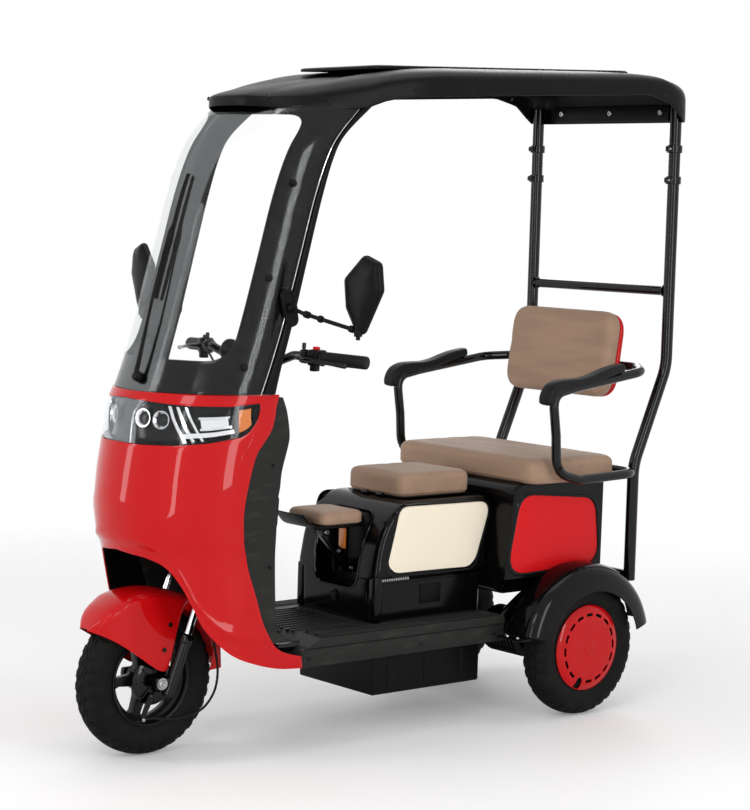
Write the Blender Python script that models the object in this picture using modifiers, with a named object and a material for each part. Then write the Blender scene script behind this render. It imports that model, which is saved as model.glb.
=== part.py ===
"""Electric passenger tricycle with a windshield and a hard canopy.

One front wheel steers under a wraparound apron, two rear wheels carry a moulded body with a
rider's saddle, a folding jump seat and a passenger bench with armrests.
The front faces -Y, the left side is +X, and Z is up. The ground is z = 0 and the origin is on it,
under the middle of the vehicle. Lengths are in metres.
"""
import math

import bmesh
import bpy
import numpy as np
from mathutils import Matrix, Vector

# Clearances
SEAT_GAP = 0.0003
RUNNING_GAP = 0.0008

# Wheels
WHEEL_RADIUS = 0.183
TYRE_WIDTH = 0.078
TYRE_HEIGHT = 0.0765
BEAD_RADIUS = WHEEL_RADIUS - TYRE_HEIGHT
RIM_WIDTH = 0.068
HUBCAP_RADIUS = BEAD_RADIUS + 0.0085
FRONT_AXLE_Y = -0.680
REAR_AXLE_Y = 0.537

# Steering: the axis leans back and passes behind the front axle
STEER_FOOT_Y = -0.647
STEER_RAKE = math.radians(21.0)
FORK_HALF_WIDTH = 0.070
STANCHION_RADIUS = 0.0125
SLIDER_RADIUS = 0.0160
STEERER_RADIUS = 0.0130
CROWN_Z = 0.450
CROWN_HALF_HEIGHT = 0.014
FENDER_REAR_HALF_WIDTH = 0.052
AXLE_RADIUS = 0.0085
REAR_STUB_RADIUS = 0.0110
BAR_CLAMP_Z = 0.908
CLAMP_HALF_DEPTH = 0.020
CLAMP_HALF_HEIGHT = 0.018
BAR_RADIUS = 0.0110
GRIP_RADIUS = 0.0160
GRIP_LENGTH = 0.125
GRIP_END = (0.359, -0.308, 0.965)
GRIP_SWEEP = math.radians(20.0)

# Front brake: a drum plate between the hub and the left leg, with a lever that the cable pulls
BRAKE_PLATE_X = (0.0345, 0.0440)
BRAKE_PLATE_RADIUS = 0.058
BRAKE_LEVER_X = (0.050, 0.054)
BRAKE_PIVOT = (-0.692, 0.150)
BRAKE_LEVER_END_Y = -0.710
CABLE_RADIUS = 0.003
CABLE_CROWN_X = 0.040

# Apron and deck
APRON_HALF_WIDTH = 0.232
APRON_DEPTH = 0.250
APRON_WALL = 0.003
APRON_TOP_Z = 0.884
DECK_TOP_Z = 0.283
DECK_BOTTOM_Z = 0.214
DECK_FRONT_Y = -0.377
DECK_REAR_Y = 0.300
APRON_REAR_Y = DECK_FRONT_Y - 0.0005
DECK_WALL = 0.012
FOOT_BOARD_HEIGHT = 0.002
FOOT_BOARD_X = (0.165, 0.219)
BATTERY_BOTTOM_Z = 0.095
BATTERY_TOP_Z = DECK_BOTTOM_Z - 0.006

# Windshield
SHIELD_HALF_WIDTH = 0.235
SHIELD_DEPTH = 0.213
SHIELD_WALL = 0.003
FRAME_WALL = 0.010
WINDOW_HALF_WIDTH = 0.198
WINDOW_BASE_Z = 0.955

# Canopy
CANOPY_HALF_WIDTH = 0.300
CANOPY_NOSE_Y = -0.545
CANOPY_REAR_Y = 0.875
CANOPY_WALL = 0.004
CANOPY_TOP_Z = 1.678
CANOPY_SLOPE = 0.050
CANOPY_CENTRE_Y = 0.20
CANOPY_PLATE_HALF = (0.150, 0.465, 0.005)
CANOPY_PLATE_Y = 0.318
WINDOW_TOP_Z = CANOPY_TOP_Z - 0.118
SHIELD_BASE_Z = APRON_TOP_Z + 0.0017
SHIELD_TOP_Z = CANOPY_TOP_Z - 0.088

# Rear frame
POST_X = 0.265
POST_Y = 0.842
POST_RADIUS = 0.0160
POST_TOP_Z = CANOPY_TOP_Z - 0.044
POST_FOOT_Y = 0.734
POST_FOOT_Z = 0.357
CROSSBAR_Z = 1.133
CROSSBAR_RADIUS = 0.0130

# Body and seats
PANEL_WALL = 0.006
SEAT_BOX_FRONT_Y = -0.088
SEAT_BOX_HALF_WIDTH = 0.141
SEAT_BOX_TOP_HALF_WIDTH = 0.160
FRONT_PANEL = [(-0.058, 0.404), (-0.012, 0.578), (0.305, 0.575), (0.248, 0.402)]
REAR_PANEL = [(0.296, 0.386), (0.340, 0.598), (0.618, 0.574), (0.640, 0.396)]
SEAT_BOX_TOP_Z = 0.588
REAR_BOX_HALF_WIDTH = 0.236
WHEEL_STAND_OFF = 0.034
TRACK = 2 * (REAR_BOX_HALF_WIDTH + WHEEL_STAND_OFF)
REAR_BOX_TOP_Z = 0.626
REAR_BOX_BOTTOM_Z = 0.330
REAR_BOX_REAR_Y = 0.712
RAIL_RADIUS = 0.0125
RAIL_X = 0.175
LEG_SHIELD_WALL = 0.003
DOWN_TUBE_Y = -0.457 - LEG_SHIELD_WALL - RAIL_RADIUS - SEAT_GAP
WHEEL_STEPS = 30

# Backrest and armrests
BACKREST_Y = 0.705
BACKREST_Z = 0.955
BACKREST_LEAN = math.radians(8.0)
BACKREST_CUSHION_DEPTH = 0.044
BACKREST_SHELL_DEPTH = 0.020
ARMREST_X = 0.309
ARMREST_TOP = [(0.368, 0.866), (0.450, 0.882)]
ARMREST_PAD_RADIUS = 0.0150

# Folding jump seat
RECESS_BACK_Y = SEAT_BOX_FRONT_Y + 0.060
JUMP_PIVOT_Y = -0.138
JUMP_PIVOT_Z = 0.503
JUMP_PAN_Z = 0.5200
JUMP_PAN_FRONT_Y = -0.205
JUMP_LIP_HALF_WIDTH = 0.060
JUMP_LIP_REACH = 0.0555
JUMP_LIP_RISE = 0.0480
JUMP_PIN_RADIUS = 0.0045
JUMP_EYE_HALF_WIDTH = 0.014

steer_axis = Vector((0.0, math.sin(STEER_RAKE), math.cos(STEER_RAKE)))


def steer_y(z):
    """Y of the steering axis at height z."""
    return STEER_FOOT_Y + math.tan(STEER_RAKE) * (z - WHEEL_RADIUS)


# Scene
for old in list(bpy.data.objects):
    bpy.data.objects.remove(old, do_unlink=True)
parts = bpy.data.collections.new("electric_tricycle")
cutters = bpy.data.collections.new("cutters")
bpy.context.scene.collection.children.link(parts)
bpy.context.scene.collection.children.link(cutters)


def material(name, colour, roughness, metallic=0.0, transmission=0.0):
    made = bpy.data.materials.new(name)
    made.use_nodes = True
    shader = made.node_tree.nodes["Principled BSDF"]
    shader.inputs["Base Color"].default_value = (*colour, 1.0)
    shader.inputs["Roughness"].default_value = roughness
    shader.inputs["Metallic"].default_value = metallic
    shader.inputs["Transmission Weight"].default_value = transmission
    return made


RED = material("red_gloss", (0.55, 0.006, 0.010), 0.15)
PANEL_RED = material("panel_red", (0.70, 0.013, 0.018), 0.35)
CREAM = material("panel_cream", (0.95, 0.87, 0.73), 0.35)
GLOSS_BLACK = material("gloss_black", (0.008, 0.008, 0.009), 0.15)
SATIN_BLACK = material("satin_black", (0.013, 0.013, 0.014), 0.4)
DECK_GREY = material("deck_grey", (0.028, 0.028, 0.026), 0.6)
RUBBER = material("rubber", (0.018, 0.018, 0.018), 0.75)
LEATHER = material("tan_leather", (0.24, 0.14, 0.09), 0.5)
STEEL_BLACK = material("black_steel", (0.012, 0.012, 0.013), 0.25, 0.3)
CLEAR = material("clear_sheet", (0.95, 0.97, 0.97), 0.03, 0.0, 1.0)
LAMP_RED = material("lamp_red", (0.45, 0.01, 0.01), 0.15)


# Helpers that make objects
def add(name, mesh, look=None, place=(0, 0, 0)):
    made = bpy.data.objects.new(name, mesh)
    made.location = place
    parts.objects.link(made)
    if look:
        mesh.materials.append(look)
    return made


def mesh_from(name, bm):
    mesh = bpy.data.meshes.new(name)
    bm.to_mesh(mesh)
    bm.free()
    return mesh


def smooth(made, degrees=35.0):
    made.data.shade_smooth()
    made.data.set_sharp_from_angle(angle=math.radians(degrees))
    return made


def as_tool(made):
    """Turns an object into a hidden operand of another object's Boolean."""
    if made.name in parts.objects:
        parts.objects.unlink(made)
        cutters.objects.link(made)
    made.hide_render = True
    made.display_type = "WIRE"
    return made


def boolean(made, tool, operation):
    step = made.modifiers.new(operation.lower(), "BOOLEAN")
    step.operation = operation
    step.solver = "EXACT"
    step.object = as_tool(tool)
    return made


def cut(made, *tools):
    for tool in tools:
        boolean(made, tool, "DIFFERENCE")
    return made


def join(made, *others):
    for other in others:
        boolean(made, other, "UNION")
    return made


def solid(made):
    """Replaces an object's mesh with its evaluated mesh, with doubles merged."""
    graph = bpy.context.evaluated_depsgraph_get()
    mesh = bpy.data.meshes.new_from_object(made.evaluated_get(graph))
    bm = bmesh.new()
    bm.from_mesh(mesh)
    bmesh.ops.remove_doubles(bm, verts=bm.verts, dist=0.00005)
    bm.to_mesh(mesh)
    bm.free()
    name, place = made.name, made.matrix_world.copy()
    bpy.data.objects.remove(made, do_unlink=True)
    fresh = add(name, mesh)
    fresh.matrix_world = place
    return fresh


def box(name, low, high, look=None, round_edge=0.0, segments=2):
    """A block between two corners."""
    bm = bmesh.new()
    bmesh.ops.create_cube(bm, size=1.0)
    size = Vector(high) - Vector(low)
    middle = (Vector(high) + Vector(low)) / 2
    bmesh.ops.scale(bm, vec=size, verts=bm.verts)
    made = add(name, mesh_from(name, bm), look, middle)
    if round_edge:
        bevel = made.modifiers.new("round", "BEVEL")
        bevel.width = round_edge
        bevel.segments = segments
        bevel.limit_method = "ANGLE"
    return smooth(made)


def rod(name, start, end, radius, look=None, sides=12, end_radius=None):
    """A straight round bar or cone between two points."""
    start, end = Vector(start), Vector(end)
    bm = bmesh.new()
    bmesh.ops.create_cone(bm, cap_ends=True, segments=sides, radius1=radius,
                          radius2=radius if end_radius is None else end_radius,
                          depth=(end - start).length)
    made = add(name, mesh_from(name, bm), look, (start + end) / 2)
    made.rotation_euler = (end - start).to_track_quat("Z", "Y").to_euler()
    return smooth(made)


def tube(name, points, radius, look=None, resolution=2):
    """A bent round bar through a list of points, as a curve with a bevel and filled caps."""
    curve = bpy.data.curves.new(name, "CURVE")
    curve.dimensions = "3D"
    curve.bevel_depth = radius
    curve.bevel_resolution = resolution
    curve.use_fill_caps = True
    line = curve.splines.new("POLY")
    line.points.add(len(points) - 1)
    for spot, point in zip(line.points, points):
        spot.co = (*point, 1.0)
    made = bpy.data.objects.new(name, curve)
    parts.objects.link(made)
    bpy.context.view_layer.update()
    made = solid(made)
    if look:
        made.data.materials.append(look)
    return smooth(made)


def flow(points, steps):
    """Points of a Catmull-Rom curve through the given points, with the given steps in each span."""
    knots = [Vector(p) for p in points]
    knots = [2 * knots[0] - knots[1]] + knots + [2 * knots[-1] - knots[-2]]
    made = []
    for i in range(1, len(knots) - 2):
        a, b, c, d = knots[i - 1:i + 3]
        for k in range(steps):
            t = k / steps
            made.append(0.5 * ((2 * b) + (c - a) * t + (2 * a - 5 * b + 4 * c - d) * t ** 2
                               + (3 * b - a - 3 * c + d) * t ** 3))
    made.append(knots[-2])
    return made


def rounded(points, radius, steps=3):
    """A polyline whose inner corners are replaced with arcs of about the given radius."""
    points = [Vector(p) for p in points]
    made = [points[0]]
    for before, corner, after in zip(points, points[1:], points[2:]):
        near, far = (before - corner), (after - corner)
        bend = near.angle(far)
        reach = min(radius / math.tan(bend / 2), near.length * 0.49, far.length * 0.49)
        start, end = corner + near.normalized() * reach, corner + far.normalized() * reach
        for k in range(steps + 1):
            t = k / steps
            made.append((1 - t) ** 2 * start + 2 * t * (1 - t) * corner + t ** 2 * end)
    return made + [points[-1]]


def ring(name, profile, steps, look=None, place=(0, 0, 0), axis="X"):
    """A turned shape from a closed profile of (radius, along) points."""
    area = sum(a[0] * b[1] - b[0] * a[1] for a, b in zip(profile, profile[1:] + profile[:1]))
    if area > 0:
        profile = profile[::-1]
    mesh = bpy.data.meshes.new(name)
    count = len(profile)
    edges = [(i, (i + 1) % count) for i in range(count)]
    mesh.from_pydata([(r, 0.0, along) for r, along in profile], edges, [])
    made = add(name, mesh, look, place)
    screw(made, steps)
    made.rotation_euler = {"X": (0, math.pi / 2, 0), "Z": (0, 0, 0), "Y": (math.pi / 2, 0, 0)}[axis]
    return made


def turned(name, profile, steps, look=None, place=(0, 0, 0), axis="X"):
    """A turned solid from an open profile whose two ends are on the axis, listed top to bottom."""
    mesh = bpy.data.meshes.new(name)
    edges = [(i, i + 1) for i in range(len(profile) - 1)]
    mesh.from_pydata([(r, 0.0, along) for r, along in profile], edges, [])
    made = add(name, mesh, look, place)
    screw(made, steps)
    made.rotation_euler = {"X": (0, math.pi / 2, 0), "Z": (0, 0, 0), "Y": (math.pi / 2, 0, 0)}[axis]
    return made


def screw(made, steps):
    turn = made.modifiers.new("turn", "SCREW")
    turn.axis = "Z"
    turn.steps = steps
    turn.render_steps = steps
    turn.use_merge_vertices = True
    turn.merge_threshold = 0.00005
    turn.use_smooth_shade = True


def surface(name, rows, look, wall, outward=None, close=False):
    """An open grid of points with a wall of the given thickness on its inner side.

    outward is a point inside the shell: the faces are turned away from it.
    """
    bm = bmesh.new()
    grid = [[bm.verts.new(p) for p in row] for row in rows]
    for upper, lower in zip(grid, grid[1:]):
        pairs = list(zip(upper, upper[1:], lower[1:], lower))
        if close:
            pairs.append((upper[-1], upper[0], lower[0], lower[-1]))
        for corners in pairs:
            bm.faces.new(corners)
    bmesh.ops.remove_doubles(bm, verts=bm.verts, dist=0.00005)
    bmesh.ops.recalc_face_normals(bm, faces=bm.faces)
    if outward is not None:
        inside = Vector(outward)
        away = sum((f.calc_center_median() - inside).dot(f.normal) * f.calc_area() for f in bm.faces)
        if away < 0:
            bmesh.ops.reverse_faces(bm, faces=bm.faces)
    made = add(name, mesh_from(name, bm), look)
    if wall:
        thick = made.modifiers.new("wall", "SOLIDIFY")
        thick.thickness = wall
        thick.offset = -1.0
        thick.use_quality_normals = True
    return smooth(made)


def plate(name, outline, low, high, look=None, axis="X", round_edge=0.0):
    """A flat outline of (u, v) points extruded from low to high along an axis.

    X: (u, v) is (y, z). Y: (x, z). Z: (x, y).
    """
    curve = bpy.data.curves.new(name, "CURVE")
    curve.dimensions = "2D"
    curve.fill_mode = "BOTH"
    curve.extrude = (high - low) / 2
    line = curve.splines.new("POLY")
    line.points.add(len(outline) - 1)
    for spot, (u, v) in zip(line.points, outline):
        spot.co = (u, v, 0.0, 1.0)
    line.use_cyclic_u = True
    made = bpy.data.objects.new(name, curve)
    parts.objects.link(made)
    middle = (high + low) / 2
    turn = {"X": Matrix(((0, 0, 1, middle), (1, 0, 0, 0), (0, 1, 0, 0), (0, 0, 0, 1))),
            "Y": Matrix(((1, 0, 0, 0), (0, 0, -1, middle), (0, 1, 0, 0), (0, 0, 0, 1))),
            "Z": Matrix(((1, 0, 0, 0), (0, 1, 0, 0), (0, 0, 1, middle), (0, 0, 0, 1)))}[axis]
    made.matrix_world = turn
    bpy.context.view_layer.update()
    made = solid(made)
    if look:
        made.data.materials.append(look)
    if round_edge:
        bevel = made.modifiers.new("round", "BEVEL")
        bevel.width = round_edge
        bevel.segments = 2
        bevel.limit_method = "ANGLE"
        bevel.angle_limit = math.radians(60)
    return smooth(made)


def round_outline(corners, radius, steps=4):
    """A closed outline with each corner replaced with an arc of about the given radius."""
    made = []
    count = len(corners)
    for i in range(count):
        before, corner, after = (Vector(corners[(i + k) % count]) for k in (-1, 0, 1))
        near, far = before - corner, after - corner
        bend = near.angle(far)
        reach = min(radius / math.tan(bend / 2), near.length * 0.45, far.length * 0.45)
        start, end = corner + near.normalized() * reach, corner + far.normalized() * reach
        for k in range(steps + 1):
            t = k / steps
            point = (1 - t) ** 2 * start + 2 * t * (1 - t) * corner + t ** 2 * end
            made.append(tuple(point))
    return made


def both_sides(build):
    """Calls a builder for the left (+1) and the right (-1) side."""
    build("left", 1)
    build("right", -1)


# Wheels
def tyre(name, place):
    half = TYRE_WIDTH / 2
    side = [(BEAD_RADIUS, half - 0.012), (BEAD_RADIUS + 0.010, half - 0.008),
            (WHEEL_RADIUS - 0.048, half - 0.001), (WHEEL_RADIUS - 0.026, half - 0.001),
            (WHEEL_RADIUS - 0.010, half - 0.008), (WHEEL_RADIUS - 0.0015, half - 0.023)]
    profile = side + [(WHEEL_RADIUS, 0.0)] + [(r, -x) for r, x in reversed(side)]
    return ring(name, profile, WHEEL_STEPS, RUBBER, place)


def rim_profile():
    half = RIM_WIDTH / 2
    seat = BEAD_RADIUS - SEAT_GAP
    lip = half - 0.0037
    return [(seat, lip), (seat + 0.005, lip), (seat + 0.005, half), (seat - 0.010, half - 0.010),
            (seat - 0.010, -half + 0.010), (seat + 0.005, -half), (seat + 0.005, -lip), (seat, -lip)]


def front_wheel():
    place = (0.0, FRONT_AXLE_Y, WHEEL_RADIUS)
    tyre("front_tyre", place)
    rim = ring("front_rim", rim_profile(), WHEEL_STEPS, SATIN_BLACK, place)
    bore = AXLE_RADIUS + RUNNING_GAP
    hub = ring("front_hub", [(0.034, 0.030), (0.034, -0.030), (bore, -0.030), (bore, 0.030)], 24,
               None, place)
    join(rim, hub)
    spoke_count = 5
    inner, outer = 0.028, BEAD_RADIUS - 0.008
    for i in range(spoke_count):
        turn = 2 * math.pi * (i + 0.5) / spoke_count
        outline = [(inner, -0.016), (outer, -0.009), (outer, 0.009), (inner, 0.016)]
        spoke = plate(f"front_spoke_{i}", outline, -0.016, 0.016, axis="Z")
        spoke.matrix_world = (Matrix.Translation(place) @ Matrix.Rotation(turn, 4, "X")
                              @ Matrix.Rotation(math.pi / 2, 4, "Y"))
        join(rim, spoke)
    return rim


def rear_wheel(side, sign):
    place = (sign * TRACK / 2, REAR_AXLE_Y, WHEEL_RADIUS)
    tyre(f"rear_tyre_{side}", place)
    rim = ring(f"rear_rim_{side}", rim_profile(), WHEEL_STEPS, SATIN_BLACK, place)
    web = BEAD_RADIUS - 0.006
    bore = REAR_STUB_RADIUS + RUNNING_GAP
    section = [(web, 0.004), (web, -0.004), (0.040, -0.004), (0.036, -0.020), (bore, -0.020),
               (bore, 0.018), (0.030, 0.018), (0.036, 0.004)]
    dish = ring(f"rear_dish_{side}", [(r, sign * along) for r, along in section], 20, None, place)
    join(rim, dish)
    hubcap(side, sign)


def hubcap(side, sign):
    """A dished wheel cover with a ring of slots, clipped over the rim's outer lip."""
    outer = RIM_WIDTH / 2 + SEAT_GAP
    thick = 0.003
    face = [(0.0, 0.0125), (0.016, 0.0125), (0.018, 0.0105), (HUBCAP_RADIUS - 0.055, 0.0105),
            (HUBCAP_RADIUS - 0.020, 0.0080), (HUBCAP_RADIUS, 0.0005)]
    back = [(r, along - thick) for r, along in reversed(face[2:-1])]
    profile = face + [(HUBCAP_RADIUS - 0.0025, 0.0)] + back + [(0.0, face[2][1] - thick)]
    place = (sign * (TRACK / 2 + outer), REAR_AXLE_Y, WHEEL_RADIUS)
    cap = turned(f"hubcap_{side}", profile, WHEEL_STEPS, RED, place)
    if sign < 0:
        cap.rotation_euler = (0, -math.pi / 2, 0)
    slots = bmesh.new()
    count = 12
    for i in range(count):
        angle = 2 * math.pi * (i + 0.5) / count
        spot = Matrix.Rotation(angle, 4, "X") @ Matrix.Translation((0.005, 0.0, HUBCAP_RADIUS - 0.027))
        bmesh.ops.create_cube(slots, size=1.0, matrix=spot @ Matrix.Diagonal((0.030, 0.030, 0.009, 1)))
    valve = Matrix.Rotation(math.pi, 4, "X") @ Matrix.Translation((0.005, 0.0, HUBCAP_RADIUS - 0.010))
    bmesh.ops.create_cube(slots, size=1.0, matrix=valve @ Matrix.Diagonal((0.030, 0.015, 0.030, 1)))
    tool = add(f"hubcap_slots_{side}", mesh_from("slots", slots), None, place)
    cut(cap, tool)
    return cap


# Steering
def steer_point(side_x, along, ahead=0.0):
    """A point beside the steering axis: along is measured up the axis from the axle's height."""
    foot = Vector((side_x, STEER_FOOT_Y, WHEEL_RADIUS))
    forward = Vector((0.0, -math.cos(STEER_RAKE), math.sin(STEER_RAKE)))
    return foot + steer_axis * along + forward * ahead


def along_for(z):
    return (z - WHEEL_RADIUS) / math.cos(STEER_RAKE)


def fork():
    crown = along_for(CROWN_Z)
    fork_body = box("steering_fork", (-FORK_HALF_WIDTH - 0.020, -0.022, -CROWN_HALF_HEIGHT),
                    (FORK_HALF_WIDTH + 0.020, 0.022, CROWN_HALF_HEIGHT), STEEL_BLACK, 0.004)
    fork_body.matrix_world = (Matrix.Translation(steer_point(0, crown))
                              @ Matrix.Rotation(-STEER_RAKE, 4, "X"))
    join(fork_body, rod("steerer", steer_point(0, crown - 0.005),
                        steer_point(0, along_for(BAR_CLAMP_Z) - CLAMP_HALF_HEIGHT - SEAT_GAP),
                        STEERER_RADIUS))
    for side, sign in (("left", 1), ("right", -1)):
        x = sign * FORK_HALF_WIDTH
        join(fork_body,
             rod(f"stanchion_{side}", steer_point(x, 0.080), steer_point(x, crown + 0.010),
                 STANCHION_RADIUS),
             rod(f"slider_{side}", steer_point(x, -0.035), steer_point(x, 0.120), SLIDER_RADIUS),
             box(f"axle_lug_{side}", (x - 0.009, FRONT_AXLE_Y - 0.016, WHEEL_RADIUS - 0.016),
                 (x + 0.009, STEER_FOOT_Y, WHEEL_RADIUS + 0.016)))
        low, high = sorted((sign * (FENDER_REAR_HALF_WIDTH + SEAT_GAP), x))
        join(fork_body, box(f"fender_tab_{side}", (low, FRONT_AXLE_Y + 0.090, WHEEL_RADIUS + 0.151),
                            (high, FRONT_AXLE_Y + 0.114, WHEEL_RADIUS + 0.166)))
    join(fork_body, rod("front_axle", (-FORK_HALF_WIDTH - 0.016, FRONT_AXLE_Y, WHEEL_RADIUS),
                        (FORK_HALF_WIDTH + 0.016, FRONT_AXLE_Y, WHEEL_RADIUS), AXLE_RADIUS))
    join(fork_body, *drum_brake())
    return fork_body


def drum_brake():
    """The drum's backing plate on the axle, and its lever on a pivot boss."""
    y, z = BRAKE_PIVOT
    end = BRAKE_LEVER_END_Y
    lever = [(y - 0.009, z + 0.006), (y + 0.008, z - 0.002), (end, 0.102), (end, 0.090),
             (end - 0.012, 0.090), (end - 0.012, 0.100)]
    return (rod("brake_plate", (BRAKE_PLATE_X[0], FRONT_AXLE_Y, WHEEL_RADIUS),
                (BRAKE_PLATE_X[1], FRONT_AXLE_Y, WHEEL_RADIUS), BRAKE_PLATE_RADIUS, sides=24),
            rod("brake_pivot", (BRAKE_PLATE_X[0] + 0.002, y, z), (BRAKE_LEVER_X[1] + 0.002, y, z), 0.007),
            plate("brake_lever", lever, *BRAKE_LEVER_X))


def brake_cable():
    """The brake's cable: back from the lever, up behind the leg in a loop, and to the fork's crown."""
    lever_x = sum(BRAKE_LEVER_X) / 2
    crown = along_for(CROWN_Z) - CROWN_HALF_HEIGHT - SEAT_GAP
    route = [(lever_x, BRAKE_LEVER_END_Y + SEAT_GAP, 0.096), (lever_x, -0.690, 0.096),
             (0.058, -0.650, 0.091), (0.064, -0.600, 0.091), (0.070, -0.553, 0.107),
             (0.073, -0.522, 0.145), (0.072, -0.512, 0.195), (0.068, -0.519, 0.250),
             (0.061, -0.531, 0.308), (0.050, -0.551, 0.355)]
    route += [steer_point(CABLE_CROWN_X, crown - back) for back in (0.044, 0.022, 0.0)]
    return tube("brake_cable", flow(route, 4), CABLE_RADIUS, RUBBER)


def bar_points(sign):
    end = Vector(GRIP_END)
    out = Vector((math.cos(GRIP_SWEEP), math.sin(GRIP_SWEEP), 0.0))
    inner = end - out * 0.205
    inner.z += 0.007
    middle_y = steer_y(BAR_CLAMP_Z)
    path = [end - out * 0.004, inner, (0.105, middle_y - 0.006, BAR_CLAMP_Z + 0.045),
            (0.060, middle_y, BAR_CLAMP_Z), (0.0, middle_y, BAR_CLAMP_Z)]
    return [Vector((sign * p[0], p[1], p[2])) for p in path]


def handlebar():
    left, right = bar_points(1), bar_points(-1)
    route = rounded(left + right[-2::-1], 0.030)
    bar = tube("handlebar", route, BAR_RADIUS, STEEL_BLACK)
    clamp = box("bar_clamp", (-0.030, -CLAMP_HALF_DEPTH, -CLAMP_HALF_HEIGHT),
                (0.030, CLAMP_HALF_DEPTH, CLAMP_HALF_HEIGHT), None, 0.003)
    clamp.matrix_world = (Matrix.Translation(steer_point(0, along_for(BAR_CLAMP_Z)))
                          @ Matrix.Rotation(-STEER_RAKE, 4, "X"))
    join(bar, clamp)
    return bar


def grip(side, sign):
    end = Vector(GRIP_END)
    out = Vector((math.cos(GRIP_SWEEP), math.sin(GRIP_SWEEP), 0.0))
    start = end - out * GRIP_LENGTH
    bore = BAR_RADIUS + SEAT_GAP * 2
    profile = [(0.0, GRIP_LENGTH), (GRIP_RADIUS, GRIP_LENGTH), (GRIP_RADIUS, 0.004),
               (GRIP_RADIUS + 0.004, 0.003), (GRIP_RADIUS + 0.004, 0.0), (bore, 0.0),
               (bore, GRIP_LENGTH - 0.0035),
               (0.0, GRIP_LENGTH - 0.0035)]
    made = turned(f"grip_{side}", profile, 16, RUBBER)
    lift = -math.atan2(0.007, 0.205)
    direction = Vector((sign * out.x, out.y, math.sin(lift))).normalized()
    made.location = (sign * start.x, start.y, start.z - math.sin(lift) * GRIP_LENGTH)
    made.rotation_euler = direction.to_track_quat("Z", "Y").to_euler()
    return made


def instrument_pod():
    place = (0.0, -0.440, 0.965)
    pod = turned("instrument_pod", [(0.0, 0.022), (0.028, 0.022), (0.034, 0.016), (0.036, 0.004),
                                    (0.030, -0.014), (0.016, -0.022), (0.0, -0.024)], 24,
                 SATIN_BLACK, place, "Z")
    pod.rotation_euler = (math.radians(-50), 0, 0)
    clamp = along_for(BAR_CLAMP_Z)
    face = [steer_point(0, clamp + step, CLAMP_HALF_DEPTH + SEAT_GAP) for step in (-0.010, 0.014)]
    join(pod, plate("pod_bracket", [(p.y, p.z) for p in face] + [(-0.425, 0.962), (-0.445, 0.962),
                                                                 (-0.445, 0.945), (-0.425, 0.928)],
                    -0.012, 0.012))
    return pod


def fender_point(angle, offset_x, radius):
    """A point around the front axle: angle 0 is ahead, 90 degrees is above."""
    turn = math.radians(angle)
    return (offset_x, FRONT_AXLE_Y - math.cos(turn) * radius, WHEEL_RADIUS + math.sin(turn) * radius)


def front_fender():
    """Crowned mudguard with deep side flaps that run down ahead of the fork legs."""
    angles = [37, 41, 46, 54, 62, 72, 82, 92, 100, 106, 112, 118, 126, 136, 148, 160, 174]
    knots = [37, 46, 62, 90, 118, 150, 176]
    crowns = [WHEEL_RADIUS + gap for gap in (0.069, 0.060, 0.049, 0.043, 0.039, 0.027, 0.022)]
    rear = FENDER_REAR_HALF_WIDTH
    halves = [0.060, 0.064, 0.065, 0.064, rear, rear - 0.001, rear - 0.001]
    flap_knots = [37, 41, 46, 54, 62, 82, 98, 104, 110, 118, 174]
    flaps = [0.238, 0.190, 0.130, 0.082, 0.056, 0.040, 0.040, 0.100, 0.168, 0.186, 0.160]
    rows = []
    for angle in angles:
        crown = np.interp(angle, knots, crowns)
        half = np.interp(angle, knots, halves)
        flap = np.interp(angle, flap_knots, flaps)
        shoulder = crown - 0.026
        flap = min(flap, shoulder - 0.002)
        side = [(half, flap), (half, shoulder),
                (half * 0.93, crown - 0.013), (half * 0.74, crown - 0.005), (half * 0.40, crown - 0.001)]
        full = side + [(0.0, crown)] + [(-x, r) for x, r in reversed(side)]
        rows.append([fender_point(angle, x, r) for x, r in full])
    return surface("front_fender", rows, RED, 0.0025, (0.0, FRONT_AXLE_Y, WHEEL_RADIUS))


# Apron: an open shell over a half-round plan, bounded by its aft edge and the wheel arch
NOSE_Z = [0.20, 0.490, 0.533, 0.607, 0.680, 0.752, 0.770, 0.813, 0.850, 0.890]
NOSE_Y = [-0.755, -0.765, -0.784, -0.791, -0.787, -0.776, -0.772, -0.768, -0.760, -0.741]
AFT_EDGE = [(0.884, -0.470), (0.800, -0.490), (0.770, -0.512), (0.740, -0.534), (0.661, -0.556),
            (0.588, -0.565), (0.495, -0.554), (0.406, -0.524), (0.315, -0.490), (0.267, -0.449),
            (0.244, APRON_REAR_Y)]
ARCH_EDGE = [(APRON_REAR_Y, 0.2155), (-0.450, 0.222), (-0.520, 0.240), (-0.585, 0.268), (-0.642, 0.325),
             (-0.669, 0.381), (-0.693, 0.435), (-0.719, 0.476), (-0.748, 0.496)]


def nose_y(z):
    return float(np.interp(z, NOSE_Z, NOSE_Y))


def apron_point(turn, z, inset=0.0):
    """A point of the apron's outer skin: turn 0 is the widest place, pi/2 is the nose's middle."""
    middle = nose_y(z) + APRON_DEPTH
    if turn < 0:
        return (APRON_HALF_WIDTH - inset, middle - turn * APRON_DEPTH, z)
    return ((APRON_HALF_WIDTH - inset) * math.cos(turn),
            middle - (APRON_DEPTH - inset) * math.sin(turn), z)


def apron_turn(y, z):
    """The turn at which the skin has the given y, which is negative behind the widest place."""
    share = (nose_y(z) + APRON_DEPTH - y) / APRON_DEPTH
    return math.asin(min(share, 1.0)) if share > 0 else share


def patch(top, bottom, left, u, v):
    """A point between the top and bottom edges, pulled towards the left edge near u = 0."""
    rule = (1 - v) * top(u) + v * bottom(u)
    pull = left(v) - (1 - v) * top(0) - v * bottom(0)
    return rule + (1 - u) ** 2.5 * pull


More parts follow.
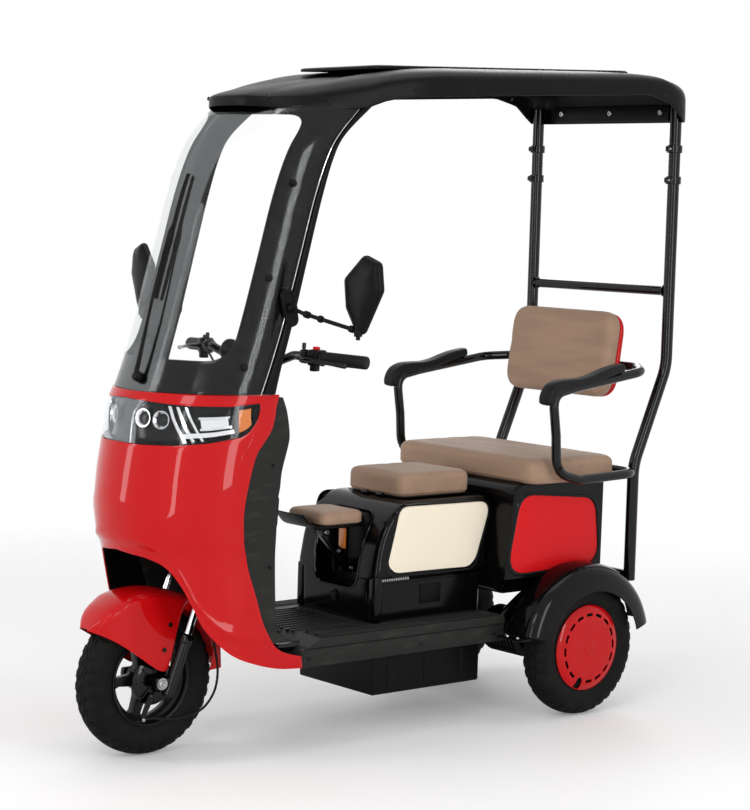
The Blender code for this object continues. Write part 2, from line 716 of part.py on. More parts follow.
def edge_function(points):
    """A function from 0 to 1 along a list of 2-D points, spaced by length."""
    points = np.array(points, float)
    steps = np.concatenate([[0], np.cumsum(np.linalg.norm(np.diff(points * [0.25, 1], axis=0), axis=1))])
    steps /= steps[-1]
    return lambda t: np.array([np.interp(t, steps, points[:, 0]), np.interp(t, steps, points[:, 1])])


def front_apron():
    left = edge_function([(apron_turn(y, z), z) for z, y in AFT_EDGE] +
                         [(apron_turn(ARCH_EDGE[0][0], ARCH_EDGE[0][1]), ARCH_EDGE[0][1])])
    bottom = edge_function([(apron_turn(y, z), z) for y, z in ARCH_EDGE] + [(math.pi / 2, 0.505)])
    start = apron_turn(AFT_EDGE[0][1], AFT_EDGE[0][0])
    top = edge_function([(start, APRON_TOP_Z), (math.pi / 2, APRON_TOP_Z)])
    columns, lines = 9, 11
    rows = []
    for j in range(lines + 1):
        v = j / lines
        half = [apron_point(*patch(top, bottom, left, i / columns, v)) for i in range(columns + 1)]
        rows.append(half + [(-x, y, z) for x, y, z in reversed(half[:-1])])
    apron = surface("front_apron", rows, RED, APRON_WALL, (0, -0.5, 0.6))
    cut(apron, block("lamp_opening", lamp_rows(-0.030, 0.0), lamp_rows(0.040, 0.0)))
    return apron


LAMP_TOP = [(math.radians(4), 0.866), (math.radians(22), 0.858), (math.radians(45), 0.858),
            (math.radians(70), 0.864), (math.radians(90), 0.868)]
LAMP_BOTTOM = [(math.radians(4), 0.806), (math.radians(12), 0.786), (math.radians(30), 0.772),
               (math.radians(50), 0.764), (math.radians(70), 0.762), (math.radians(90), 0.764)]


def lamp_rows(inset, shrink, columns=9, lines=3):
    """The lamp's window on the apron's skin, moved inward by inset and made smaller by shrink."""
    tops = edge_function(LAMP_TOP)
    rows = []
    for j in range(lines + 1):
        v = j / lines
        half = []
        for i in range(columns + 1):
            u = i / columns
            turn, high = tops(u)
            low = float(np.interp(turn, [p[0] for p in LAMP_BOTTOM], [p[1] for p in LAMP_BOTTOM]))
            turn = math.pi / 2 - (math.pi / 2 - turn) * (1 - shrink / 0.3)
            z = (high - shrink) * (1 - v) + (low + shrink) * v
            half.append(apron_point(turn, z, inset))
        rows.append(half + [(-x, y, z) for x, y, z in reversed(half[:-1])])
    return rows


def block(name, outer, inner, look=None):
    """A closed solid between two grids of points with the same layout."""
    rows = outer + inner[::-1] + [outer[0]]
    bm = bmesh.new()
    grid = [[bm.verts.new(p) for p in row] for row in rows]
    for upper, lower in zip(grid, grid[1:]):
        for corners in zip(upper, upper[1:], lower[1:], lower):
            bm.faces.new(corners)
    bmesh.ops.remove_doubles(bm, verts=bm.verts, dist=0.00005)
    bmesh.ops.holes_fill(bm, edges=[e for e in bm.edges if e.is_boundary], sides=0)
    bmesh.ops.recalc_face_normals(bm, faces=bm.faces)
    return smooth(add(name, mesh_from(name, bm), look))


def headlamp():
    block("headlamp_lens", lamp_rows(0.0, 0.0010), lamp_rows(0.003, 0.0010), CLEAR)
    rim, floor = lamp_rows(0.0042, 0.0012), lamp_rows(0.030, 0.0060)
    rows = [rim[0]] + floor + [rim[-1]]
    return surface("headlamp_housing", rows, GLOSS_BLACK, 0.0025, (0, -0.9, 0.8))


LEG_SHIELD_SPINE = [(0.2835, -0.400), (0.300, -0.432), (0.330, -0.450), (0.400, -0.456), (0.500, -0.457),
                    (0.600, -0.456), (0.632, -0.455), (0.660, -0.450), (0.700, -0.446),
                    (0.760, -0.430), (0.790, -0.427), (0.840, -0.436), (0.876, -0.450)]


def leg_shield():
    """Inner moulding between the apron's aft edges, with a cover over the steering column."""
    rows = []
    aft_z = [p[0] for p in reversed(AFT_EDGE)]
    aft_y = [p[1] for p in reversed(AFT_EDGE)]
    for z, y in LEG_SHIELD_SPINE:
        front = min(float(np.interp(z, aft_z, aft_y)) - 0.012, y - 0.020)
        edge = apron_point(apron_turn(front, z), z, APRON_WALL + 0.0015)[0]
        column = max(y, steer_y(z) + 0.034)
        side = [(edge, front), (edge, (front + y) / 2), (edge, y - 0.012), (edge - 0.004, y - 0.004),
                (edge - 0.014, y), (0.085, y), (0.050, (y + 3 * column) / 4)]
        full = [(x, yy, z) for x, yy in side]
        rows.append(full + [(0.0, column, z)] + [(-a, b, c) for a, b, c in reversed(full)])
    return surface("leg_shield", rows, DECK_GREY, LEG_SHIELD_WALL, (0, -0.8, 0.6))


# Windshield
def shield_height(share):
    """Height at a share of the way up the sheet."""
    return SHIELD_BASE_Z + share * (SHIELD_TOP_Z - SHIELD_BASE_Z)


SHIELD_AFT_Z = [shield_height(share)
                for share in (-0.008, 0.091, 0.239, 0.449, 0.659, 0.801, 0.881, 0.977, 1.014)]
SHIELD_AFT_Y = [-0.527, -0.500, -0.465, -0.423, -0.382, -0.345, -0.310, -0.245, -0.215]
FRAME_AFT_Y = [-0.487, -0.470, -0.440, -0.402, -0.363, -0.330, -0.296, -0.218, -0.188]
SHIELD_LEVELS = [shield_height(share) for share in (0.0, 0.141, 0.361, 0.588, 0.759, 0.886, 0.957, 1.0)]


def shield_point(turn, z, inset, aft=None):
    middle = float(np.interp(z, SHIELD_AFT_Z, SHIELD_AFT_Y))
    if aft is not None:
        return (SHIELD_HALF_WIDTH - inset, aft, z)
    return ((SHIELD_HALF_WIDTH - inset) * math.cos(turn),
            middle - (SHIELD_DEPTH - inset) * math.sin(turn), z)


def shield_rows(inset, to_frame_edge):
    columns = 8
    rows = []
    for z in SHIELD_LEVELS:
        half = []
        if to_frame_edge:
            half.append(shield_point(0, z, inset, float(np.interp(z, SHIELD_AFT_Z, FRAME_AFT_Y))))
        half += [shield_point(math.pi / 2 * i / columns, z, inset) for i in range(columns + 1)]
        rows.append(half + [(-x, y, zz) for x, y, zz in reversed(half[:-1])])
    return rows


def windshield():
    surface("windshield", shield_rows(0.0, False), CLEAR, SHIELD_WALL, (0, -0.2, 1.2))
    frame = surface("windshield_frame", shield_rows(SHIELD_WALL + 0.0024, True), GLOSS_BLACK,
                    FRAME_WALL, (0, -0.2, 1.2))
    corners = [(-WINDOW_HALF_WIDTH, WINDOW_BASE_Z), (WINDOW_HALF_WIDTH, WINDOW_BASE_Z),
               (WINDOW_HALF_WIDTH, WINDOW_TOP_Z), (-WINDOW_HALF_WIDTH, WINDOW_TOP_Z)]
    window = plate("window", round_outline(corners, 0.050), -0.90, -0.20, axis="Y")
    cut(frame, window)
    return frame


def wiper():
    """Pivot at the cowl, a tapered arm, and a blade that follows the sheet."""
    def on_sheet(x, z, lift):
        turn = math.acos(x / SHIELD_HALF_WIDTH)
        return Vector(shield_point(turn, z, -lift))
    lean = math.radians(21)
    out = Vector((0.0, -math.cos(lean), math.sin(lean)))
    pivot = on_sheet(0.020, 0.915, 0.0) + out * 0.0006
    hub = rod("wiper", pivot, pivot + out * 0.018, 0.011, SATIN_BLACK)
    arm = tube("wiper_arm", [pivot + out * 0.012, on_sheet(0.012, 1.00, 0.016),
                             on_sheet(0.004, 1.12, 0.018), on_sheet(0.000, 1.24, 0.015)], 0.0045,
               resolution=2)
    blade = tube("wiper_blade", [on_sheet(0.0, 1.10 + 0.05 * i, 0.009) for i in range(7)], 0.006,
                 resolution=2)
    join(hub, arm, blade)
    return hub


# Canopy
CANOPY_OUTLINE = [(0.0, CANOPY_NOSE_Y), (0.085, -0.530), (0.155, -0.485), (0.205, -0.415),
                  (0.240, -0.320), (0.266, -0.220), (0.290, -0.130), (CANOPY_HALF_WIDTH, -0.050),
                  (CANOPY_HALF_WIDTH, 0.150), (CANOPY_HALF_WIDTH, 0.350), (CANOPY_HALF_WIDTH, 0.550),
                  (CANOPY_HALF_WIDTH, 0.720), (CANOPY_HALF_WIDTH, 0.800), (0.294, 0.845),
                  (0.272, 0.868), (0.240, CANOPY_REAR_Y), (0.120, CANOPY_REAR_Y), (0.0, CANOPY_REAR_Y)]


def canopy_edge_z(x, y):
    """Height of the canopy's lower edge: it drops at the windshield and at the posts."""
    drop = np.interp(y, [CANOPY_NOSE_Y, -0.320, -0.235, -0.190, -0.130, 0.700, 0.780, 0.840],
                     [0.104, 0.118, 0.112, 0.088, 0.075, 0.021, 0.038, 0.086])
    return CANOPY_TOP_Z - float(drop)


def roof_z(y):
    """Height of the roof's crown, which rises towards the rear."""
    return CANOPY_TOP_Z + CANOPY_SLOPE * (y + 0.147)


def canopy():
    rings = [1.0, 1.0, 0.985, 0.955, 0.90, 0.80, 0.62, 0.36, 0.0]
    half = CANOPY_OUTLINE
    loop = half + [(-x, y) for x, y in reversed(half[1:-1])]
    rows = []
    for i, share in enumerate(rings):
        row = []
        for x, y in loop:
            edge = canopy_edge_z(x, y)
            forward = max(0.0, min(1.0, -(y + 0.05) / 0.45))
            power = 4.6 - 2.4 * forward
            top = roof_z(CANOPY_CENTRE_Y + (y - CANOPY_CENTRE_Y) * share)
            spring = edge + min(0.022, (top - edge) * 0.25)
            rise = (1 - share ** power) ** (1 / power) if share < 1 else 0.0
            z = edge if i == 0 else spring + (top - spring) * rise
            row.append((x * share, CANOPY_CENTRE_Y + (y - CANOPY_CENTRE_Y) * share, z))
        rows.append(row)
    return surface("canopy_shell", rows, SATIN_BLACK, CANOPY_WALL, (0, 0.2, 1.4), close=True)


def canopy_top_plate():
    half = Vector(CANOPY_PLATE_HALF)
    made = box("canopy_top_plate", -half, half, SATIN_BLACK, 0.003)
    made.location = (0, CANOPY_PLATE_Y, roof_z(CANOPY_PLATE_Y) + half.z + 2 * SEAT_GAP)
    made.rotation_euler = (math.atan(CANOPY_SLOPE), 0, 0)
    return made


# Rear frame
def rear_frame():
    """Two bent posts with clamp collars, tied by a crossbar."""
    def post_path(sign):
        x = sign * POST_X
        return rounded([(x, POST_FOOT_Y, POST_FOOT_Z - POST_RADIUS), (x, 0.732, 0.660),
                        (x, POST_Y + 0.004, 0.925), (x, POST_Y, POST_TOP_Z)], 0.150, 6)
    posts = tube("rear_frame", post_path(1), POST_RADIUS, STEEL_BLACK)
    join(posts, tube("post_right", post_path(-1), POST_RADIUS),
         rod("crossbar", (-POST_X, POST_Y + 0.003, CROSSBAR_Z), (POST_X, POST_Y + 0.003, CROSSBAR_Z),
             CROSSBAR_RADIUS),
         rod("foot_tube", (-POST_X, POST_FOOT_Y, POST_FOOT_Z), (POST_X, POST_FOOT_Y, POST_FOOT_Z),
             RAIL_RADIUS))
    for sign in (1, -1):
        for i, z in enumerate((POST_TOP_Z - 0.1995, POST_TOP_Z - 0.115)):
            join(posts, rod(f"collar_{sign}_{i}", (sign * POST_X, POST_Y, z - 0.010),
                            (sign * POST_X, POST_Y, z + 0.010), 0.0210))
    return posts


def armrest_frame():
    """One tube: a loop on each side, tied behind the backrest, with its feet against the posts."""
    lean = Vector((0.0, math.cos(BACKREST_LEAN), -math.sin(BACKREST_LEAN)))
    offset = BACKREST_CUSHION_DEPTH / 2 + SEAT_GAP + BACKREST_SHELL_DEPTH + SEAT_GAP + RAIL_RADIUS
    tie_z = 0.925
    tie_y = BACKREST_Y + (offset - lean.z * (tie_z - BACKREST_Z)) / lean.y
    foot_x = POST_X + POST_RADIUS + SEAT_GAP + RAIL_RADIUS
    half = [(0.0, tie_y, tie_z), (0.240, tie_y, tie_z), (ARMREST_X, 0.700, 0.918),
            (ARMREST_X, *ARMREST_TOP[1]), (ARMREST_X, *ARMREST_TOP[0]), (ARMREST_X, 0.385, 0.760),
            (ARMREST_X, 0.392, 0.660), (ARMREST_X, 0.480, 0.637), (ARMREST_X, 0.620, 0.637),
            (foot_x, 0.690, 0.650), (foot_x, 0.755, 0.655)]
    left = rounded(half, 0.060, 3)
    right = [Vector((-p.x, p.y, p.z)) for p in left[1:]]
    return tube("armrest_frame", right[::-1] + left, RAIL_RADIUS, GLOSS_BLACK)


def armrest_pad(side, sign):
    """A soft grip that lies along the armrest's upper run."""
    slope = (0.918 - ARMREST_TOP[1][1]) / (0.700 - ARMREST_TOP[1][0])
    rise = (RAIL_RADIUS + ARMREST_PAD_RADIUS + SEAT_GAP) * math.hypot(1, slope)
    run = [Vector((sign * ARMREST_X, y, ARMREST_TOP[1][1] + slope * (y - ARMREST_TOP[1][0]) + rise))
           for y in (0.450, 0.530, 0.610)]
    nose = [Vector((sign * ARMREST_X, y, z)) for y, z in ((0.348, 0.886), (0.372, 0.900), (0.405, 0.908))]
    return tube(f"armrest_pad_{side}", flow(nose + run, 2), ARMREST_PAD_RADIUS, RUBBER)


# Deck, frame and body
def floor_deck():
    outline = [(DECK_FRONT_Y, DECK_BOTTOM_Z + 0.030), (DECK_FRONT_Y + 0.020, DECK_TOP_Z - 0.020),
               (DECK_FRONT_Y + 0.060, DECK_TOP_Z), (DECK_REAR_Y, DECK_TOP_Z),
               (DECK_REAR_Y, DECK_BOTTOM_Z), (DECK_FRONT_Y, DECK_BOTTOM_Z)]
    deck = plate("floor_deck", outline, -APRON_HALF_WIDTH, APRON_HALF_WIDTH, DECK_GREY)
    hollow = box("deck_hollow", (-APRON_HALF_WIDTH + 0.020, DECK_FRONT_Y - 0.1, DECK_BOTTOM_Z - 0.02),
                 (APRON_HALF_WIDTH - 0.020, DECK_REAR_Y + 0.1, DECK_TOP_Z - DECK_WALL))
    cut(deck, hollow)
    for side, sign in (("left", 1), ("right", -1)):
        low, high = sorted(sign * x for x in FOOT_BOARD_X)
        join(deck, box(f"foot_board_{side}", (low, DECK_FRONT_Y + 0.090, DECK_TOP_Z - 0.004),
                       (high, DECK_REAR_Y - 0.014, DECK_TOP_Z + FOOT_BOARD_HEIGHT)))
    return deck


def battery_box():
    return box("battery_box", (-0.150, -0.080, BATTERY_BOTTOM_Z), (0.150, 0.290, BATTERY_TOP_Z),
               SATIN_BLACK, 0.005)


def battery_strap(y, rail_z):
    """A flat cross strap under the rails, turned up at both ends to meet them."""
    low, thick, half = BATTERY_TOP_Z + SEAT_GAP, 0.008, 0.012
    outline = [(-RAIL_X - 0.006, rail_z), (-RAIL_X - 0.006, low), (RAIL_X + 0.006, low),
               (RAIL_X + 0.006, rail_z), (RAIL_X - 0.006, rail_z), (RAIL_X - 0.006, low + thick),
               (-RAIL_X + 0.006, low + thick), (-RAIL_X + 0.006, rail_z)]
    return plate(f"battery_strap_{round(y * 1000)}", outline, y - half, y + half, axis="Y")


def main_frame():
    """Two floor rails, a down tube, a head tube with a bore, and the rear upstand."""
    head_low, head_high = along_for(0.500), along_for(0.640)
    head = rod("main_frame", steer_point(0, head_low), steer_point(0, head_high), 0.0260, STEEL_BLACK)
    rail_z = DECK_TOP_Z - DECK_WALL - SEAT_GAP - RAIL_RADIUS
    rear_z = REAR_BOX_BOTTOM_Z - RAIL_RADIUS - SEAT_GAP
    rail_end = POST_FOOT_Z - RAIL_RADIUS - SEAT_GAP
    neck = steer_point(0, along_for(0.560))
    for side, sign in (("left", 1), ("right", -1)):
        x = sign * RAIL_X
        path = rounded([neck + Vector((sign * 0.012, 0.010, 0)), (sign * 0.050, DOWN_TUBE_Y, 0.510),
                        (sign * 0.120, DOWN_TUBE_Y, 0.330), (x, -0.430, rail_z), (x, 0.330, rail_z),
                        (x, 0.420, rear_z),
                        (x, POST_FOOT_Y, rear_z), (x, POST_FOOT_Y, rail_end)], 0.040)
        join(head, tube(f"rail_{side}", path, RAIL_RADIUS))
    for y in (-0.050, 0.255):
        join(head, battery_strap(y, rail_z))
    join(head, rod("frame_cross", (-RAIL_X, 0.660, rear_z), (RAIL_X, 0.660, rear_z), RAIL_RADIUS))
    bore = rod("head_bore", steer_point(0, head_low - 0.05), steer_point(0, head_high + 0.05),
               STEERER_RADIUS + RUNNING_GAP)
    cut(head, bore)
    return head


def seat_box():
    """The rider's pedestal: a hollow moulding with an open top and a recess for the jump seat."""
    profile = [(SEAT_BOX_FRONT_Y, DECK_TOP_Z + SEAT_GAP), (SEAT_BOX_FRONT_Y - 0.002, 0.400),
               (SEAT_BOX_FRONT_Y + 0.012, 0.480), (SEAT_BOX_FRONT_Y + 0.034, 0.530),
               (SEAT_BOX_FRONT_Y + 0.070, 0.570), (SEAT_BOX_FRONT_Y + 0.110, SEAT_BOX_TOP_Z),
               (0.296, SEAT_BOX_TOP_Z), (0.296, DECK_TOP_Z + SEAT_GAP)]
    half = SEAT_BOX_TOP_HALF_WIDTH
    shell = plate("seat_box", profile, -half, half, GLOSS_BLACK)
    inside = [(SEAT_BOX_FRONT_Y + 0.075, 0.420), (SEAT_BOX_FRONT_Y + 0.085, 0.500),
              (SEAT_BOX_FRONT_Y + 0.125, 0.560), (SEAT_BOX_FRONT_Y + 0.125, 0.700), (0.286, 0.700),
              (0.286, 0.420)]
    hollow = plate("seat_box_inside", inside, -0.110, 0.110)
    recess_outline = round_outline([(-0.085, 0.362), (0.085, 0.362), (0.100, 0.560), (-0.100, 0.560)],
                                   0.040)
    recess = plate("recess", recess_outline, -0.20, RECESS_BACK_Y, axis="Y")
    cut(shell, hollow, recess)
    for side, sign in (("left", 1), ("right", -1)):
        low, high = sorted((sign * (half - PANEL_WALL), sign * (half + 0.05)))
        cut(shell, plate(f"panel_seat_{side}", round_outline(FRONT_PANEL, 0.030), low, high))
        low = box(f"side_step_{side}", (min(sign * SEAT_BOX_HALF_WIDTH, sign * 0.2), -0.3, 0.20),
                  (max(sign * SEAT_BOX_HALF_WIDTH, sign * 0.2), 0.5, 0.385))
        cut(shell, low)
    return shell


def shrunk(corners, by):
    """Corners moved towards their middle, for a panel that sits in a recess of the full outline."""
    middle = sum((Vector(p) for p in corners), Vector((0, 0))) / len(corners)
    return [tuple(Vector(p) + (middle - Vector(p)).normalized() * by) for p in corners]


def side_panel_front(side, sign):
    low, high = sorted((sign * (SEAT_BOX_TOP_HALF_WIDTH - PANEL_WALL + SEAT_GAP),
                        sign * SEAT_BOX_TOP_HALF_WIDTH))
    return plate(f"side_panel_front_{side}", round_outline(shrunk(FRONT_PANEL, 0.0028), 0.030), low,
                 high, CREAM)


def rear_box():
    """The bench's body between the wheels, wider above the fenders."""
    outline = round_outline([(0.300, REAR_BOX_BOTTOM_Z), (0.300, REAR_BOX_TOP_Z),
                             (REAR_BOX_REAR_Y, REAR_BOX_TOP_Z), (REAR_BOX_REAR_Y, REAR_BOX_BOTTOM_Z)],
                            0.030)
    body = plate("rear_box", outline, -REAR_BOX_HALF_WIDTH, REAR_BOX_HALF_WIDTH, GLOSS_BLACK)
    for side, sign in (("left", 1), ("right", -1)):
        low, high = sorted((sign * (REAR_BOX_HALF_WIDTH - PANEL_WALL), sign * (REAR_BOX_HALF_WIDTH + 0.05)))
        cut(body, plate(f"rear_panel_seat_{side}", round_outline(REAR_PANEL, 0.045), low, high))
        low, high = sorted((sign * (TRACK / 2 - 0.080), sign * (TRACK / 2 + 0.030)))
        cut(body, box(f"wheel_space_{side}", (low, 0.25, REAR_BOX_BOTTOM_Z - 0.030),
                      (high, 0.80, 2 * WHEEL_RADIUS + 0.010)))
    return body


def side_panel_rear(side, sign):
    low, high = sorted((sign * (REAR_BOX_HALF_WIDTH - PANEL_WALL + SEAT_GAP), sign * REAR_BOX_HALF_WIDTH))
    return plate(f"side_panel_rear_{side}", round_outline(shrunk(REAR_PANEL, 0.0028), 0.045), low, high,
                 PANEL_RED)


def rear_fender(side, sign):
    """Crowned mudguard with a rolled outer lip, open towards the wheel."""
    section = [(REAR_BOX_HALF_WIDTH + out, WHEEL_RADIUS + gap)
               for out, gap in ((0.0006, 0.053), (0.026, 0.0555), (0.054, 0.054), (0.076, 0.048),
                                (0.090, 0.038), (0.096, 0.025))]
    start, end, count = math.radians(13), math.radians(173), 14
    rows = []
    for i in range(count + 1):
        angle = start + (end - start) * i / count
        flare = 0.012 * abs(math.cos(angle)) ** 3
        rows.append([(sign * x, REAR_AXLE_Y - math.cos(angle) * (r + flare),
                      WHEEL_RADIUS + math.sin(angle) * (r + flare) * 0.95) for x, r in section])
    return surface(f"rear_fender_{side}", rows, GLOSS_BLACK, 0.0025,
                   (sign * TRACK / 2, REAR_AXLE_Y, WHEEL_RADIUS))


def rear_axle():
    """Axle tube with the motor and gear case in its middle, and a bracket to each rail."""
    end = TRACK / 2 - 0.020 - RUNNING_GAP
    axle = rod("rear_axle", (-end, REAR_AXLE_Y, WHEEL_RADIUS), (end, REAR_AXLE_Y, WHEEL_RADIUS), 0.020,
               STEEL_BLACK)
    stub_end = TRACK / 2 + 0.012
    join(axle, rod("axle_stubs", (-stub_end, REAR_AXLE_Y, WHEEL_RADIUS),
                   (stub_end, REAR_AXLE_Y, WHEEL_RADIUS), REAR_STUB_RADIUS))
    join(axle, turned("motor", [(0, 0.075), (0.050, 0.075), (0.062, 0.065), (0.062, -0.065),
                                (0.050, -0.075), (0, -0.075)], 20,
                      None, (0.020, REAR_AXLE_Y, WHEEL_RADIUS)))
    for side, sign in (("left", 1), ("right", -1)):
        x = sign * RAIL_X
        join(axle, box(f"axle_mount_{side}", (x - 0.012, REAR_AXLE_Y - 0.018, WHEEL_RADIUS),
                       (x + 0.012, REAR_AXLE_Y + 0.018,
                        REAR_BOX_BOTTOM_Z - 2 * RAIL_RADIUS - 2 * SEAT_GAP)))
    return axle


# Seats
def cushion(name, low, high, look, crown=0.010):
    return box(name, low, high, look, crown, 3)


def seats():
    cushion("rider_seat_cushion", (-0.112, 0.030, 0.6145), (0.112, 0.275, 0.668), LEATHER, 0.014)
    box("rider_seat_pan", (-0.108, 0.034, SEAT_BOX_TOP_Z + SEAT_GAP), (0.108, 0.271, 0.6142),
        SATIN_BLACK, 0.004)
    cushion("passenger_cushion", (-0.275, 0.345, REAR_BOX_TOP_Z + SEAT_GAP),
            (0.275, 0.655, 0.700), LEATHER, 0.014)
    half = Vector((0.190, BACKREST_CUSHION_DEPTH / 2, 0.115))
    lean = Matrix.Rotation(-BACKREST_LEAN, 4, "X")
    backrest = cushion("backrest_cushion", -half, half, LEATHER, 0.014)
    backrest.matrix_world = Matrix.Translation((0.0, BACKREST_Y, BACKREST_Z)) @ lean
    low_y = BACKREST_CUSHION_DEPTH / 2 + SEAT_GAP
    shell = box("backrest_shell", (-0.188, -BACKREST_SHELL_DEPTH / 2, -0.112),
                (0.188, BACKREST_SHELL_DEPTH / 2, 0.112), RED, 0.006)
    shell.matrix_world = (Matrix.Translation((0.0, BACKREST_Y, BACKREST_Z)) @ lean
                          @ Matrix.Translation((0.0, low_y + BACKREST_SHELL_DEPTH / 2, 0.0)))


def jump_seat():
    """A small folding seat: its pan turns on the eye of a strut and rests on an upright stop.

    The pan's front runs up and forward into a lip that the rider folds it by.
    """
    front = JUMP_PAN_FRONT_Y
    pan = box("jump_seat_pan", (-0.072, front, JUMP_PAN_Z), (0.072, -0.062, JUMP_PAN_Z + 0.009),
              SATIN_BLACK, 0.003)
    lip = [(front + 0.005, JUMP_PAN_Z + 0.0005), (front - 0.003, JUMP_PAN_Z + 0.0005),
           (front - JUMP_LIP_REACH, JUMP_PAN_Z + JUMP_LIP_RISE),
           (front - JUMP_LIP_REACH + 0.0045, JUMP_PAN_Z + JUMP_LIP_RISE + 0.0055),
           (front, JUMP_PAN_Z + 0.0085), (front + 0.005, JUMP_PAN_Z + 0.0085)]
    join(pan, plate("jump_lip", lip, -JUMP_LIP_HALF_WIDTH, JUMP_LIP_HALF_WIDTH))
    for sign in (1, -1):
        low, high = sorted((sign * JUMP_EYE_HALF_WIDTH + sign * RUNNING_GAP,
                            sign * (JUMP_EYE_HALF_WIDTH + RUNNING_GAP + 0.005)))
        lug = [(JUMP_PIVOT_Y - 0.012, JUMP_PAN_Z + 0.004), (JUMP_PIVOT_Y + 0.012, JUMP_PAN_Z + 0.004),
               (JUMP_PIVOT_Y + 0.009, JUMP_PIVOT_Z - 0.009), (JUMP_PIVOT_Y - 0.009, JUMP_PIVOT_Z - 0.009)]
        join(pan, plate(f"jump_lug_{sign}", lug, low, high))
    reach = JUMP_EYE_HALF_WIDTH + RUNNING_GAP + 0.006
    join(pan, rod("jump_pin", (-reach, JUMP_PIVOT_Y, JUMP_PIVOT_Z), (reach, JUMP_PIVOT_Y, JUMP_PIVOT_Z),
                  JUMP_PIN_RADIUS))
    cushion("jump_seat_cushion", (-0.068, -0.190, JUMP_PAN_Z + 0.009 + SEAT_GAP), (0.068, -0.064, 0.566),
            LEATHER, 0.010)
    jump_seat_arm()


def jump_seat_arm():
    foot_y = RECESS_BACK_Y - SEAT_GAP
    eye = Vector((JUMP_PIVOT_Y, JUMP_PIVOT_Z))
    foot = Vector((foot_y - 0.012, 0.395))
    across = (eye - foot).orthogonal().normalized() * 0.008
    strut = [tuple(eye + across), tuple(eye - across), tuple(foot - across), (foot_y, 0.414),
             (foot_y, 0.376), tuple(foot + across)]
    half = JUMP_EYE_HALF_WIDTH - 0.002
    arm = plate("jump_seat_arm", strut, -half, half, STEEL_BLACK)
    join(arm, rod("jump_eye", (-JUMP_EYE_HALF_WIDTH, JUMP_PIVOT_Y, JUMP_PIVOT_Z),
                  (JUMP_EYE_HALF_WIDTH, JUMP_PIVOT_Y, JUMP_PIVOT_Z), 0.009),
         box("jump_stop", (-half + 0.002, -0.067, 0.418), (half - 0.002, -0.055, JUMP_PAN_Z - SEAT_GAP)))
    cut(arm, rod("jump_bore", (-0.05, JUMP_PIVOT_Y, JUMP_PIVOT_Z), (0.05, JUMP_PIVOT_Y, JUMP_PIVOT_Z),
                 JUMP_PIN_RADIUS + RUNNING_GAP))
    return arm


# Mirrors and lamps
def mirror(side, sign):
    """Arm on the windshield frame and a tapered mirror head."""
    z = 1.090
    base_y = float(np.interp(z, SHIELD_AFT_Z, FRAME_AFT_Y)) - 0.022
    x0 = SHIELD_HALF_WIDTH + SEAT_GAP
    base = rod(f"mirror_{side}", (sign * x0, base_y, z), (sign * (x0 + 0.012), base_y, z), 0.022,
               GLOSS_BLACK)
    pivot = Vector((sign * 0.440, base_y + 0.075, 1.035))
    join(base, tube(f"mirror_arm_{side}", [(sign * (x0 + 0.006), base_y, z), (sign * 0.290, base_y, z - 0.010),
                                           pivot], 0.005, resolution=2))
    outline = round_outline([(-0.006, -0.010), (0.014, -0.010), (0.066, 0.095), (0.058, 0.160),
                             (0.010, 0.178), (-0.048, 0.120), (-0.040, 0.050)], 0.018)
    head = plate(f"mirror_head_{side}", outline, -0.014, 0.014, axis="Y", round_edge=0.006)
    head.matrix_world = (Matrix.Translation(pivot) @ Matrix.Scale(sign, 4, (1, 0, 0))
                         @ Matrix.Rotation(math.radians(10), 4, "Z") @ head.matrix_world)
    head = solid(head)
    bm = bmesh.new()
    bm.from_mesh(head.data)
    bmesh.ops.transform(bm, matrix=head.matrix_world, verts=bm.verts)
    bmesh.ops.recalc_face_normals(bm, faces=bm.faces)
    bm.to_mesh(head.data)
    bm.free()
    head.matrix_world = Matrix.Identity(4)
    join(base, head)
    return base


def tail_lamp(side, sign):
    low, high = sorted((sign * (REAR_BOX_HALF_WIDTH - 0.096), sign * (REAR_BOX_HALF_WIDTH - 0.021)))
    return box(f"tail_lamp_{side}", (low, REAR_BOX_REAR_Y + SEAT_GAP, 0.520),
               (high, REAR_BOX_REAR_Y + 0.012, 0.560), LAMP_RED, 0.004)


front_wheel()
both_sides(rear_wheel)
fork()
brake_cable()
handlebar()
both_sides(grip)
instrument_pod()
front_fender()
front_apron()
headlamp()
leg_shield()
windshield()
wiper()
canopy()
canopy_top_plate()
rear_frame()
armrest_frame()
both_sides(armrest_pad)
floor_deck()
battery_box()
main_frame()
seat_box()
both_sides(side_panel_front)
rear_box()
both_sides(side_panel_rear)
both_sides(rear_fender)
rear_axle()
seats()
jump_seat()
both_sides(mirror)
both_sides(tail_lamp)
bpy.context.view_layer.update()
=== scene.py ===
"""Finishes and fine pieces of an electric passenger tricycle, built around its packed frame.

The file is laid out as an add-on and is run as a script. Lengths are in metres, the front faces -Y,
the left side is +X and the ground is z = 0.
"""

import math

import bmesh
import bpy
import numpy as np
from mathutils import Matrix, Vector


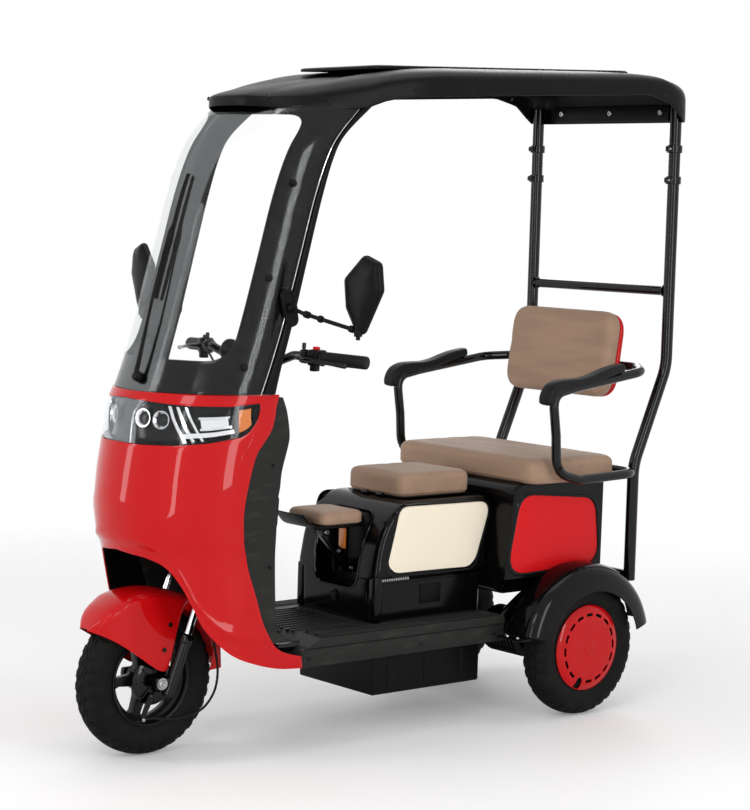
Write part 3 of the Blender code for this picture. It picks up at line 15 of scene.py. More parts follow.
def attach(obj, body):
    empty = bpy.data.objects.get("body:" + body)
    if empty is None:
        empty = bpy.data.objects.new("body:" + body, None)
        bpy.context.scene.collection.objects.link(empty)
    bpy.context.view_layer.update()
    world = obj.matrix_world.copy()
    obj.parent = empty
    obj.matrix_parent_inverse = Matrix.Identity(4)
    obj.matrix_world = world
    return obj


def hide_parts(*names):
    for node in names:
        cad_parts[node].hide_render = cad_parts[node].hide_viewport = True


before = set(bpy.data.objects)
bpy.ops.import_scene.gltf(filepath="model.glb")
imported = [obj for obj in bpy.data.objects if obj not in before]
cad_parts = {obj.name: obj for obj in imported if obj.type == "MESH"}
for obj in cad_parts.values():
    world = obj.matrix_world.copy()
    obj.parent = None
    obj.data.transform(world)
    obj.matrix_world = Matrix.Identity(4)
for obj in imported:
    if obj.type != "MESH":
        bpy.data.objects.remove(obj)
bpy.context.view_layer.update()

bl_info = {
    "name": "Electric passenger tricycle",
    "version": (1, 0, 0),
    "blender": (4, 5, 0),
    "location": "View3D > Sidebar > Tricycle",
    "description": "Builds the finishes and fine pieces of an electric tricycle around its frame",
    "category": "Add Mesh",
}

SIDES = (("left", 1), ("right", -1))


# Shader maths
class Value:
    """A socket with arithmetic: an expression on values adds its Math nodes."""

    def __init__(self, finish, socket):
        self.finish = finish
        self.socket = socket

    def maths(self, operation, first, second):
        return self.finish.node("ShaderNodeMath", {"operation": operation}, {0: first, 1: second})

    def __add__(self, other):
        return self.maths("ADD", self, other)

    def __radd__(self, other):
        return self.maths("ADD", other, self)

    def __mul__(self, other):
        return self.maths("MULTIPLY", self, other)

    def __rmul__(self, other):
        return self.maths("MULTIPLY", other, self)


class Finish:
    """A material in the making, around one Principled shader."""

    def __init__(self, name, **plain):
        self.material = bpy.data.materials.new(name)
        self.material.use_nodes = True
        self.tree = self.material.node_tree
        self.shader = self.tree.nodes["Principled BSDF"]
        self.set(**plain)

    def set(self, **sockets):
        """Puts values or links on the shader's sockets: Base_Color stands for Base Color."""
        for key, value in sockets.items():
            self.put(self.shader.inputs[key.replace("_", " ")], value)
        return self

    def put(self, socket, value):
        if isinstance(value, Value):
            self.tree.links.new(value.socket, socket)
        elif socket.type == "RGBA":
            socket.default_value = (*value[:3], 1.0)
        else:
            socket.default_value = value

    def node(self, kind, settings=None, inputs=None, output=0):
        """Adds a node of a type: its settings first, then its sockets."""
        made = self.tree.nodes.new(kind)
        for key, value in (settings or {}).items():
            setattr(made, key, value)
        for key, value in (inputs or {}).items():
            self.put(made.inputs[key], value)
        return Value(self, made.outputs[output])

    def place(self, stretch=(1, 1, 1)):
        """The point on the object, scaled by a stretch along each axis."""
        spot = self.node("ShaderNodeTexCoord", output="Object")
        return self.node("ShaderNodeMapping", {}, {"Vector": spot, "Scale": stretch})

    def noise(self, scale, detail=3.0, stretch=(1, 1, 1)):
        return self.node("ShaderNodeTexNoise", {}, {"Vector": self.place(stretch), "Scale": scale,
                                                    "Detail": detail}, "Fac")

    def cells(self, scale, feature="F1", stretch=(1, 1, 1)):
        return self.node("ShaderNodeTexVoronoi", {"feature": feature},
                         {"Vector": self.place(stretch), "Scale": scale}, "Distance")

    def step(self, value, low, high):
        """0 below low, 1 above high and a smooth rise between them."""
        return self.node("ShaderNodeMapRange", {"interpolation_type": "SMOOTHSTEP"},
                         {"Value": value, "From Min": low, "From Max": high})

    def mix(self, factor, first, second):
        return self.node("ShaderNodeMix", {"data_type": "RGBA"}, {0: factor, 6: first, 7: second}, 2)

    def height(self):
        spot = self.node("ShaderNodeTexCoord", output="Object")
        return self.node("ShaderNodeSeparateXYZ", {}, {0: spot}, "Z")

    def bump(self, height, depth, strength=1.0):
        """Raises the surface by a height pattern times a depth in metres."""
        return self.node("ShaderNodeBump", {}, {"Height": height, "Distance": depth,
                                                "Strength": strength})


def paint():
    return bpy.context.scene.tricycle_paint


def red_paint():
    """Gloss paint: fine flake, a clear coat with slight orange peel, and road dust low down."""
    made = Finish("red_paint", Coat_Weight=1.0, Coat_Roughness=0.02, Coat_IOR=1.28, Specular_IOR_Level=0.06)
    red = tuple(paint().red)
    flake = made.step(made.noise(1500.0, 1.0), 0.60, 0.74)
    dust = made.step(made.noise(34.0, 6.0), 0.52, 0.78) * made.step(made.height(), 0.42, 0.20)
    bright = tuple(min(1.0, c * 1.5 + 0.010) for c in red)
    made.set(Base_Color=made.mix(dust * 0.06, made.mix(flake * 0.45, red, bright), (0.20, 0.12, 0.09)))
    made.set(Roughness=0.34 + 0.08 * made.noise(9.0) + dust * 0.2)
    return made.set(Normal=made.bump(made.noise(150.0, 1.0), 0.0004, 0.06))


def panel(name, colour, dark):
    """Smooth moulded panel: faint mottling, fine scuffs and a softer shine than the paint."""
    made = Finish(name, Coat_Weight=0.2, Coat_Roughness=0.12, Coat_IOR=1.3, Specular_IOR_Level=0.12)
    scuff = made.step(made.noise(60.0, 8.0, (1, 6, 1)), 0.66, 0.74)
    made.set(Base_Color=made.mix(made.noise(7.0) * 0.10 + scuff * 0.12, colour, dark))
    made.set(Roughness=0.36 + scuff * 0.14)
    return made.set(Normal=made.bump(made.noise(220.0, 2.0), 0.0003, 0.05))


def black(name, colour, roughness, grain, depth, shine=0.12, smudge=0.10):
    """Black moulding or enamel: grain of a given scale and depth, smudges and pale dust in places."""
    made = Finish(name, Specular_IOR_Level=shine)
    dust = made.step(made.noise(26.0, 7.0), 0.60, 0.80)
    pale = tuple(c * 1.6 + 0.006 for c in colour)
    made.set(Base_Color=made.mix(dust * 0.5, colour, pale))
    made.set(Roughness=roughness + made.noise(14.0, 5.0) * smudge + dust * 0.06)
    return made.set(Normal=made.bump(made.noise(grain, 2.0), depth, 0.30))


def deck_plastic():
    """Coarse-grained floor moulding, scuffed paler by shoes."""
    made = Finish("deck_plastic", Specular_IOR_Level=0.14)
    scuff = made.step(made.noise(40.0, 9.0, (1, 0.3, 1)), 0.52, 0.70)
    base = made.mix(scuff * 0.5 + made.noise(5.0) * 0.2, tuple(paint().deck), (0.040, 0.039, 0.036))
    made.set(Base_Color=base)
    made.set(Roughness=0.42 + scuff * 0.18)
    return made.set(Normal=made.bump(made.cells(1100.0), 0.0005, 0.35))


def tyre_rubber():
    """Tyre rubber: matt, a little brown with dust on the tread, with fine moulding grain."""
    made = Finish("tyre_rubber", Specular_IOR_Level=0.10)
    dust = made.step(made.noise(30.0, 8.0), 0.42, 0.72)
    made.set(Base_Color=made.mix(dust * 0.40, (0.0045, 0.0045, 0.0045), (0.022, 0.020, 0.017)))
    made.set(Roughness=0.52 + dust * 0.22)
    return made.set(Normal=made.bump(made.noise(800.0, 3.0), 0.0004, 0.5))


def leather():
    """Imitation leather: pebble grain from cell edges, fine pores, and long soft colour streaks."""
    made = Finish("leather", Specular_IOR_Level=0.40, Sheen_Weight=0.12, Sheen_Roughness=0.5)
    tan = tuple(paint().leather)
    streak = made.step(made.noise(16.0, 5.0, (0.35, 1.6, 2.2)), 0.34, 0.68)
    shade = made.noise(5.0, 3.0)
    grain = made.cells(620.0, "DISTANCE_TO_EDGE")
    dark = tuple(c * 0.66 for c in tan)
    light = tuple(min(1.0, c * 1.22) for c in tan)
    base = made.mix(streak * 0.28 + shade * 0.22, light, dark)
    # Painted shade: the colour darkens along the pebble grain's creases, where the cell edges sink in.
    crease_shade = made.step(grain, 0.10, 0.0)
    made.set(Base_Color=made.mix(crease_shade * 0.35, base, tuple(c * 0.45 for c in tan)))
    made.set(Roughness=0.50 + shade * 0.16 + crease_shade * 0.1)
    relief = made.step(grain, 0.0, 0.25) + made.noise(1800.0, 2.0) * 0.3
    return made.set(Normal=made.bump(relief, 0.0006, 0.45))


def metal(name, colour, roughness, scratch=0.10):
    """Bright or dull bare metal with fine drawn scratches."""
    made = Finish(name, Metallic=1.0)
    lines = made.step(made.noise(420.0, 4.0, (1, 1, 0.05)), 0.55, 0.75)
    made.set(Base_Color=made.mix(made.noise(12.0) * 0.35, colour, tuple(c * 0.62 for c in colour)))
    made.set(Roughness=roughness + lines * scratch)
    return made.set(Normal=made.bump(lines, 0.0002, 0.15))


def clear(name, tint, facing, edge):
    """Clear plastic: a mirror of which little shows face on and more at a grazing angle, with faint haze."""
    made = Finish(name, Base_Color=tint, Metallic=1.0, Roughness=0.02)
    grazing = made.node("ShaderNodeFresnel", {}, {"IOR": 1.45}, "Fac")
    haze = made.step(made.noise(22.0, 6.0), 0.55, 0.85)
    made.set(Alpha=facing + grazing * grazing * edge + haze * 0.006)
    return made.set(Normal=made.bump(made.noise(3.0, 1.0), 0.002, 0.05))


def lens(name, colour, rib, glow=0.0, roughness=0.08):
    """Coloured lamp lens with moulded ribs across it."""
    made = Finish(name, Coat_Weight=1.0, Coat_Roughness=0.03)
    ribs = made.node("ShaderNodeTexWave", {"bands_direction": "Z"},
                     {"Vector": made.place(), "Scale": rib}, "Fac")
    made.set(Base_Color=made.mix(ribs * 0.5, colour, tuple(c * 0.55 for c in colour)))
    made.set(Roughness=roughness + ribs * 0.1)
    # The glow lights the lens from within. It suits the turn signals and light boxes, but the amber look also goes on
    # the jump seat's reflector, which is no lamp, where this glow is painted light.
    if glow:
        made.set(Emission_Color=colour, Emission_Strength=glow)
    return made.set(Normal=made.bump(ribs, 0.0012, 0.6))


LOOKS = {
    "red_paint": ("red_gloss", red_paint),
    "panel_red": ("panel_red", lambda: panel("panel_red", tuple(paint().panel_red), (0.42, 0.006, 0.008))),
    "panel_cream": ("panel_cream", lambda: panel("panel_cream", tuple(paint().cream), (0.80, 0.69, 0.52))),
    "gloss_black": ("gloss_black", lambda: black("gloss_black", (0.0022, 0.0022, 0.0025), 0.10, 90.0, 0.0001, 0.18, 0.06)),
    "satin_black": ("satin_black", lambda: black("satin_black", (0.0040, 0.0040, 0.0042), 0.30, 900.0, 0.0004, 0.10, 0.12)),
    "black_steel": ("black_steel", lambda: black("black_steel", (0.0020, 0.0020, 0.0023), 0.10, 60.0, 0.0001, 0.30, 0.05)),
    "rim_black": ("rim_black", lambda: black("rim_black", (0.0060, 0.0060, 0.0064), 0.26, 500.0, 0.0003, 0.20, 0.10)),
    "deck_plastic": ("deck_grey", deck_plastic),
    "tyre_rubber": ("tyre_black", tyre_rubber),
    "grip_rubber": ("grip_rubber", lambda: black("grip_rubber", (0.0070, 0.0070, 0.0070), 0.45, 700.0, 0.0006, 0.16, 0.10)),
    "leather": ("tan_leather", leather),
    "clear_sheet": ("clear_sheet", lambda: clear("clear_sheet", (0.86, 0.90, 0.92), 0.006, 0.16)),
    "lamp_clear": ("clear_sheet", lambda: clear("lamp_clear", (0.90, 0.94, 0.98), 0.010, 0.24)),
    "chrome": ("black_steel", lambda: metal("chrome", (0.80, 0.81, 0.83), 0.07, 0.08)),
    "steel": ("black_steel", lambda: metal("steel", (0.46, 0.46, 0.47), 0.28)),
    "amber": ("lamp_red", lambda: lens("amber", (0.85, 0.22, 0.010), 130.0, 0.10)),
    "lamp_red": ("lamp_red", lambda: lens("lamp_red", (0.45, 0.010, 0.010), 110.0)),
    "white_lens": ("clear_sheet", lambda: lens("white_lens", (0.86, 0.88, 0.90), 90.0, 0.15, 0.15)),
    "mirror_glass": ("clear_sheet", lambda: metal("mirror_glass", (0.82, 0.85, 0.88), 0.02, 0.02)),
    "button_red": ("panel_red", lambda: panel("button_red", (0.70, 0.012, 0.010), (0.40, 0.006, 0.006))),
}
made_looks = {}


def look(name):
    if name not in made_looks:
        made_looks[name] = LOOKS[name][1]().material
    return made_looks[name]


# Shapes
def along(points, steps, closed=False):
    """Catmull-Rom curve through points: in each span a cubic whose ends lean along the neighbours' chord."""
    points = np.asarray(points, float)
    if closed:
        padded = np.concatenate([points[-1:], points, points[:2]])
    else:
        padded = np.concatenate([2 * points[:1] - points[1:2], points, 2 * points[-1:] - points[-2:-1]])
    a, b, c, d = (padded[k:len(padded) - 3 + k, None] for k in range(4))
    t = np.linspace(0, 1, steps, endpoint=False)[None, :, None]
    spans = 0.5 * (2 * b + (c - a) * t + (2 * a - 5 * b + 4 * c - d) * t ** 2
                   + (3 * b - a - 3 * c + d) * t ** 3)
    curve = spans.reshape(-1, points.shape[1])
    return curve if closed else np.concatenate([curve, points[-1:]])


def refine(grid, row_steps, column_steps, closed=False):
    """A grid with Catmull-Rom points put between its rows and between its columns."""
    grid = np.asarray(grid, float)
    count, depth = grid.shape[1], grid.shape[2]
    grid = along(grid.reshape(len(grid), -1), row_steps).reshape(-1, count, depth)
    turned_grid = grid.transpose(1, 0, 2)
    flat = along(turned_grid.reshape(count, -1), column_steps, closed)
    return flat.reshape(-1, len(grid), depth).transpose(1, 0, 2)


def unit(vectors):
    return vectors / np.linalg.norm(vectors, axis=-1, keepdims=True)


def filleted(points, radius, steps=8):
    """A polyline whose inner corners are parabolic arcs that start radius / tan(half the corner) away."""
    points = np.asarray(points, float)
    corner = points[1:-1]
    near, far = points[:-2] - corner, points[2:] - corner
    near_long, far_long = np.linalg.norm(near, axis=1), np.linalg.norm(far, axis=1)
    bend = np.arccos(np.clip((unit(near) * unit(far)).sum(1), -1, 1))
    reach = np.minimum(radius / np.tan(bend / 2), np.minimum(near_long, far_long) * 0.49)[:, None]
    start, end = corner + unit(near) * reach, corner + unit(far) * reach
    t = np.linspace(0, 1, steps + 1)[None, :, None]
    arcs = (1 - t) ** 2 * start[:, None] + 2 * t * (1 - t) * corner[:, None] + t ** 2 * end[:, None]
    return np.concatenate([points[:1], arcs.reshape(-1, points.shape[1]), points[-1:]])


def rounded_loop(corners, radius, steps=8):
    """A closed outline whose corners are parabolic arcs of about the given radius."""
    corners = np.asarray(corners, float)
    near, far = np.roll(corners, 1, 0) - corners, np.roll(corners, -1, 0) - corners
    bend = np.arccos(np.clip((unit(near) * unit(far)).sum(1), -1, 1))
    shortest = np.minimum(np.linalg.norm(near, axis=1), np.linalg.norm(far, axis=1))
    reach = np.minimum(radius / np.tan(bend / 2), shortest * 0.49)[:, None]
    start, end = corners + unit(near) * reach, corners + unit(far) * reach
    t = np.linspace(0, 1, steps + 1)[None, :, None]
    arcs = (1 - t) ** 2 * start[:, None] + 2 * t * (1 - t) * corners[:, None] + t ** 2 * end[:, None]
    return arcs.reshape(-1, corners.shape[1])


def even(path, count, closed=False):
    """Points at even steps of length along a path."""
    path = np.asarray(path, float)
    if closed:
        path = np.concatenate([path, path[:1]])
    length = np.concatenate([[0], np.cumsum(np.linalg.norm(np.diff(path, axis=0), axis=1))])
    spots = np.linspace(0, length[-1], count, endpoint=not closed)
    return np.stack([np.interp(spots, length, path[:, k]) for k in range(path.shape[1])], -1)


def mirrored(points, sign):
    """The points on the left side for sign 1, or their mirror image for sign -1."""
    return np.asarray(points, float) * (sign, 1, 1)


def turn_about(axis, degrees):
    """A rotation matrix about a coordinate axis, for row vectors."""
    a, b = {"X": (1, 2), "Y": (2, 0), "Z": (0, 1)}[axis]
    made = np.eye(3)
    c, s = math.cos(math.radians(degrees)), math.sin(math.radians(degrees))
    made[a, a], made[a, b], made[b, a], made[b, b] = c, s, -s, c
    return made


class Patch:
    """A grid of points, the sides on which it closes on itself, cells left out and end caps."""

    def __init__(self, points, around=False, keep=None, caps=False):
        self.points = np.asarray(points, float)
        self.around, self.keep, self.caps = around, keep, caps

    def faces(self, start):
        rows, columns = self.points.shape[:2]
        i, j = np.meshgrid(np.arange(rows - 1), np.arange(columns if self.around else columns - 1),
                           indexing="ij")
        step = (j + 1) % columns
        quads = np.stack([i * columns + j, i * columns + step, (i + 1) * columns + step,
                          (i + 1) * columns + j], -1)
        quads = quads[self.keep] if self.keep is not None else quads.reshape(-1, 4)
        made = (quads + start).tolist()
        if self.caps:
            ring = np.arange(columns)
            made += [(ring[::-1] + start).tolist(), (ring + start + (rows - 1) * columns).tolist()]
        return made

    def moved(self, offset):
        return Patch(self.points + np.asarray(offset), self.around, self.keep, self.caps)

    def flipped(self, sign):
        return Patch(mirrored(self.points, sign), self.around, self.keep, self.caps)

    def turned(self, matrix, about=(0, 0, 0)):
        about = np.asarray(about, float)
        return Patch((self.points - about) @ matrix + about, self.around, self.keep, self.caps)


def mesh_of(name, patches, inside=None):
    """One mesh from patches, doubles merged and faces turned outward, or away from a point inside."""
    points, faces = [], []
    count = 0
    for patch in patches:
        faces += patch.faces(count)
        points.append(patch.points.reshape(-1, 3))
        count += len(points[-1])
    mesh = bpy.data.meshes.new(name)
    mesh.from_pydata(np.concatenate(points), [], faces)
    bm = bmesh.new()
    bm.from_mesh(mesh)
    bmesh.ops.remove_doubles(bm, verts=bm.verts, dist=0.00001)
    bmesh.ops.dissolve_degenerate(bm, edges=bm.edges, dist=0.000001)
    bmesh.ops.recalc_face_normals(bm, faces=bm.faces)
    bm.to_mesh(mesh)
    bm.free()
    if inside is not None and facing(mesh, inside) < 0:
        mesh.flip_normals()
    return mesh


def facing(mesh, inside):
    """Sum over the faces of area times the outward part of the normal, seen from a point."""
    count = len(mesh.polygons)
    middle, normal, area = np.empty(count * 3), np.empty(count * 3), np.empty(count)
    mesh.polygons.foreach_get("center", middle)
    mesh.polygons.foreach_get("normal", normal)
    mesh.polygons.foreach_get("area", area)
    away = (middle.reshape(-1, 3) - np.asarray(inside)) * normal.reshape(-1, 3)
    return float((away.sum(1) * area).sum())


def settle(made, sharp):
    """Applies an object's modifiers and marks its edges over an angle as sharp."""
    graph = bpy.context.evaluated_depsgraph_get()
    mesh = bpy.data.meshes.new_from_object(made.evaluated_get(graph))
    made.modifiers.clear()
    mesh.name = made.name
    made.data = mesh
    mesh.shade_smooth()
    mesh.set_sharp_from_angle(angle=math.radians(sharp))
    return made


def piece(name, patches, finish, body, replaces=(), wall=0.0, inside=None, sharp=38.0, bevel=0.0,
          bevel_above=40.0):
    """Makes a shown piece: its mesh, wall and rounded edges, its finish, body and the nodes it replaces."""
    patches = patches if isinstance(patches, list) else [patches]
    made = bpy.data.objects.new(name, mesh_of(name, patches, inside))
    bpy.context.scene.collection.objects.link(made)
    if wall:
        thick = made.modifiers.new("wall", "SOLIDIFY")
        thick.thickness = wall
        thick.offset = -1.0
        thick.use_quality_normals = True
    if bevel:
        edge = made.modifiers.new("edge", "BEVEL")
        edge.width = bevel
        edge.segments = 2
        edge.limit_method = "ANGLE"
        edge.angle_limit = math.radians(bevel_above)
    made.data.materials.append(look(finish))
    settle(made, sharp)
    return carry(made, body, replaces)


def carry(made, body, replaces=()):
    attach(made, body)
    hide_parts(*replaces)
    return made


def dress(node, finish):
    """Gives a CAD node that stays a better material."""
    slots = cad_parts[node].data.materials
    slots.clear()
    slots.append(look(finish))


def tube(path, radius, sides=20, edge=0.0):
    """A circle carried along a path: point + r (cos a S + sin a U), S and U across the path; ends closed.

    The radius may vary along the path. S is square to the direction in which the path is flattest.
    """
    path = np.asarray(path, float)
    radius = np.broadcast_to(np.asarray(radius, float), (len(path),)).copy()
    ahead = unit(np.gradient(path, axis=0))
    flattest = np.linalg.svd(path - path.mean(0), full_matrices=True)[2][2]
    side = unit(np.cross(ahead, flattest))
    up = np.cross(side, ahead)
    a = np.linspace(0, 2 * np.pi, sides, endpoint=False)[None, :, None]
    if edge:
        path = np.concatenate([path[:1], path[:1] + ahead[:1] * edge, path[1:-1],
                               path[-1:] - ahead[-1:] * edge, path[-1:]])
        side, up = (np.concatenate([k[:1], k, k[-1:]]) for k in (side, up))
        radius = np.concatenate([radius[:1] - edge, radius, radius[-1:] - edge])
    rows = path[:, None] + radius[:, None, None] * (np.cos(a) * side[:, None] + np.sin(a) * up[:, None])
    ends = [np.repeat(path[k:k + 1, None], sides, 1) for k in (0, len(path) - 1)]
    return Patch(np.concatenate([ends[0], rows, ends[1]]), around=True)


def turned(profile, place, axis, sides=32):
    """A profile of (radius, height) turned about an axis: place + h A + r (cos a S + sin a U)."""
    profile = np.asarray(profile, float)
    axis = unit(np.asarray(axis, float))
    side = unit(np.cross(axis, (0.0, 1.0, 0.0) if abs(axis[1]) < 0.9 else (1.0, 0.0, 0.0)))
    up = np.cross(axis, side)
    a = np.linspace(0, 2 * np.pi, sides, endpoint=False)[None, :, None]
    across = np.cos(a) * side + np.sin(a) * up
    rows = np.asarray(place, float) + profile[:, None, 1:] * axis + profile[:, None, :1] * across
    return Patch(rows, around=True)


def bolt(place, axis, radius=0.005, head=0.003, sides=18):
    """A low round head with a hexagon socket's rim, from a turned profile."""
    profile = [(0, head * 0.35), (radius * 0.45, head * 0.35), (radius * 0.50, head), (radius * 0.86, head),
               (radius, head * 0.6), (radius, -head), (0, -head)]
    return turned(profile, place, axis, sides)


def slab(outline, low, high, axis="X"):
    """A flat outline of (u, v) points carried from low to high along an axis, with end caps."""
    outline = np.asarray(outline, float)
    order = {"X": (2, 0, 1), "Y": (0, 2, 1), "Z": (0, 1, 2)}[axis]
    rows = [np.column_stack([outline, np.full(len(outline), k)])[:, order] for k in (low, high)]
    return Patch(np.stack(rows), around=True, caps=True)


def brick(low, high, radius=0.003, steps=3):
    """A box with round edges: the box shrunk by the radius, plus the radius along a sphere's normals."""
    low, high = np.minimum(low, high), np.maximum(low, high)
    half, middle = (high - low) / 2, (high + low) / 2
    radius = min(radius, float(half.min()) * 0.999)
    quarter = np.linspace(0, np.pi / 2, steps + 1)
    tilt = np.concatenate([quarter - np.pi / 2, quarter])
    tilt_side = np.repeat([-1.0, 1.0], steps + 1)
    spin = np.concatenate([quarter + k * np.pi / 2 for k in range(4)])
    spin_x = np.repeat([1.0, -1.0, -1.0, 1.0], steps + 1)
    spin_y = np.repeat([1.0, 1.0, -1.0, -1.0], steps + 1)
    tilt, spin = tilt[:, None], spin[None]
    normal = np.stack(np.broadcast_arrays(np.cos(tilt) * np.cos(spin), np.cos(tilt) * np.sin(spin),
                                          np.sin(tilt)), -1)
    corner = np.stack(np.broadcast_arrays(spin_x[None], spin_y[None], tilt_side[:, None]), -1)
    return Patch(middle + corner * (half - radius) + normal * radius, around=True, caps=True)


# Wheels
WHEEL_RADIUS = 0.183
BEAD_RADIUS = 0.1065
TYRE_HALF = 0.039
RIM_HALF = 0.034
FRONT_AXLE = (0.0, -0.680, WHEEL_RADIUS)
REAR_AXLE_Y = 0.537
REAR_WHEEL_X = 0.270
VALVE_TURN = 291.0


def wheel_grid(radius, across, angle, place):
    """Turned about X: place + (across, -r cos a, r sin a)."""
    x = np.broadcast_to(across, radius.shape)
    return np.stack([x, -radius * np.cos(angle), radius * np.sin(angle)], -1) + place


def tyre(name, place, body, node):
    """A round section with wavy grooves around it and notches along both shoulders.

    Groove depth is depth times a smooth mask of the distance to a wave x0 + w sin(n a).
    """
    sizes = bpy.context.scene.tricycle_sizes
    side = [(BEAD_RADIUS, 0.0270), (0.1110, 0.0300), (0.1170, 0.0325), (0.1260, 0.0360), (0.1400, 0.0384),
            (0.1520, 0.0390), (0.1610, 0.0381), (0.1690, 0.0345), (0.1750, 0.0290)]
    crown = np.linspace(0.027, -0.027, 49)
    crown = np.column_stack([0.1830 - 0.0062 * (np.abs(crown) / 0.029) ** 2.2, crown])
    side = along(side, 3)[:-1]
    profile = np.concatenate([side, crown, side[::-1] * (1, -1)])
    angle = np.linspace(0, 2 * np.pi, 289)[None, :]
    radius, across = profile[:, :1], profile[:, 1:]
    wave = 0.0022 * np.sin(36 * angle)
    depth = np.zeros((len(profile), angle.shape[1]))
    for middle in (-0.0150, -0.0052, 0.0052, 0.0150):
        gap = np.abs(across - middle - wave * (1 if middle > 0 else -1))
        depth = np.maximum(depth, np.clip((0.0022 - gap) / 0.0008, 0, 1))
    notch = np.clip((np.sin(36 * angle + 0.9 * np.sign(across)) - 0.45) * 4, 0, 1)
    notch = notch * np.clip((np.abs(across) - 0.0195) / 0.002, 0, 1) * np.clip((radius - 0.164) / 0.006, 0, 1)
    depth = np.maximum(depth * (np.abs(across) < 0.021), notch) * sizes.tread_depth
    ridge = 0.0007 * np.exp(-((radius - 0.119) / 0.0012) ** 2) + 0.0006 * np.exp(-((radius - 0.156) / 0.001) ** 2)
    sideways = across + np.sign(across) * ridge
    points = wheel_grid(radius - depth, sideways, angle, place)
    closed = np.concatenate([points, points[:1]])
    return piece(name, Patch(closed), "tyre_rubber", body, [node], sharp=50)


def rim_grid(place, half=RIM_HALF):
    """The rim's closed section: bead seats, two lips and a drop centre, turned about X."""
    seat = BEAD_RADIUS - 0.0003
    section = [(seat, half - 0.0040), (seat + 0.0035, half - 0.0040), (seat + 0.0046, half - 0.0022),
               (seat + 0.0035, half), (seat - 0.0010, half - 0.0016), (seat - 0.0040, half - 0.0060),
               (seat - 0.0045, half - 0.0130), (0.092, half - 0.018), (0.090, 0.0)]
    section = section + [(r, -x) for r, x in reversed(section[:-1])] + [section[0]]
    section = np.array(section)
    angle = np.linspace(0, 2 * np.pi, 145)[None, :]
    return Patch(wheel_grid(section[:, :1] + 0 * angle, section[:, 1:], angle, place))


def front_rim():
    """Rim, hub and five tapered spokes."""
    place = np.array(FRONT_AXLE)
    hub = turned([(0.0095, 0.031), (0.030, 0.031), (0.034, 0.028), (0.034, -0.028), (0.030, -0.031),
                  (0.0095, -0.031), (0.0095, 0.031)], FRONT_AXLE, (1, 0, 0), 48)
    outline = filleted([(0.031, -0.019), (0.045, -0.013), (0.080, -0.010), (0.092, -0.016), (0.092, 0.016),
                        (0.080, 0.010), (0.045, 0.013), (0.031, 0.019)], 0.010, 4)
    spoke = slab(outline, -0.013, 0.013, "X")
    spokes = [spoke.turned(turn_about("X", 72 * k + 36)).moved(place) for k in range(5)]
    piece("front_rim_fine", [rim_grid(place), hub] + spokes, "rim_black", "front_wheel", ["front_rim"],
          bevel=0.0012, bevel_above=55)


def hubcap(side, sign):
    """Dished cover: height over the rim is a function of radius; its slots and valve notch are left out."""
    place = np.array((sign * (REAR_WHEEL_X + RIM_HALF + 0.0003), REAR_AXLE_Y, WHEEL_RADIUS))
    face = np.array([(0.0, 0.0118), (0.008, 0.0120), (0.0150, 0.0126), (0.0168, 0.0122), (0.0180, 0.0104),
                     (0.030, 0.0108), (0.048, 0.0112), (0.066, 0.0110), (0.078, 0.0106), (0.0820, 0.0104),
                     (0.0862, 0.0103), (0.0940, 0.0098), (0.0955, 0.0096), (0.099, 0.0088), (0.105, 0.0068),
                     (0.110, 0.0040), (0.1135, 0.0018), (0.1150, 0.0006)])
    steps, places = 384, 16
    pitch = 360 / places
    angle = np.linspace(0, 2 * np.pi, steps + 1)[None, :]
    radius = face[:, :1] + 0 * angle
    inner, outer = 10, 11
    end = np.abs((np.degrees(angle[0]) - VALVE_TURN + pitch / 2) % pitch - pitch / 2)
    round_off = np.clip((end - 5.5) / 2.0, 0, 1) ** 2 * 0.0022 * (end < 8)
    radius[inner] += round_off
    radius[outer] -= round_off
    keep = np.ones((len(face) - 1, steps), bool)
    middle = (np.arange(steps) + 0.5) * 360 / steps
    from_valve = np.abs(middle - VALVE_TURN)
    keep[inner] = np.abs((middle - VALVE_TURN + pitch / 2) % pitch - pitch / 2) > 7.5
    keep[inner, from_valve < pitch / 2] = True
    keep[10:16, from_valve < 5.8] = False
    keep[9:10, from_valve < 3.4] = False
    points = wheel_grid(radius, face[:, 1:] * sign, angle, place)
    piece(f"hubcap_{side}_fine", Patch(points, keep=keep), "red_paint", f"rear_wheel_{side}",
          [f"hubcap_{side}"], wall=0.0022, inside=place - (sign * 0.2, 0, 0), sharp=32, bevel=0.0004)
    dust = turned([(0.0, 0.0), (0.107, 0.0), (0.107, 0.0010), (0.0, 0.0010)],
                  place - np.array((sign * 0.0030, 0, 0)), (sign, 0, 0), 64)
    valve = math.radians(VALVE_TURN)
    foot = place + (-sign * 0.004, -0.101 * math.cos(valve), 0.101 * math.sin(valve))
    stem = turned([(0, 0.014), (0.0022, 0.014), (0.0028, 0.012), (0.0028, 0.004), (0.0045, 0.0), (0, 0)],
                  foot, (sign * 0.9, 0.12, 0.33), 16)
    piece(f"wheel_back_{side}", [dust, stem], "grip_rubber", f"rear_wheel_{side}")


def wheels():
    tyre("front_tyre_fine", np.array(FRONT_AXLE), "front_wheel", "front_tyre")
    front_rim()
    for side, sign in SIDES:
        place = np.array((sign * REAR_WHEEL_X, REAR_AXLE_Y, WHEEL_RADIUS))
        tyre(f"rear_tyre_{side}_fine", place, f"rear_wheel_{side}", f"rear_tyre_{side}")
        hubcap(side, sign)
        dress(f"rear_rim_{side}", "rim_black")


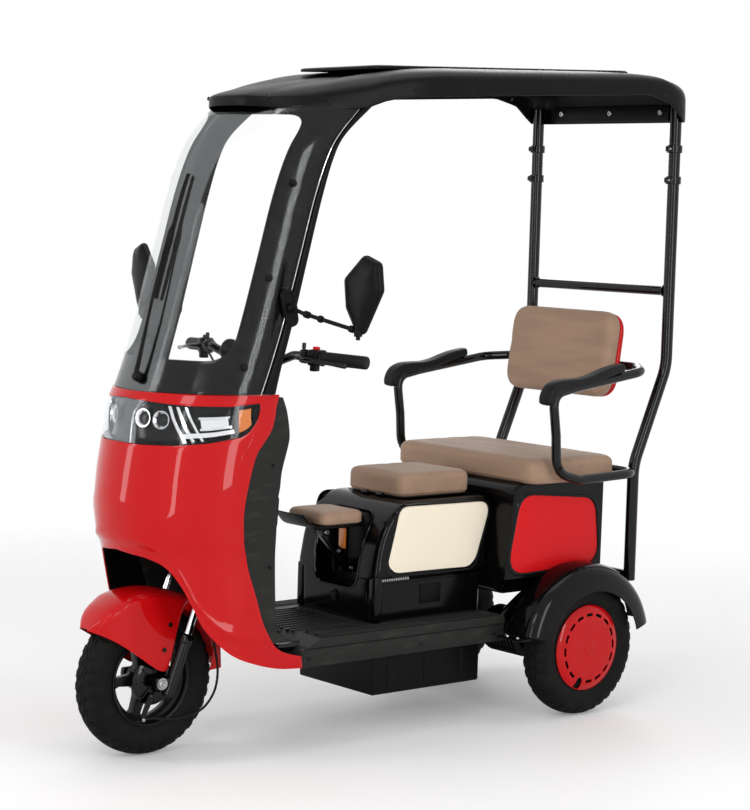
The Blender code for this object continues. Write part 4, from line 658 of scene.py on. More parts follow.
# Fenders
def front_fender():
    """Crowned mudguard: each section runs from a point of the flap's edge over the crown to the other side."""
    angles = [39, 46, 53, 60, 66, 74, 83, 92, 100, 108, 116.5, 126, 136, 148, 160, 176]
    crown_radius = np.interp(angles, [39, 53, 66, 83, 100, 116.5, 136, 176],
                             [0.222, 0.2310, 0.2325, 0.2256, 0.2216, 0.2225, 0.216, 0.205])
    a = np.radians(angles)
    crown = np.stack([FRONT_AXLE[1] - np.cos(a) * crown_radius, WHEEL_RADIUS + np.sin(a) * crown_radius], 1)
    flap = np.array([(-0.8560, 0.3195), (-0.834, 0.310), (-0.812, 0.299), (-0.786, 0.284), (-0.762, 0.268),
                     (-0.733, 0.248), (-0.703, 0.227), (-0.674, 0.211), (-0.655, 0.218), (-0.638, 0.276),
                     (-0.617, 0.352), (-0.571, 0.334), (-0.543, 0.315), (-0.519, 0.284), (-0.511, 0.245),
                     (-0.520, 0.194)])
    halves = np.interp(angles, [39, 46, 53, 66, 108, 116.5, 126, 176],
                       [0.016, 0.042, 0.055, 0.064, 0.0655, 0.061, 0.052, 0.051])
    down = flap - crown
    far = np.linalg.norm(down, axis=1)
    shoulder = np.minimum(0.026 / far, 0.45)
    shares = np.stack([1 + 0 * far, (1 + shoulder) / 2, shoulder, shoulder * 0.46, shoulder * 0.18,
                       shoulder * 0.04], 1)
    side_x = halves[:, None] * (1.0, 1.0, 1.0, 0.95, 0.74, 0.40)
    x = np.concatenate([side_x, 0 * halves[:, None], -side_x[:, ::-1]], 1)
    shares = np.concatenate([shares, 0 * halves[:, None], shares[:, ::-1]], 1)[..., None]
    rows = np.concatenate([x[..., None], crown[:, None] + shares * down[:, None]], -1)
    piece("front_fender_fine", Patch(refine(rows, 5, 4)), "red_paint", "steering", ["front_fender"],
          wall=0.0022, inside=FRONT_AXLE, bevel=0.0007, bevel_above=60)
    bolts = [bolt((sign * 0.0660, y, z), (sign, 0, 0), 0.0055, 0.0028)
             for y, z in ((-0.652, 0.322), (-0.668, 0.262)) for _, sign in SIDES]
    piece("fender_bolts", bolts, "black_steel", "steering", sharp=30)


def rear_fender(side, sign):
    """Crowned mudguard with a rolled lip: a section swept around the axle, with a flange at its front foot."""
    section = [(0.2366, 0.236), (0.250, 0.2378), (0.266, 0.2385), (0.284, 0.2376), (0.300, 0.2345),
               (0.314, 0.2270), (0.324, 0.2150), (0.3300, 0.2000), (0.3335, 0.1840), (0.3352, 0.1720),
               (0.3362, 0.1665), (0.3350, 0.1640), (0.3325, 0.1655)]
    section = along(section, 3)
    angle = np.linspace(math.radians(13), math.radians(166), 90)[:, None]
    radius = section[None, :, 1] + 0 * angle
    points = np.stack([sign * section[None, :, 0] + 0 * radius, REAR_AXLE_Y - np.cos(angle) * radius,
                       WHEEL_RADIUS + np.sin(angle) * radius * 0.95], -1)
    piece(f"rear_fender_{side}_fine", Patch(points), "gloss_black", "body", [f"rear_fender_{side}"],
          wall=0.0022, inside=(sign * 0.27, REAR_AXLE_Y, WHEEL_RADIUS), bevel=0.0006, bevel_above=60)
    foot = brick((sign * 0.2390, 0.2640, 0.2290), (sign * 0.3300, 0.3020, 0.2330), 0.0018)
    piece(f"fender_foot_{side}", foot, "gloss_black", "body", sharp=30)
    bolts = [bolt((sign * x, 0.2800, 0.2330), (0, 0, 1), 0.0050, 0.0030) for x in (0.264, 0.302)]
    piece(f"fender_foot_bolts_{side}", bolts, "steel", "body", sharp=30)


def fenders():
    front_fender()
    for side, sign in SIDES:
        rear_fender(side, sign)


# Front apron: an open shell over a half-round plan
APRON_HALF = 0.232
APRON_DEPTH = 0.250
APRON_TOP_Z = 0.884
APRON_FOOT_Y = -0.3775
NOSE = along(np.array([(0.200, -0.755), (0.350, -0.760), (0.490, -0.765), (0.533, -0.782), (0.570, -0.789),
                       (0.607, -0.791), (0.680, -0.787), (0.752, -0.776), (0.770, -0.772), (0.813, -0.768),
                       (0.850, -0.760), (0.890, -0.741)]), 6)
AFT_EDGE = along(np.array([(0.884, -0.470), (0.836, -0.480), (0.800, -0.490), (0.770, -0.512),
                           (0.740, -0.534), (0.661, -0.556), (0.588, -0.565), (0.495, -0.554),
                           (0.406, -0.524), (0.315, -0.490), (0.267, -0.449), (0.244, APRON_FOOT_Y)]), 4)
ARCH_EDGE = along(np.array([(APRON_FOOT_Y, 0.2155), (-0.450, 0.222), (-0.520, 0.240), (-0.585, 0.268),
                            (-0.642, 0.325), (-0.669, 0.381), (-0.693, 0.435), (-0.719, 0.476),
                            (-0.748, 0.496)]), 4)
LAMP_TOP = np.array([(4, 0.866), (22, 0.858), (45, 0.858), (70, 0.864), (90, 0.868)])
LAMP_BOTTOM = np.array([(4, 0.806), (12, 0.786), (30, 0.772), (50, 0.764), (70, 0.762), (90, 0.764)])
LAMP_END = math.radians(3.2)
LAMP_END_Z = 0.838


def apron_skin(turn, z, inset=0.0):
    """The outer skin: (W - i) cos t across and (D - i) sin t ahead, and straight behind t = 0."""
    turn, z = np.broadcast_arrays(turn, z)
    middle = np.interp(z, NOSE[:, 0], NOSE[:, 1]) + APRON_DEPTH
    x = (APRON_HALF - inset) * np.cos(np.maximum(turn, 0))
    ahead = np.where(turn < 0, turn * APRON_DEPTH, (APRON_DEPTH - inset) * np.sin(turn))
    return np.stack([x, middle - ahead, z], -1)


def apron_turn(y, z):
    """The turn at which the skin has a given y: negative behind the widest place."""
    share = (np.interp(z, NOSE[:, 0], NOSE[:, 1]) + APRON_DEPTH - np.asarray(y)) / APRON_DEPTH
    return np.where(share > 0, np.arcsin(np.clip(share, 0, 1)), share)


def lamp_line(table, turn, closing):
    """The lamp's upper or lower line over turn, drawn to one height in a round end."""
    open_share = np.sqrt(1 - (1 - np.clip((turn - LAMP_END) / closing, 0, 1)) ** 2)
    line = np.interp(np.degrees(turn), table[:, 0], table[:, 1])
    return LAMP_END_Z + (line - LAMP_END_Z) * open_share


def column_turns(count=56):
    """Turns of the apron's columns from the aft edge, closer together at the lamp's end."""
    end = [LAMP_END + k for k in (0, 0.004, 0.010, 0.020, 0.034, 0.050, 0.070)]
    return np.concatenate([[-0.06, -0.02, 0.02], end, np.linspace(0.150, math.pi / 2, count)])


def both_halves(grid):
    """The left half of a grid joined to its mirror image at x = 0."""
    return np.concatenate([grid, (grid * (-1, 1, 1))[:, -2::-1]], 1)


def spread(top, bottom, rows):
    """Rows of (turn, z) between two lines of (turn, z)."""
    v = np.linspace(0, 1, rows)[:, None, None]
    return (1 - v) * top[None] + v * bottom[None]


def by_length(points, count, squeeze=0.25):
    """Points at even steps along a line of (turn, z), with a turn counted as squeeze metres."""
    return even(np.asarray(points) * (squeeze, 1), count) / (squeeze, 1)


def apron_lines():
    """The apron's (turn, z) grids: over the lamp, across the lamp, and below it down to the arch."""
    turns = column_turns()
    share = (turns - turns[0]) / (turns[-1] - turns[0])
    upper = np.stack([turns, lamp_line(LAMP_TOP, turns, 0.055)], 1)
    lower = np.stack([turns, lamp_line(LAMP_BOTTOM, turns, 0.110)], 1)
    aft = np.stack([apron_turn(AFT_EDGE[:, 1], AFT_EDGE[:, 0]), AFT_EDGE[:, 0]], 1)
    above, below = aft[aft[:, 1] > LAMP_END_Z], aft[aft[:, 1] < LAMP_END_Z]
    start = np.array([[np.interp(-LAMP_END_Z, -aft[:, 1], aft[:, 0]), LAMP_END_Z]])
    first = start[0, 0]
    bend = np.clip(1 - share / share[3], 0, 1)
    upper[:, 0] = turns + bend * (first - turns[0])
    lower[:, 0] = upper[:, 0]
    top_turn = above[0, 0] + share * (math.pi / 2 - above[0, 0])
    top_turn = np.where(share > share[3], turns, top_turn + (turns - top_turn) * share / share[3])
    top = np.stack([top_turn, np.full(len(turns), APRON_TOP_Z)], 1)
    hood = spread(top, upper, 7)
    band = spread(upper, lower, 9)
    arch = np.stack([apron_turn(ARCH_EDGE[:, 0], ARCH_EDGE[:, 1]), ARCH_EDGE[:, 1]], 1)
    arch = np.concatenate([arch, [(math.pi / 2, 0.505)]])
    arch = by_length(arch, 400)
    length = np.linspace(0, 1, 400)
    bottom = np.stack([np.interp(share, length, arch[:, k]) for k in (0, 1)], 1)
    rows = 46
    left = by_length(np.concatenate([start, below, arch[:1]]), rows)
    v = np.linspace(0, 1, rows)[:, None, None]
    field = (1 - v) * lower[None] + v * bottom[None]
    pull = left[:, None] - (1 - v) * lower[None, :1] - v * bottom[None, :1]
    field = field + (1 - share[None, :, None]) ** 2.5 * pull
    return hood, band, field


def apron():
    """Hood, lamp surround and lower shell in one grid, with a soft ridge that runs beside the arch."""
    hood, band, field = apron_lines()
    v = np.linspace(0, 1, len(field))[:, None]
    turn = field[..., 0]
    ridge = 0.0045 * np.exp(-((v - 0.80 - 0.06 * np.sin(2 * turn)) / 0.05) ** 2) * np.clip(1.45 - turn, 0, 0.4)
    ridge = ridge / 0.4 + 0.003 * np.exp(-((v - 0.52) / 0.10) ** 2) * np.clip(turn - 0.35, 0, 1)
    hood_skin = apron_skin(hood[..., 0], hood[..., 1])
    lip = apron_skin(hood[:1, :, 0], hood[:1, :, 1], np.full((1, 1), 0.006)) + (0, 0, 0.0006)
    band_skin = apron_skin(band[1:, :, 0], band[1:, :, 1])
    lower_skin = apron_skin(field[1:, :, 0], field[1:, :, 1], -ridge[1:])
    grid = both_halves(np.concatenate([lip, hood_skin, band_skin, lower_skin]))
    keep = np.ones((len(grid) - 1, grid.shape[1] - 1), bool)
    first = len(lip) + len(hood_skin) - 1
    end = 3
    keep[first:first + len(band) - 1, end:grid.shape[1] - 1 - end] = False
    piece("front_apron_fine", Patch(grid, keep=keep), "red_paint", "body", ["front_apron"], wall=0.0028,
          inside=(0, -0.5, 0.6), bevel=0.0008, bevel_above=60)
    liner = apron_skin(field[1:, :, 0], field[1:, :, 1], 0.0036 - ridge[1:])
    piece("apron_liner", Patch(both_halves(liner)), "satin_black", "body", wall=0.0006, inside=(0, -0.5, 0.6))


def lamp_grid(depths, rows, shrink=0.0, first=None, last=math.pi / 2, columns=64):
    """The lamp's window on the skin: depths is the inset of each row, and shrink draws its edges in."""
    start = LAMP_END + shrink * 5 if first is None else first
    turns = start + (last - start) * (1 - np.cos(np.linspace(0, math.pi / 2, columns)))
    turns = np.clip(turns, start, last)
    upper = lamp_line(LAMP_TOP, turns, 0.055) - shrink
    lower = lamp_line(LAMP_BOTTOM, turns, 0.110) + shrink
    rows = np.asarray(rows)[:, None]
    z = upper * (1 - rows) + np.maximum(lower, upper * 0 + lower) * rows
    return apron_skin(np.broadcast_to(turns, z.shape), z, np.asarray(depths)[:, None] + 0 * z)


def lamp_tile(turn_a, turn_b, share_a, share_b, depth, slant=0.0, rows=4, columns=10):
    """A strip inside the lamp between two turns and two shares of its height, slanted by a turn."""
    v, u = np.meshgrid(np.linspace(share_a, share_b, rows), np.linspace(turn_a, turn_b, columns),
                       indexing="ij")
    turn = np.radians(u + slant * (0.5 - v))
    upper, lower = lamp_line(LAMP_TOP, turn, 0.055), lamp_line(LAMP_BOTTOM, turn, 0.110)
    return apron_skin(turn, upper * (1 - v) + lower * v, np.full(v.shape, depth))


def headlamp():
    """Clear cover, black bowl, and on each side two projectors, dividers, light boxes and an amber lamp."""
    rows = np.linspace(0, 1, 12)
    cover = both_halves(lamp_grid(np.zeros(12), rows, 0.0008))
    piece("headlamp_cover", Patch(cover), "lamp_clear", "body", ["headlamp_lens"], wall=0.0024,
          inside=(0, -0.5, 0.8))
    bowl_rows = [0, 0.02, 0.05, 0.12, 0.5, 0.88, 0.95, 0.98, 1]
    bowl_depth = [0.0040, 0.012, 0.024, 0.0285, 0.0295, 0.0285, 0.024, 0.012, 0.0040]
    bowl = both_halves(lamp_grid(bowl_depth, bowl_rows, 0.0012))
    piece("headlamp_bowl", Patch(bowl), "gloss_black", "body", ["headlamp_housing"], wall=0.002,
          inside=(0, -0.9, 0.8))
    lens_parts, chrome_parts, white_parts, amber_parts, black_parts = [], [], [], [], []
    for _, sign in SIDES:
        for turn, share in ((74, 0.42), (61, 0.42)):
            spot = lamp_tile(turn, turn + 1, share, share + 0.01, 0.026, rows=2, columns=2)[0, 0]
            ahead = unit(np.array([math.cos(math.radians(turn)), -math.sin(math.radians(turn)), 0.10]))
            chrome_parts.append(turned([(0.0150, -0.002), (0.0200, 0.004), (0.0215, 0.0085), (0.0195, 0.0085),
                                        (0.0150, 0.004), (0.0140, -0.002), (0.0150, -0.002)], spot, ahead,
                                       40).flipped(sign))
            lens_parts.append(turned([(0.0142, 0.0), (0.0142, 0.003), (0.0125, 0.0075), (0.0090, 0.0110),
                                      (0.0045, 0.0130), (0.0, 0.0135)], spot, ahead, 36).flipped(sign))
        for low, high in ((51.5, 49.5), (46.5, 44.5), (41.0, 39.5)):
            chrome_parts.append(solid_tile(lamp_tile(low, high, 0.06, 0.94, 0.010, 14.0), 0.012, sign))
        chrome_parts.append(solid_tile(lamp_tile(37, 19, 0.30, 0.36, 0.010, 6.0), 0.012, sign))
        chrome_parts.append(solid_tile(lamp_tile(37, 19, 0.60, 0.66, 0.010, 6.0), 0.012, sign))
        white_parts.append(solid_tile(lamp_tile(36, 20, 0.36, 0.60, 0.014, 6.0), 0.010, sign))
        white_parts.append(solid_tile(lamp_tile(47, 18, 0.72, 0.84, 0.008, 6.0), 0.010, sign))
        amber_parts.append(solid_tile(lamp_tile(14.5, 7.5, 0.16, 0.84, 0.007, 3.5), 0.008, sign))
        black_parts.append(solid_tile(lamp_tile(16.5, 15.0, 0.05, 0.95, 0.006, 3.5), 0.014, sign))
    piece("headlamp_projectors", lens_parts, "lamp_clear", "body")
    piece("headlamp_trim", chrome_parts, "chrome", "body", sharp=30)
    piece("headlamp_light_boxes", white_parts, "white_lens", "body", sharp=30)
    piece("turn_signals", amber_parts, "amber", "body", sharp=30)
    piece("headlamp_dividers", black_parts, "gloss_black", "body", sharp=30)


def solid_tile(front, depth, sign):
    """A closed bar from a strip: the strip, and the same strip set back towards the axis, with its sides."""
    inward = front * (-1, 0, 0) + (0, -0.50, 0) - front * (0, 1, 0)
    back = front + unit(inward) * depth
    rows = np.concatenate([front, back[::-1], front[:1]])
    ends = [np.stack([front[:, k], back[:, k]]) for k in (0, -1)]
    return Joined([Patch(mirrored(rows, sign))] + [Patch(mirrored(e, sign)) for e in ends])


class Joined(Patch):
    """Several patches that are passed on as one."""

    def __init__(self, patches):
        self.patches = patches
        self.points = np.concatenate([p.points.reshape(-1, 3) for p in patches])[None]

    def faces(self, start):
        made = []
        for patch in self.patches:
            made += patch.faces(start)
            start += patch.points.shape[0] * patch.points.shape[1]
        return made


# Leg shield
SHIELD_SPINE = [(0.2835, -0.400), (0.300, -0.432), (0.330, -0.450), (0.400, -0.456), (0.500, -0.457),
                (0.600, -0.456), (0.632, -0.455), (0.660, -0.450), (0.700, -0.446), (0.760, -0.430),
                (0.790, -0.427), (0.840, -0.436), (0.876, -0.450)]


def leg_shield():
    """Inner moulding: sections from the apron's aft edge round to the steering column's cover."""
    spine = along(np.array(SHIELD_SPINE), 5)
    z, y = spine[:, 0], spine[:, 1]
    front = np.minimum(np.interp(z, AFT_EDGE[::-1, 0], AFT_EDGE[::-1, 1]) - 0.012, y - 0.020)
    edge = apron_skin(apron_turn(front, z), z, np.full(z.shape, 0.0045))[:, 0]
    steer = -0.647 + math.tan(math.radians(21)) * (z - WHEEL_RADIUS)
    column = np.maximum(y, steer + 0.034)
    x = np.stack([edge, edge, edge, edge - 0.0012, edge - 0.005, edge - 0.012, edge - 0.025,
                  0 * z + 0.140, 0 * z + 0.095, 0 * z + 0.070, 0 * z + 0.048, 0 * z + 0.028, 0 * z], 1)
    ys = np.stack([front, (front + y) / 2, y - 0.012, y - 0.006, y - 0.0015, y, y, y + 0.001, y,
                   (3 * y + column) / 4, (y + 3 * column) / 4, column - 0.0012, column], 1)
    grid = both_halves(np.stack([x, ys, np.broadcast_to(z[:, None], x.shape)], -1))
    shell = piece("leg_shield_fine", Patch(refine(grid, 1, 3)), "deck_plastic", "body", ["leg_shield"],
                  wall=0.0025, inside=(0, -0.8, 0.6), bevel=0.0006, bevel_above=60)
    pocket_parts = []
    for _, sign in SIDES:
        loop = rounded_loop([(0.120, 0.560), (0.212, 0.560), (0.218, 0.640), (0.114, 0.640)], 0.012, 5)
        rim = np.stack([mirrored(np.insert(loop * k + np.array([0.166, 0.600]) * (1 - k), 1, y, axis=1), sign)
                        for k, y in ((0.90, -0.4555), (0.92, -0.4515), (0.98, -0.4495), (1.0, -0.4525),
                                     (1.0, -0.4560))])
        pocket_parts.append(Patch(rim, around=True))
    piece("pocket_rims", pocket_parts, "deck_plastic", "body", inside=(0, -0.8, 0.6))
    screws = [bolt((sign * 0.229, y, z), (sign, 0.25, 0), 0.0042, 0.0020)
              for y, z in ((-0.478, 0.715), (-0.478, 0.470), (-0.446, 0.312)) for _, sign in SIDES]
    piece("leg_shield_screws", screws, "black_steel", "body", sharp=30)
    return shell


# Windshield
SHIELD_HALF = 0.235
SHIELD_DEPTH = 0.213
SHIELD_AFT = np.array([(0.880, -0.527), (0.950, -0.500), (1.054, -0.465), (1.202, -0.423), (1.350, -0.382),
                       (1.450, -0.345), (1.506, -0.310), (1.574, -0.245), (1.600, -0.215)])
FRAME_AFT = np.array([(0.880, -0.487), (0.950, -0.470), (1.054, -0.440), (1.202, -0.402), (1.350, -0.363),
                      (1.450, -0.330), (1.506, -0.296), (1.574, -0.218), (1.600, -0.188)])
SHIELD_AFT, FRAME_AFT = along(SHIELD_AFT, 6), along(FRAME_AFT, 6)
SHIELD_LOW_Z, SHIELD_HIGH_Z = 0.8857, 1.590
WINDOW_TURN = 0.512


def shield_skin(turn, z, inset=0.0, aft=0.0):
    """The sheet: (W - i) cos t across, (D - i) sin t ahead of its aft line, and back to the frame's edge."""
    turn, z, aft = np.broadcast_arrays(turn, z, aft)
    sheet_y = np.interp(z, SHIELD_AFT[:, 0], SHIELD_AFT[:, 1])
    frame_y = np.interp(z, FRAME_AFT[:, 0], FRAME_AFT[:, 1])
    return np.stack([(SHIELD_HALF - inset) * np.cos(turn),
                     sheet_y - (SHIELD_DEPTH - inset) * np.sin(turn) + aft * (frame_y - sheet_y), z], -1)


def window_band():
    """(turn, z) loops from the window's rounded outline out to the sheet's own outline.

    Each loop point runs along the ray from the window's middle, and four of them end in the corners.
    """
    scale = 0.22
    left, right = WINDOW_TURN * scale, (math.pi - WINDOW_TURN) * scale
    corners = [(left, 0.962), (right, 0.962), (right, 1.552), (left, 1.552)]
    inner = even(rounded_loop(corners, 0.062, 12), 240, closed=True)
    middle = np.array([(left + right) / 2, 1.25])
    half = np.array([math.pi * scale / 2, 0.0])
    ray = inner - middle
    up = np.where(ray[:, 1] > 0, SHIELD_HIGH_Z - middle[1], middle[1] - SHIELD_LOW_Z)
    reach = np.minimum(half[0] / np.maximum(np.abs(ray[:, 0]), 1e-9), up / np.maximum(np.abs(ray[:, 1]), 1e-9))
    outer = middle + ray * reach[:, None]
    for x in (0.0, math.pi * scale):
        for z in (SHIELD_LOW_Z, SHIELD_HIGH_Z):
            nearest = np.argmin(np.abs(np.arctan2(z - middle[1], x - middle[0])
                                       - np.arctan2(ray[:, 1], ray[:, 0])))
            outer[nearest] = (x, z)
    return inner / (scale, 1), outer / (scale, 1)


def windshield():
    """Clear sheet, black surround with a rounded window, side pillars, caps and edge lines."""
    levels = np.linspace(SHIELD_LOW_Z, SHIELD_HIGH_Z, 60)[:, None]
    turns = np.linspace(0, math.pi, 73)[None, :]
    piece("windshield_sheet", Patch(shield_skin(turns, levels)), "clear_sheet", "body", ["windshield"],
          wall=0.0028, inside=(0, -0.2, 1.2))
    inner, outer = window_band()
    rows = [inner * (1 - v) + outer * v for v in np.linspace(0, 1, 12)]
    band = np.stack(rows)
    aft = np.zeros(band.shape[:2])
    side = (outer[:, 0] < 1e-6) | (outer[:, 0] > math.pi - 1e-6)
    band = np.concatenate([band, band[-1:], band[-1:], band[-1:]])
    aft = np.concatenate([aft, [side * 0.33, side * 0.67, side * 1.0]])
    skin = shield_skin(band[..., 0], band[..., 1], 0.0052, aft)
    piece("windshield_surround", Patch(skin, around=True), "gloss_black", "body", ["windshield_frame"],
          wall=0.008, inside=(0, -0.2, 1.2), bevel=0.0008, bevel_above=60)
    pillars, edges, caps, washers = [], [], [], []
    z = np.linspace(SHIELD_LOW_Z, 1.575, 60)
    sheet_y = np.interp(z, SHIELD_AFT[:, 0], SHIELD_AFT[:, 1])
    frame_y = np.interp(z, FRAME_AFT[:, 0], FRAME_AFT[:, 1])
    section = [(0.2352, 0.10), (0.2385, 0.16), (0.2400, 0.35), (0.2400, 0.75), (0.2385, 0.95), (0.2345, 1.04),
               (0.2280, 1.06)]
    strip = np.stack([np.stack([0 * z + x, sheet_y + (frame_y - sheet_y) * k, z], -1) for x, k in section], 1)
    edge_line = np.stack([0 * z + SHIELD_HALF + 0.0009, sheet_y - 0.003, z], -1)
    for _, sign in SIDES:
        pillars.append(Patch(mirrored(strip, sign)))
        edges.append(tube(mirrored(edge_line, sign), 0.0011, 8))
        for level in (1.385, 1.160, 0.950):
            turn = 0.33
            spot = shield_skin(turn, level)
            out = unit(np.array([math.cos(turn), -math.sin(turn), 0.25]))
            caps.append(turned([(0, 0.0045), (0.0045, 0.0045), (0.0068, 0.0030), (0.0075, 0.0), (0.0075, -0.004),
                                (0, -0.004)], spot, out, 28).flipped(sign))
            washers.append(turned([(0.0068, 0.0008), (0.0095, 0.0008), (0.0100, 0.0), (0.0100, -0.001),
                                   (0.0068, -0.001), (0.0068, 0.0008)], spot, out, 28).flipped(sign))
    piece("windshield_pillars", pillars, "satin_black", "body", wall=0.0022, inside=(0, -0.4, 1.2),
          bevel=0.0005, bevel_above=60)
    piece("windshield_edge_lines", edges, "chrome", "body")
    piece("windshield_caps", caps, "satin_black", "body", sharp=30)
    piece("windshield_washers", washers, "satin_black", "body", sharp=30)


def on_sheet(x, z, lift):
    """Points over the sheet at a given x and height, lifted off it."""
    return shield_skin(np.arccos(x / SHIELD_HALF), z, -lift)


def wiper():
    """Pivot cap, tapered arm, joint box and a two-part blade that follows the sheet."""
    out = np.array([0.0, -math.cos(math.radians(21)), math.sin(math.radians(21))])
    pivot = on_sheet(0.020, 0.915, 0.0)
    hub = turned([(0, 0.019), (0.006, 0.019), (0.0105, 0.0165), (0.0115, 0.010), (0.0130, 0.0085),
                  (0.0130, 0.0006), (0, 0.0006)], pivot, out, 32)
    route = along(np.array([pivot + out * 0.013, on_sheet(0.012, 1.00, 0.018), on_sheet(0.004, 1.12, 0.020),
                            on_sheet(0.000, 1.235, 0.017)]), 10)
    arm = tube(route, np.interp(np.linspace(0, 1, len(route)), [0, 0.3, 0.9, 1], [0.0065, 0.0048, 0.003, 0.003]),
               12, 0.001)
    blade_z = np.linspace(1.10, 1.40, 31)
    blade_line, rubber_line = on_sheet(0.0, blade_z, 0.0085), on_sheet(0.0, blade_z, 0.0030)
    swell = 0.0048 - 0.0022 * np.abs(np.linspace(-1, 1, 31)) ** 3
    blade = tube(blade_line, swell, 12, 0.001)
    rubber = tube(rubber_line, 0.0022, 8)
    joint_low, joint_high = on_sheet(0.0, 1.215, 0.010), on_sheet(0.0, 1.275, 0.010)
    joint = tube(np.linspace(joint_low, joint_high, 7), [0.006, 0.0085, 0.0092, 0.0092, 0.0088, 0.0075, 0.0045],
                 16)
    piece("wiper_fine", [hub, arm, blade, joint], "satin_black", "body", ["wiper"])
    piece("wiper_rubber", rubber, "grip_rubber", "body")


# Canopy
CANOPY_HALF = 0.300
CANOPY_CENTRE_Y = 0.20
CANOPY_OUTLINE = [(0.0, -0.482), (0.045, -0.479), (0.085, -0.467), (0.155, -0.412), (0.205, -0.345),
                  (0.240, -0.262), (0.266, -0.180), (0.290, -0.105), (0.2985, -0.050), (0.300, 0.020),
                  (0.300, 0.150), (0.300, 0.350), (0.300, 0.550), (0.300, 0.720), (0.299, 0.790),
                  (0.294, 0.840), (0.275, 0.866), (0.240, 0.8745), (0.120, 0.875), (0.060, 0.875)]


def roof_z(y):
    return 1.678 + 0.050 * (y + 0.147)


def canopy():
    """Hard roof: rings of one outline, drawn in by a share, rise from the edge as a superellipse."""
    half = even(along(np.array(CANOPY_OUTLINE), 8), 90)
    loop = np.concatenate([half, (half * (-1, 1))[:0:-1]])
    x, y = loop[:, 0], loop[:, 1]
    edge = np.interp(y, [-0.545, -0.470, -0.380, -0.300, -0.235, -0.190, -0.130, 0.700, 0.780, 0.840],
                     [1.574, 1.566, 1.560, 1.564, 1.572, 1.590, 1.603, 1.657, 1.640, 1.592])
    power = 4.6 - 3.0 * np.clip(-(y + 0.05) / 0.40, 0, 1)
    shares = np.concatenate([[1, 1, 1], 1 - np.linspace(0, 1, 26)[1:] ** 2])
    rows = []
    for k, share in enumerate(shares):
        top = roof_z(CANOPY_CENTRE_Y + (y - CANOPY_CENTRE_Y) * share)
        spring = edge + np.minimum(0.022, (top - edge) * 0.25)
        rise = (1 - min(share, 0.99999) ** power) ** (1 / power)
        z = [edge, edge + (spring - edge) * 0.5, spring][k] if k < 3 else spring + (top - spring) * rise
        rows.append(np.stack([x * share, CANOPY_CENTRE_Y + (y - CANOPY_CENTRE_Y) * share, z], -1))
    piece("canopy_roof", Patch(np.stack(rows), around=True), "satin_black", "body", ["canopy_shell"],
          wall=0.0038, inside=(0, 0.2, 1.4), bevel=0.0010, bevel_above=60)
    y_plate = np.linspace(-0.147, 0.783, 40)
    outline = rounded_loop([(-0.150, -0.147), (0.150, -0.147), (0.150, 0.783), (-0.150, 0.783)], 0.030, 8)
    outline = even(outline, 160, closed=True)
    centre = np.array([0.0, 0.318])
    plate = []
    for share, rise in ((1.0, -0.004), (1.0, 0.0020), (0.985, 0.0046), (0.95, 0.0056), (0.5, 0.0058), (0.0, 0.0058)):
        flat = centre + (outline - centre) * share
        plate.append(np.column_stack([flat, roof_z(flat[:, 1]) + rise]))
    plate.insert(0, 0 * plate[0] + (*centre, roof_z(centre[1]) - 0.004))
    piece("canopy_top_strip", Patch(np.stack(plate), around=True),
          "satin_black", "body", ["canopy_top_plate"])
    bolts = []
    for _, sign in SIDES:
        for bx, by, bz in ((0.120, -0.443, 1.588), (0.213, -0.332, 1.583), (0.285, -0.120, 1.622),
                           (0.297, 0.760, 1.660)):
            out = unit(np.array([bx, (by - 0.1) if by < 0 else 0.0, 0.12]))
            bolts.append(bolt((bx, by, bz), out, 0.0050, 0.0030).flipped(sign))
    piece("canopy_bolts", bolts, "black_steel", "body", sharp=30)
    piece("rear_valance", brick((-0.220, 0.8600, 1.597), (0.220, 0.8650, 1.640), 0.0022), "satin_black", "body",
          sharp=30)
    piece("valance_bolts", [bolt((x, 0.8600, 1.620), (0, -1, 0), 0.0075, 0.0035) for x in (-0.19, 0.0, 0.19)],
          "steel", "body", sharp=30)


# Tubes that carry the roof, the arms and the bars
POST_X, POST_Y = 0.265, 0.842
POST_RADIUS = 0.0160
RAIL_RADIUS = 0.0125
ARMREST_X = 0.309


def rear_posts():
    """Two bent posts, a crossbar with welded ends, clamp collars with bolts and the foot tube."""
    parts, bolts = [], []
    for _, sign in SIDES:
        route = filleted([(POST_X, 0.734, 0.343), (POST_X, 0.732, 0.660), (POST_X, 0.846, 0.925),
                          (POST_X, POST_Y, 1.634)], 0.150, 16)
        parts.append(tube(mirrored(route, sign), POST_RADIUS, 32, 0.001))
        for z in (1.4345, 1.519):
            parts.append(turned([(0.016, -0.0105), (0.0200, -0.0105), (0.0212, -0.0090), (0.0212, 0.0090),
                                 (0.0200, 0.0105), (0.016, 0.0105), (0.016, -0.0105)],
                                (sign * POST_X, POST_Y, z), (0, 0, 1), 40))
            parts.append(brick((sign * POST_X - 0.006, POST_Y - 0.0310, z - 0.007),
                               (sign * POST_X + 0.006, POST_Y - 0.0190, z + 0.007), 0.0015))
            bolts.append(bolt((sign * (POST_X + 0.0065), POST_Y - 0.0260, z), (sign, 0, 0), 0.0038, 0.003))
        parts.append(turned([(0.0128, 0.0), (0.0185, 0.0), (0.0165, 0.0040), (0.0128, 0.0070), (0.0128, 0.0)],
                            (sign * (POST_X - 0.0145), 0.845, 1.133), (-sign, 0, 0), 32))
    parts.append(tube([(-POST_X, 0.845, 1.133), (0, 0.845, 1.133), (POST_X, 0.845, 1.133)], 0.0130, 28))
    parts.append(tube([(-POST_X, 0.734, 0.357), (0, 0.734, 0.357), (POST_X, 0.734, 0.357)], RAIL_RADIUS, 28))
    piece("rear_posts", parts, "black_steel", "body", ["rear_frame"], sharp=30)
    piece("post_bolts", bolts, "steel", "body", sharp=30)


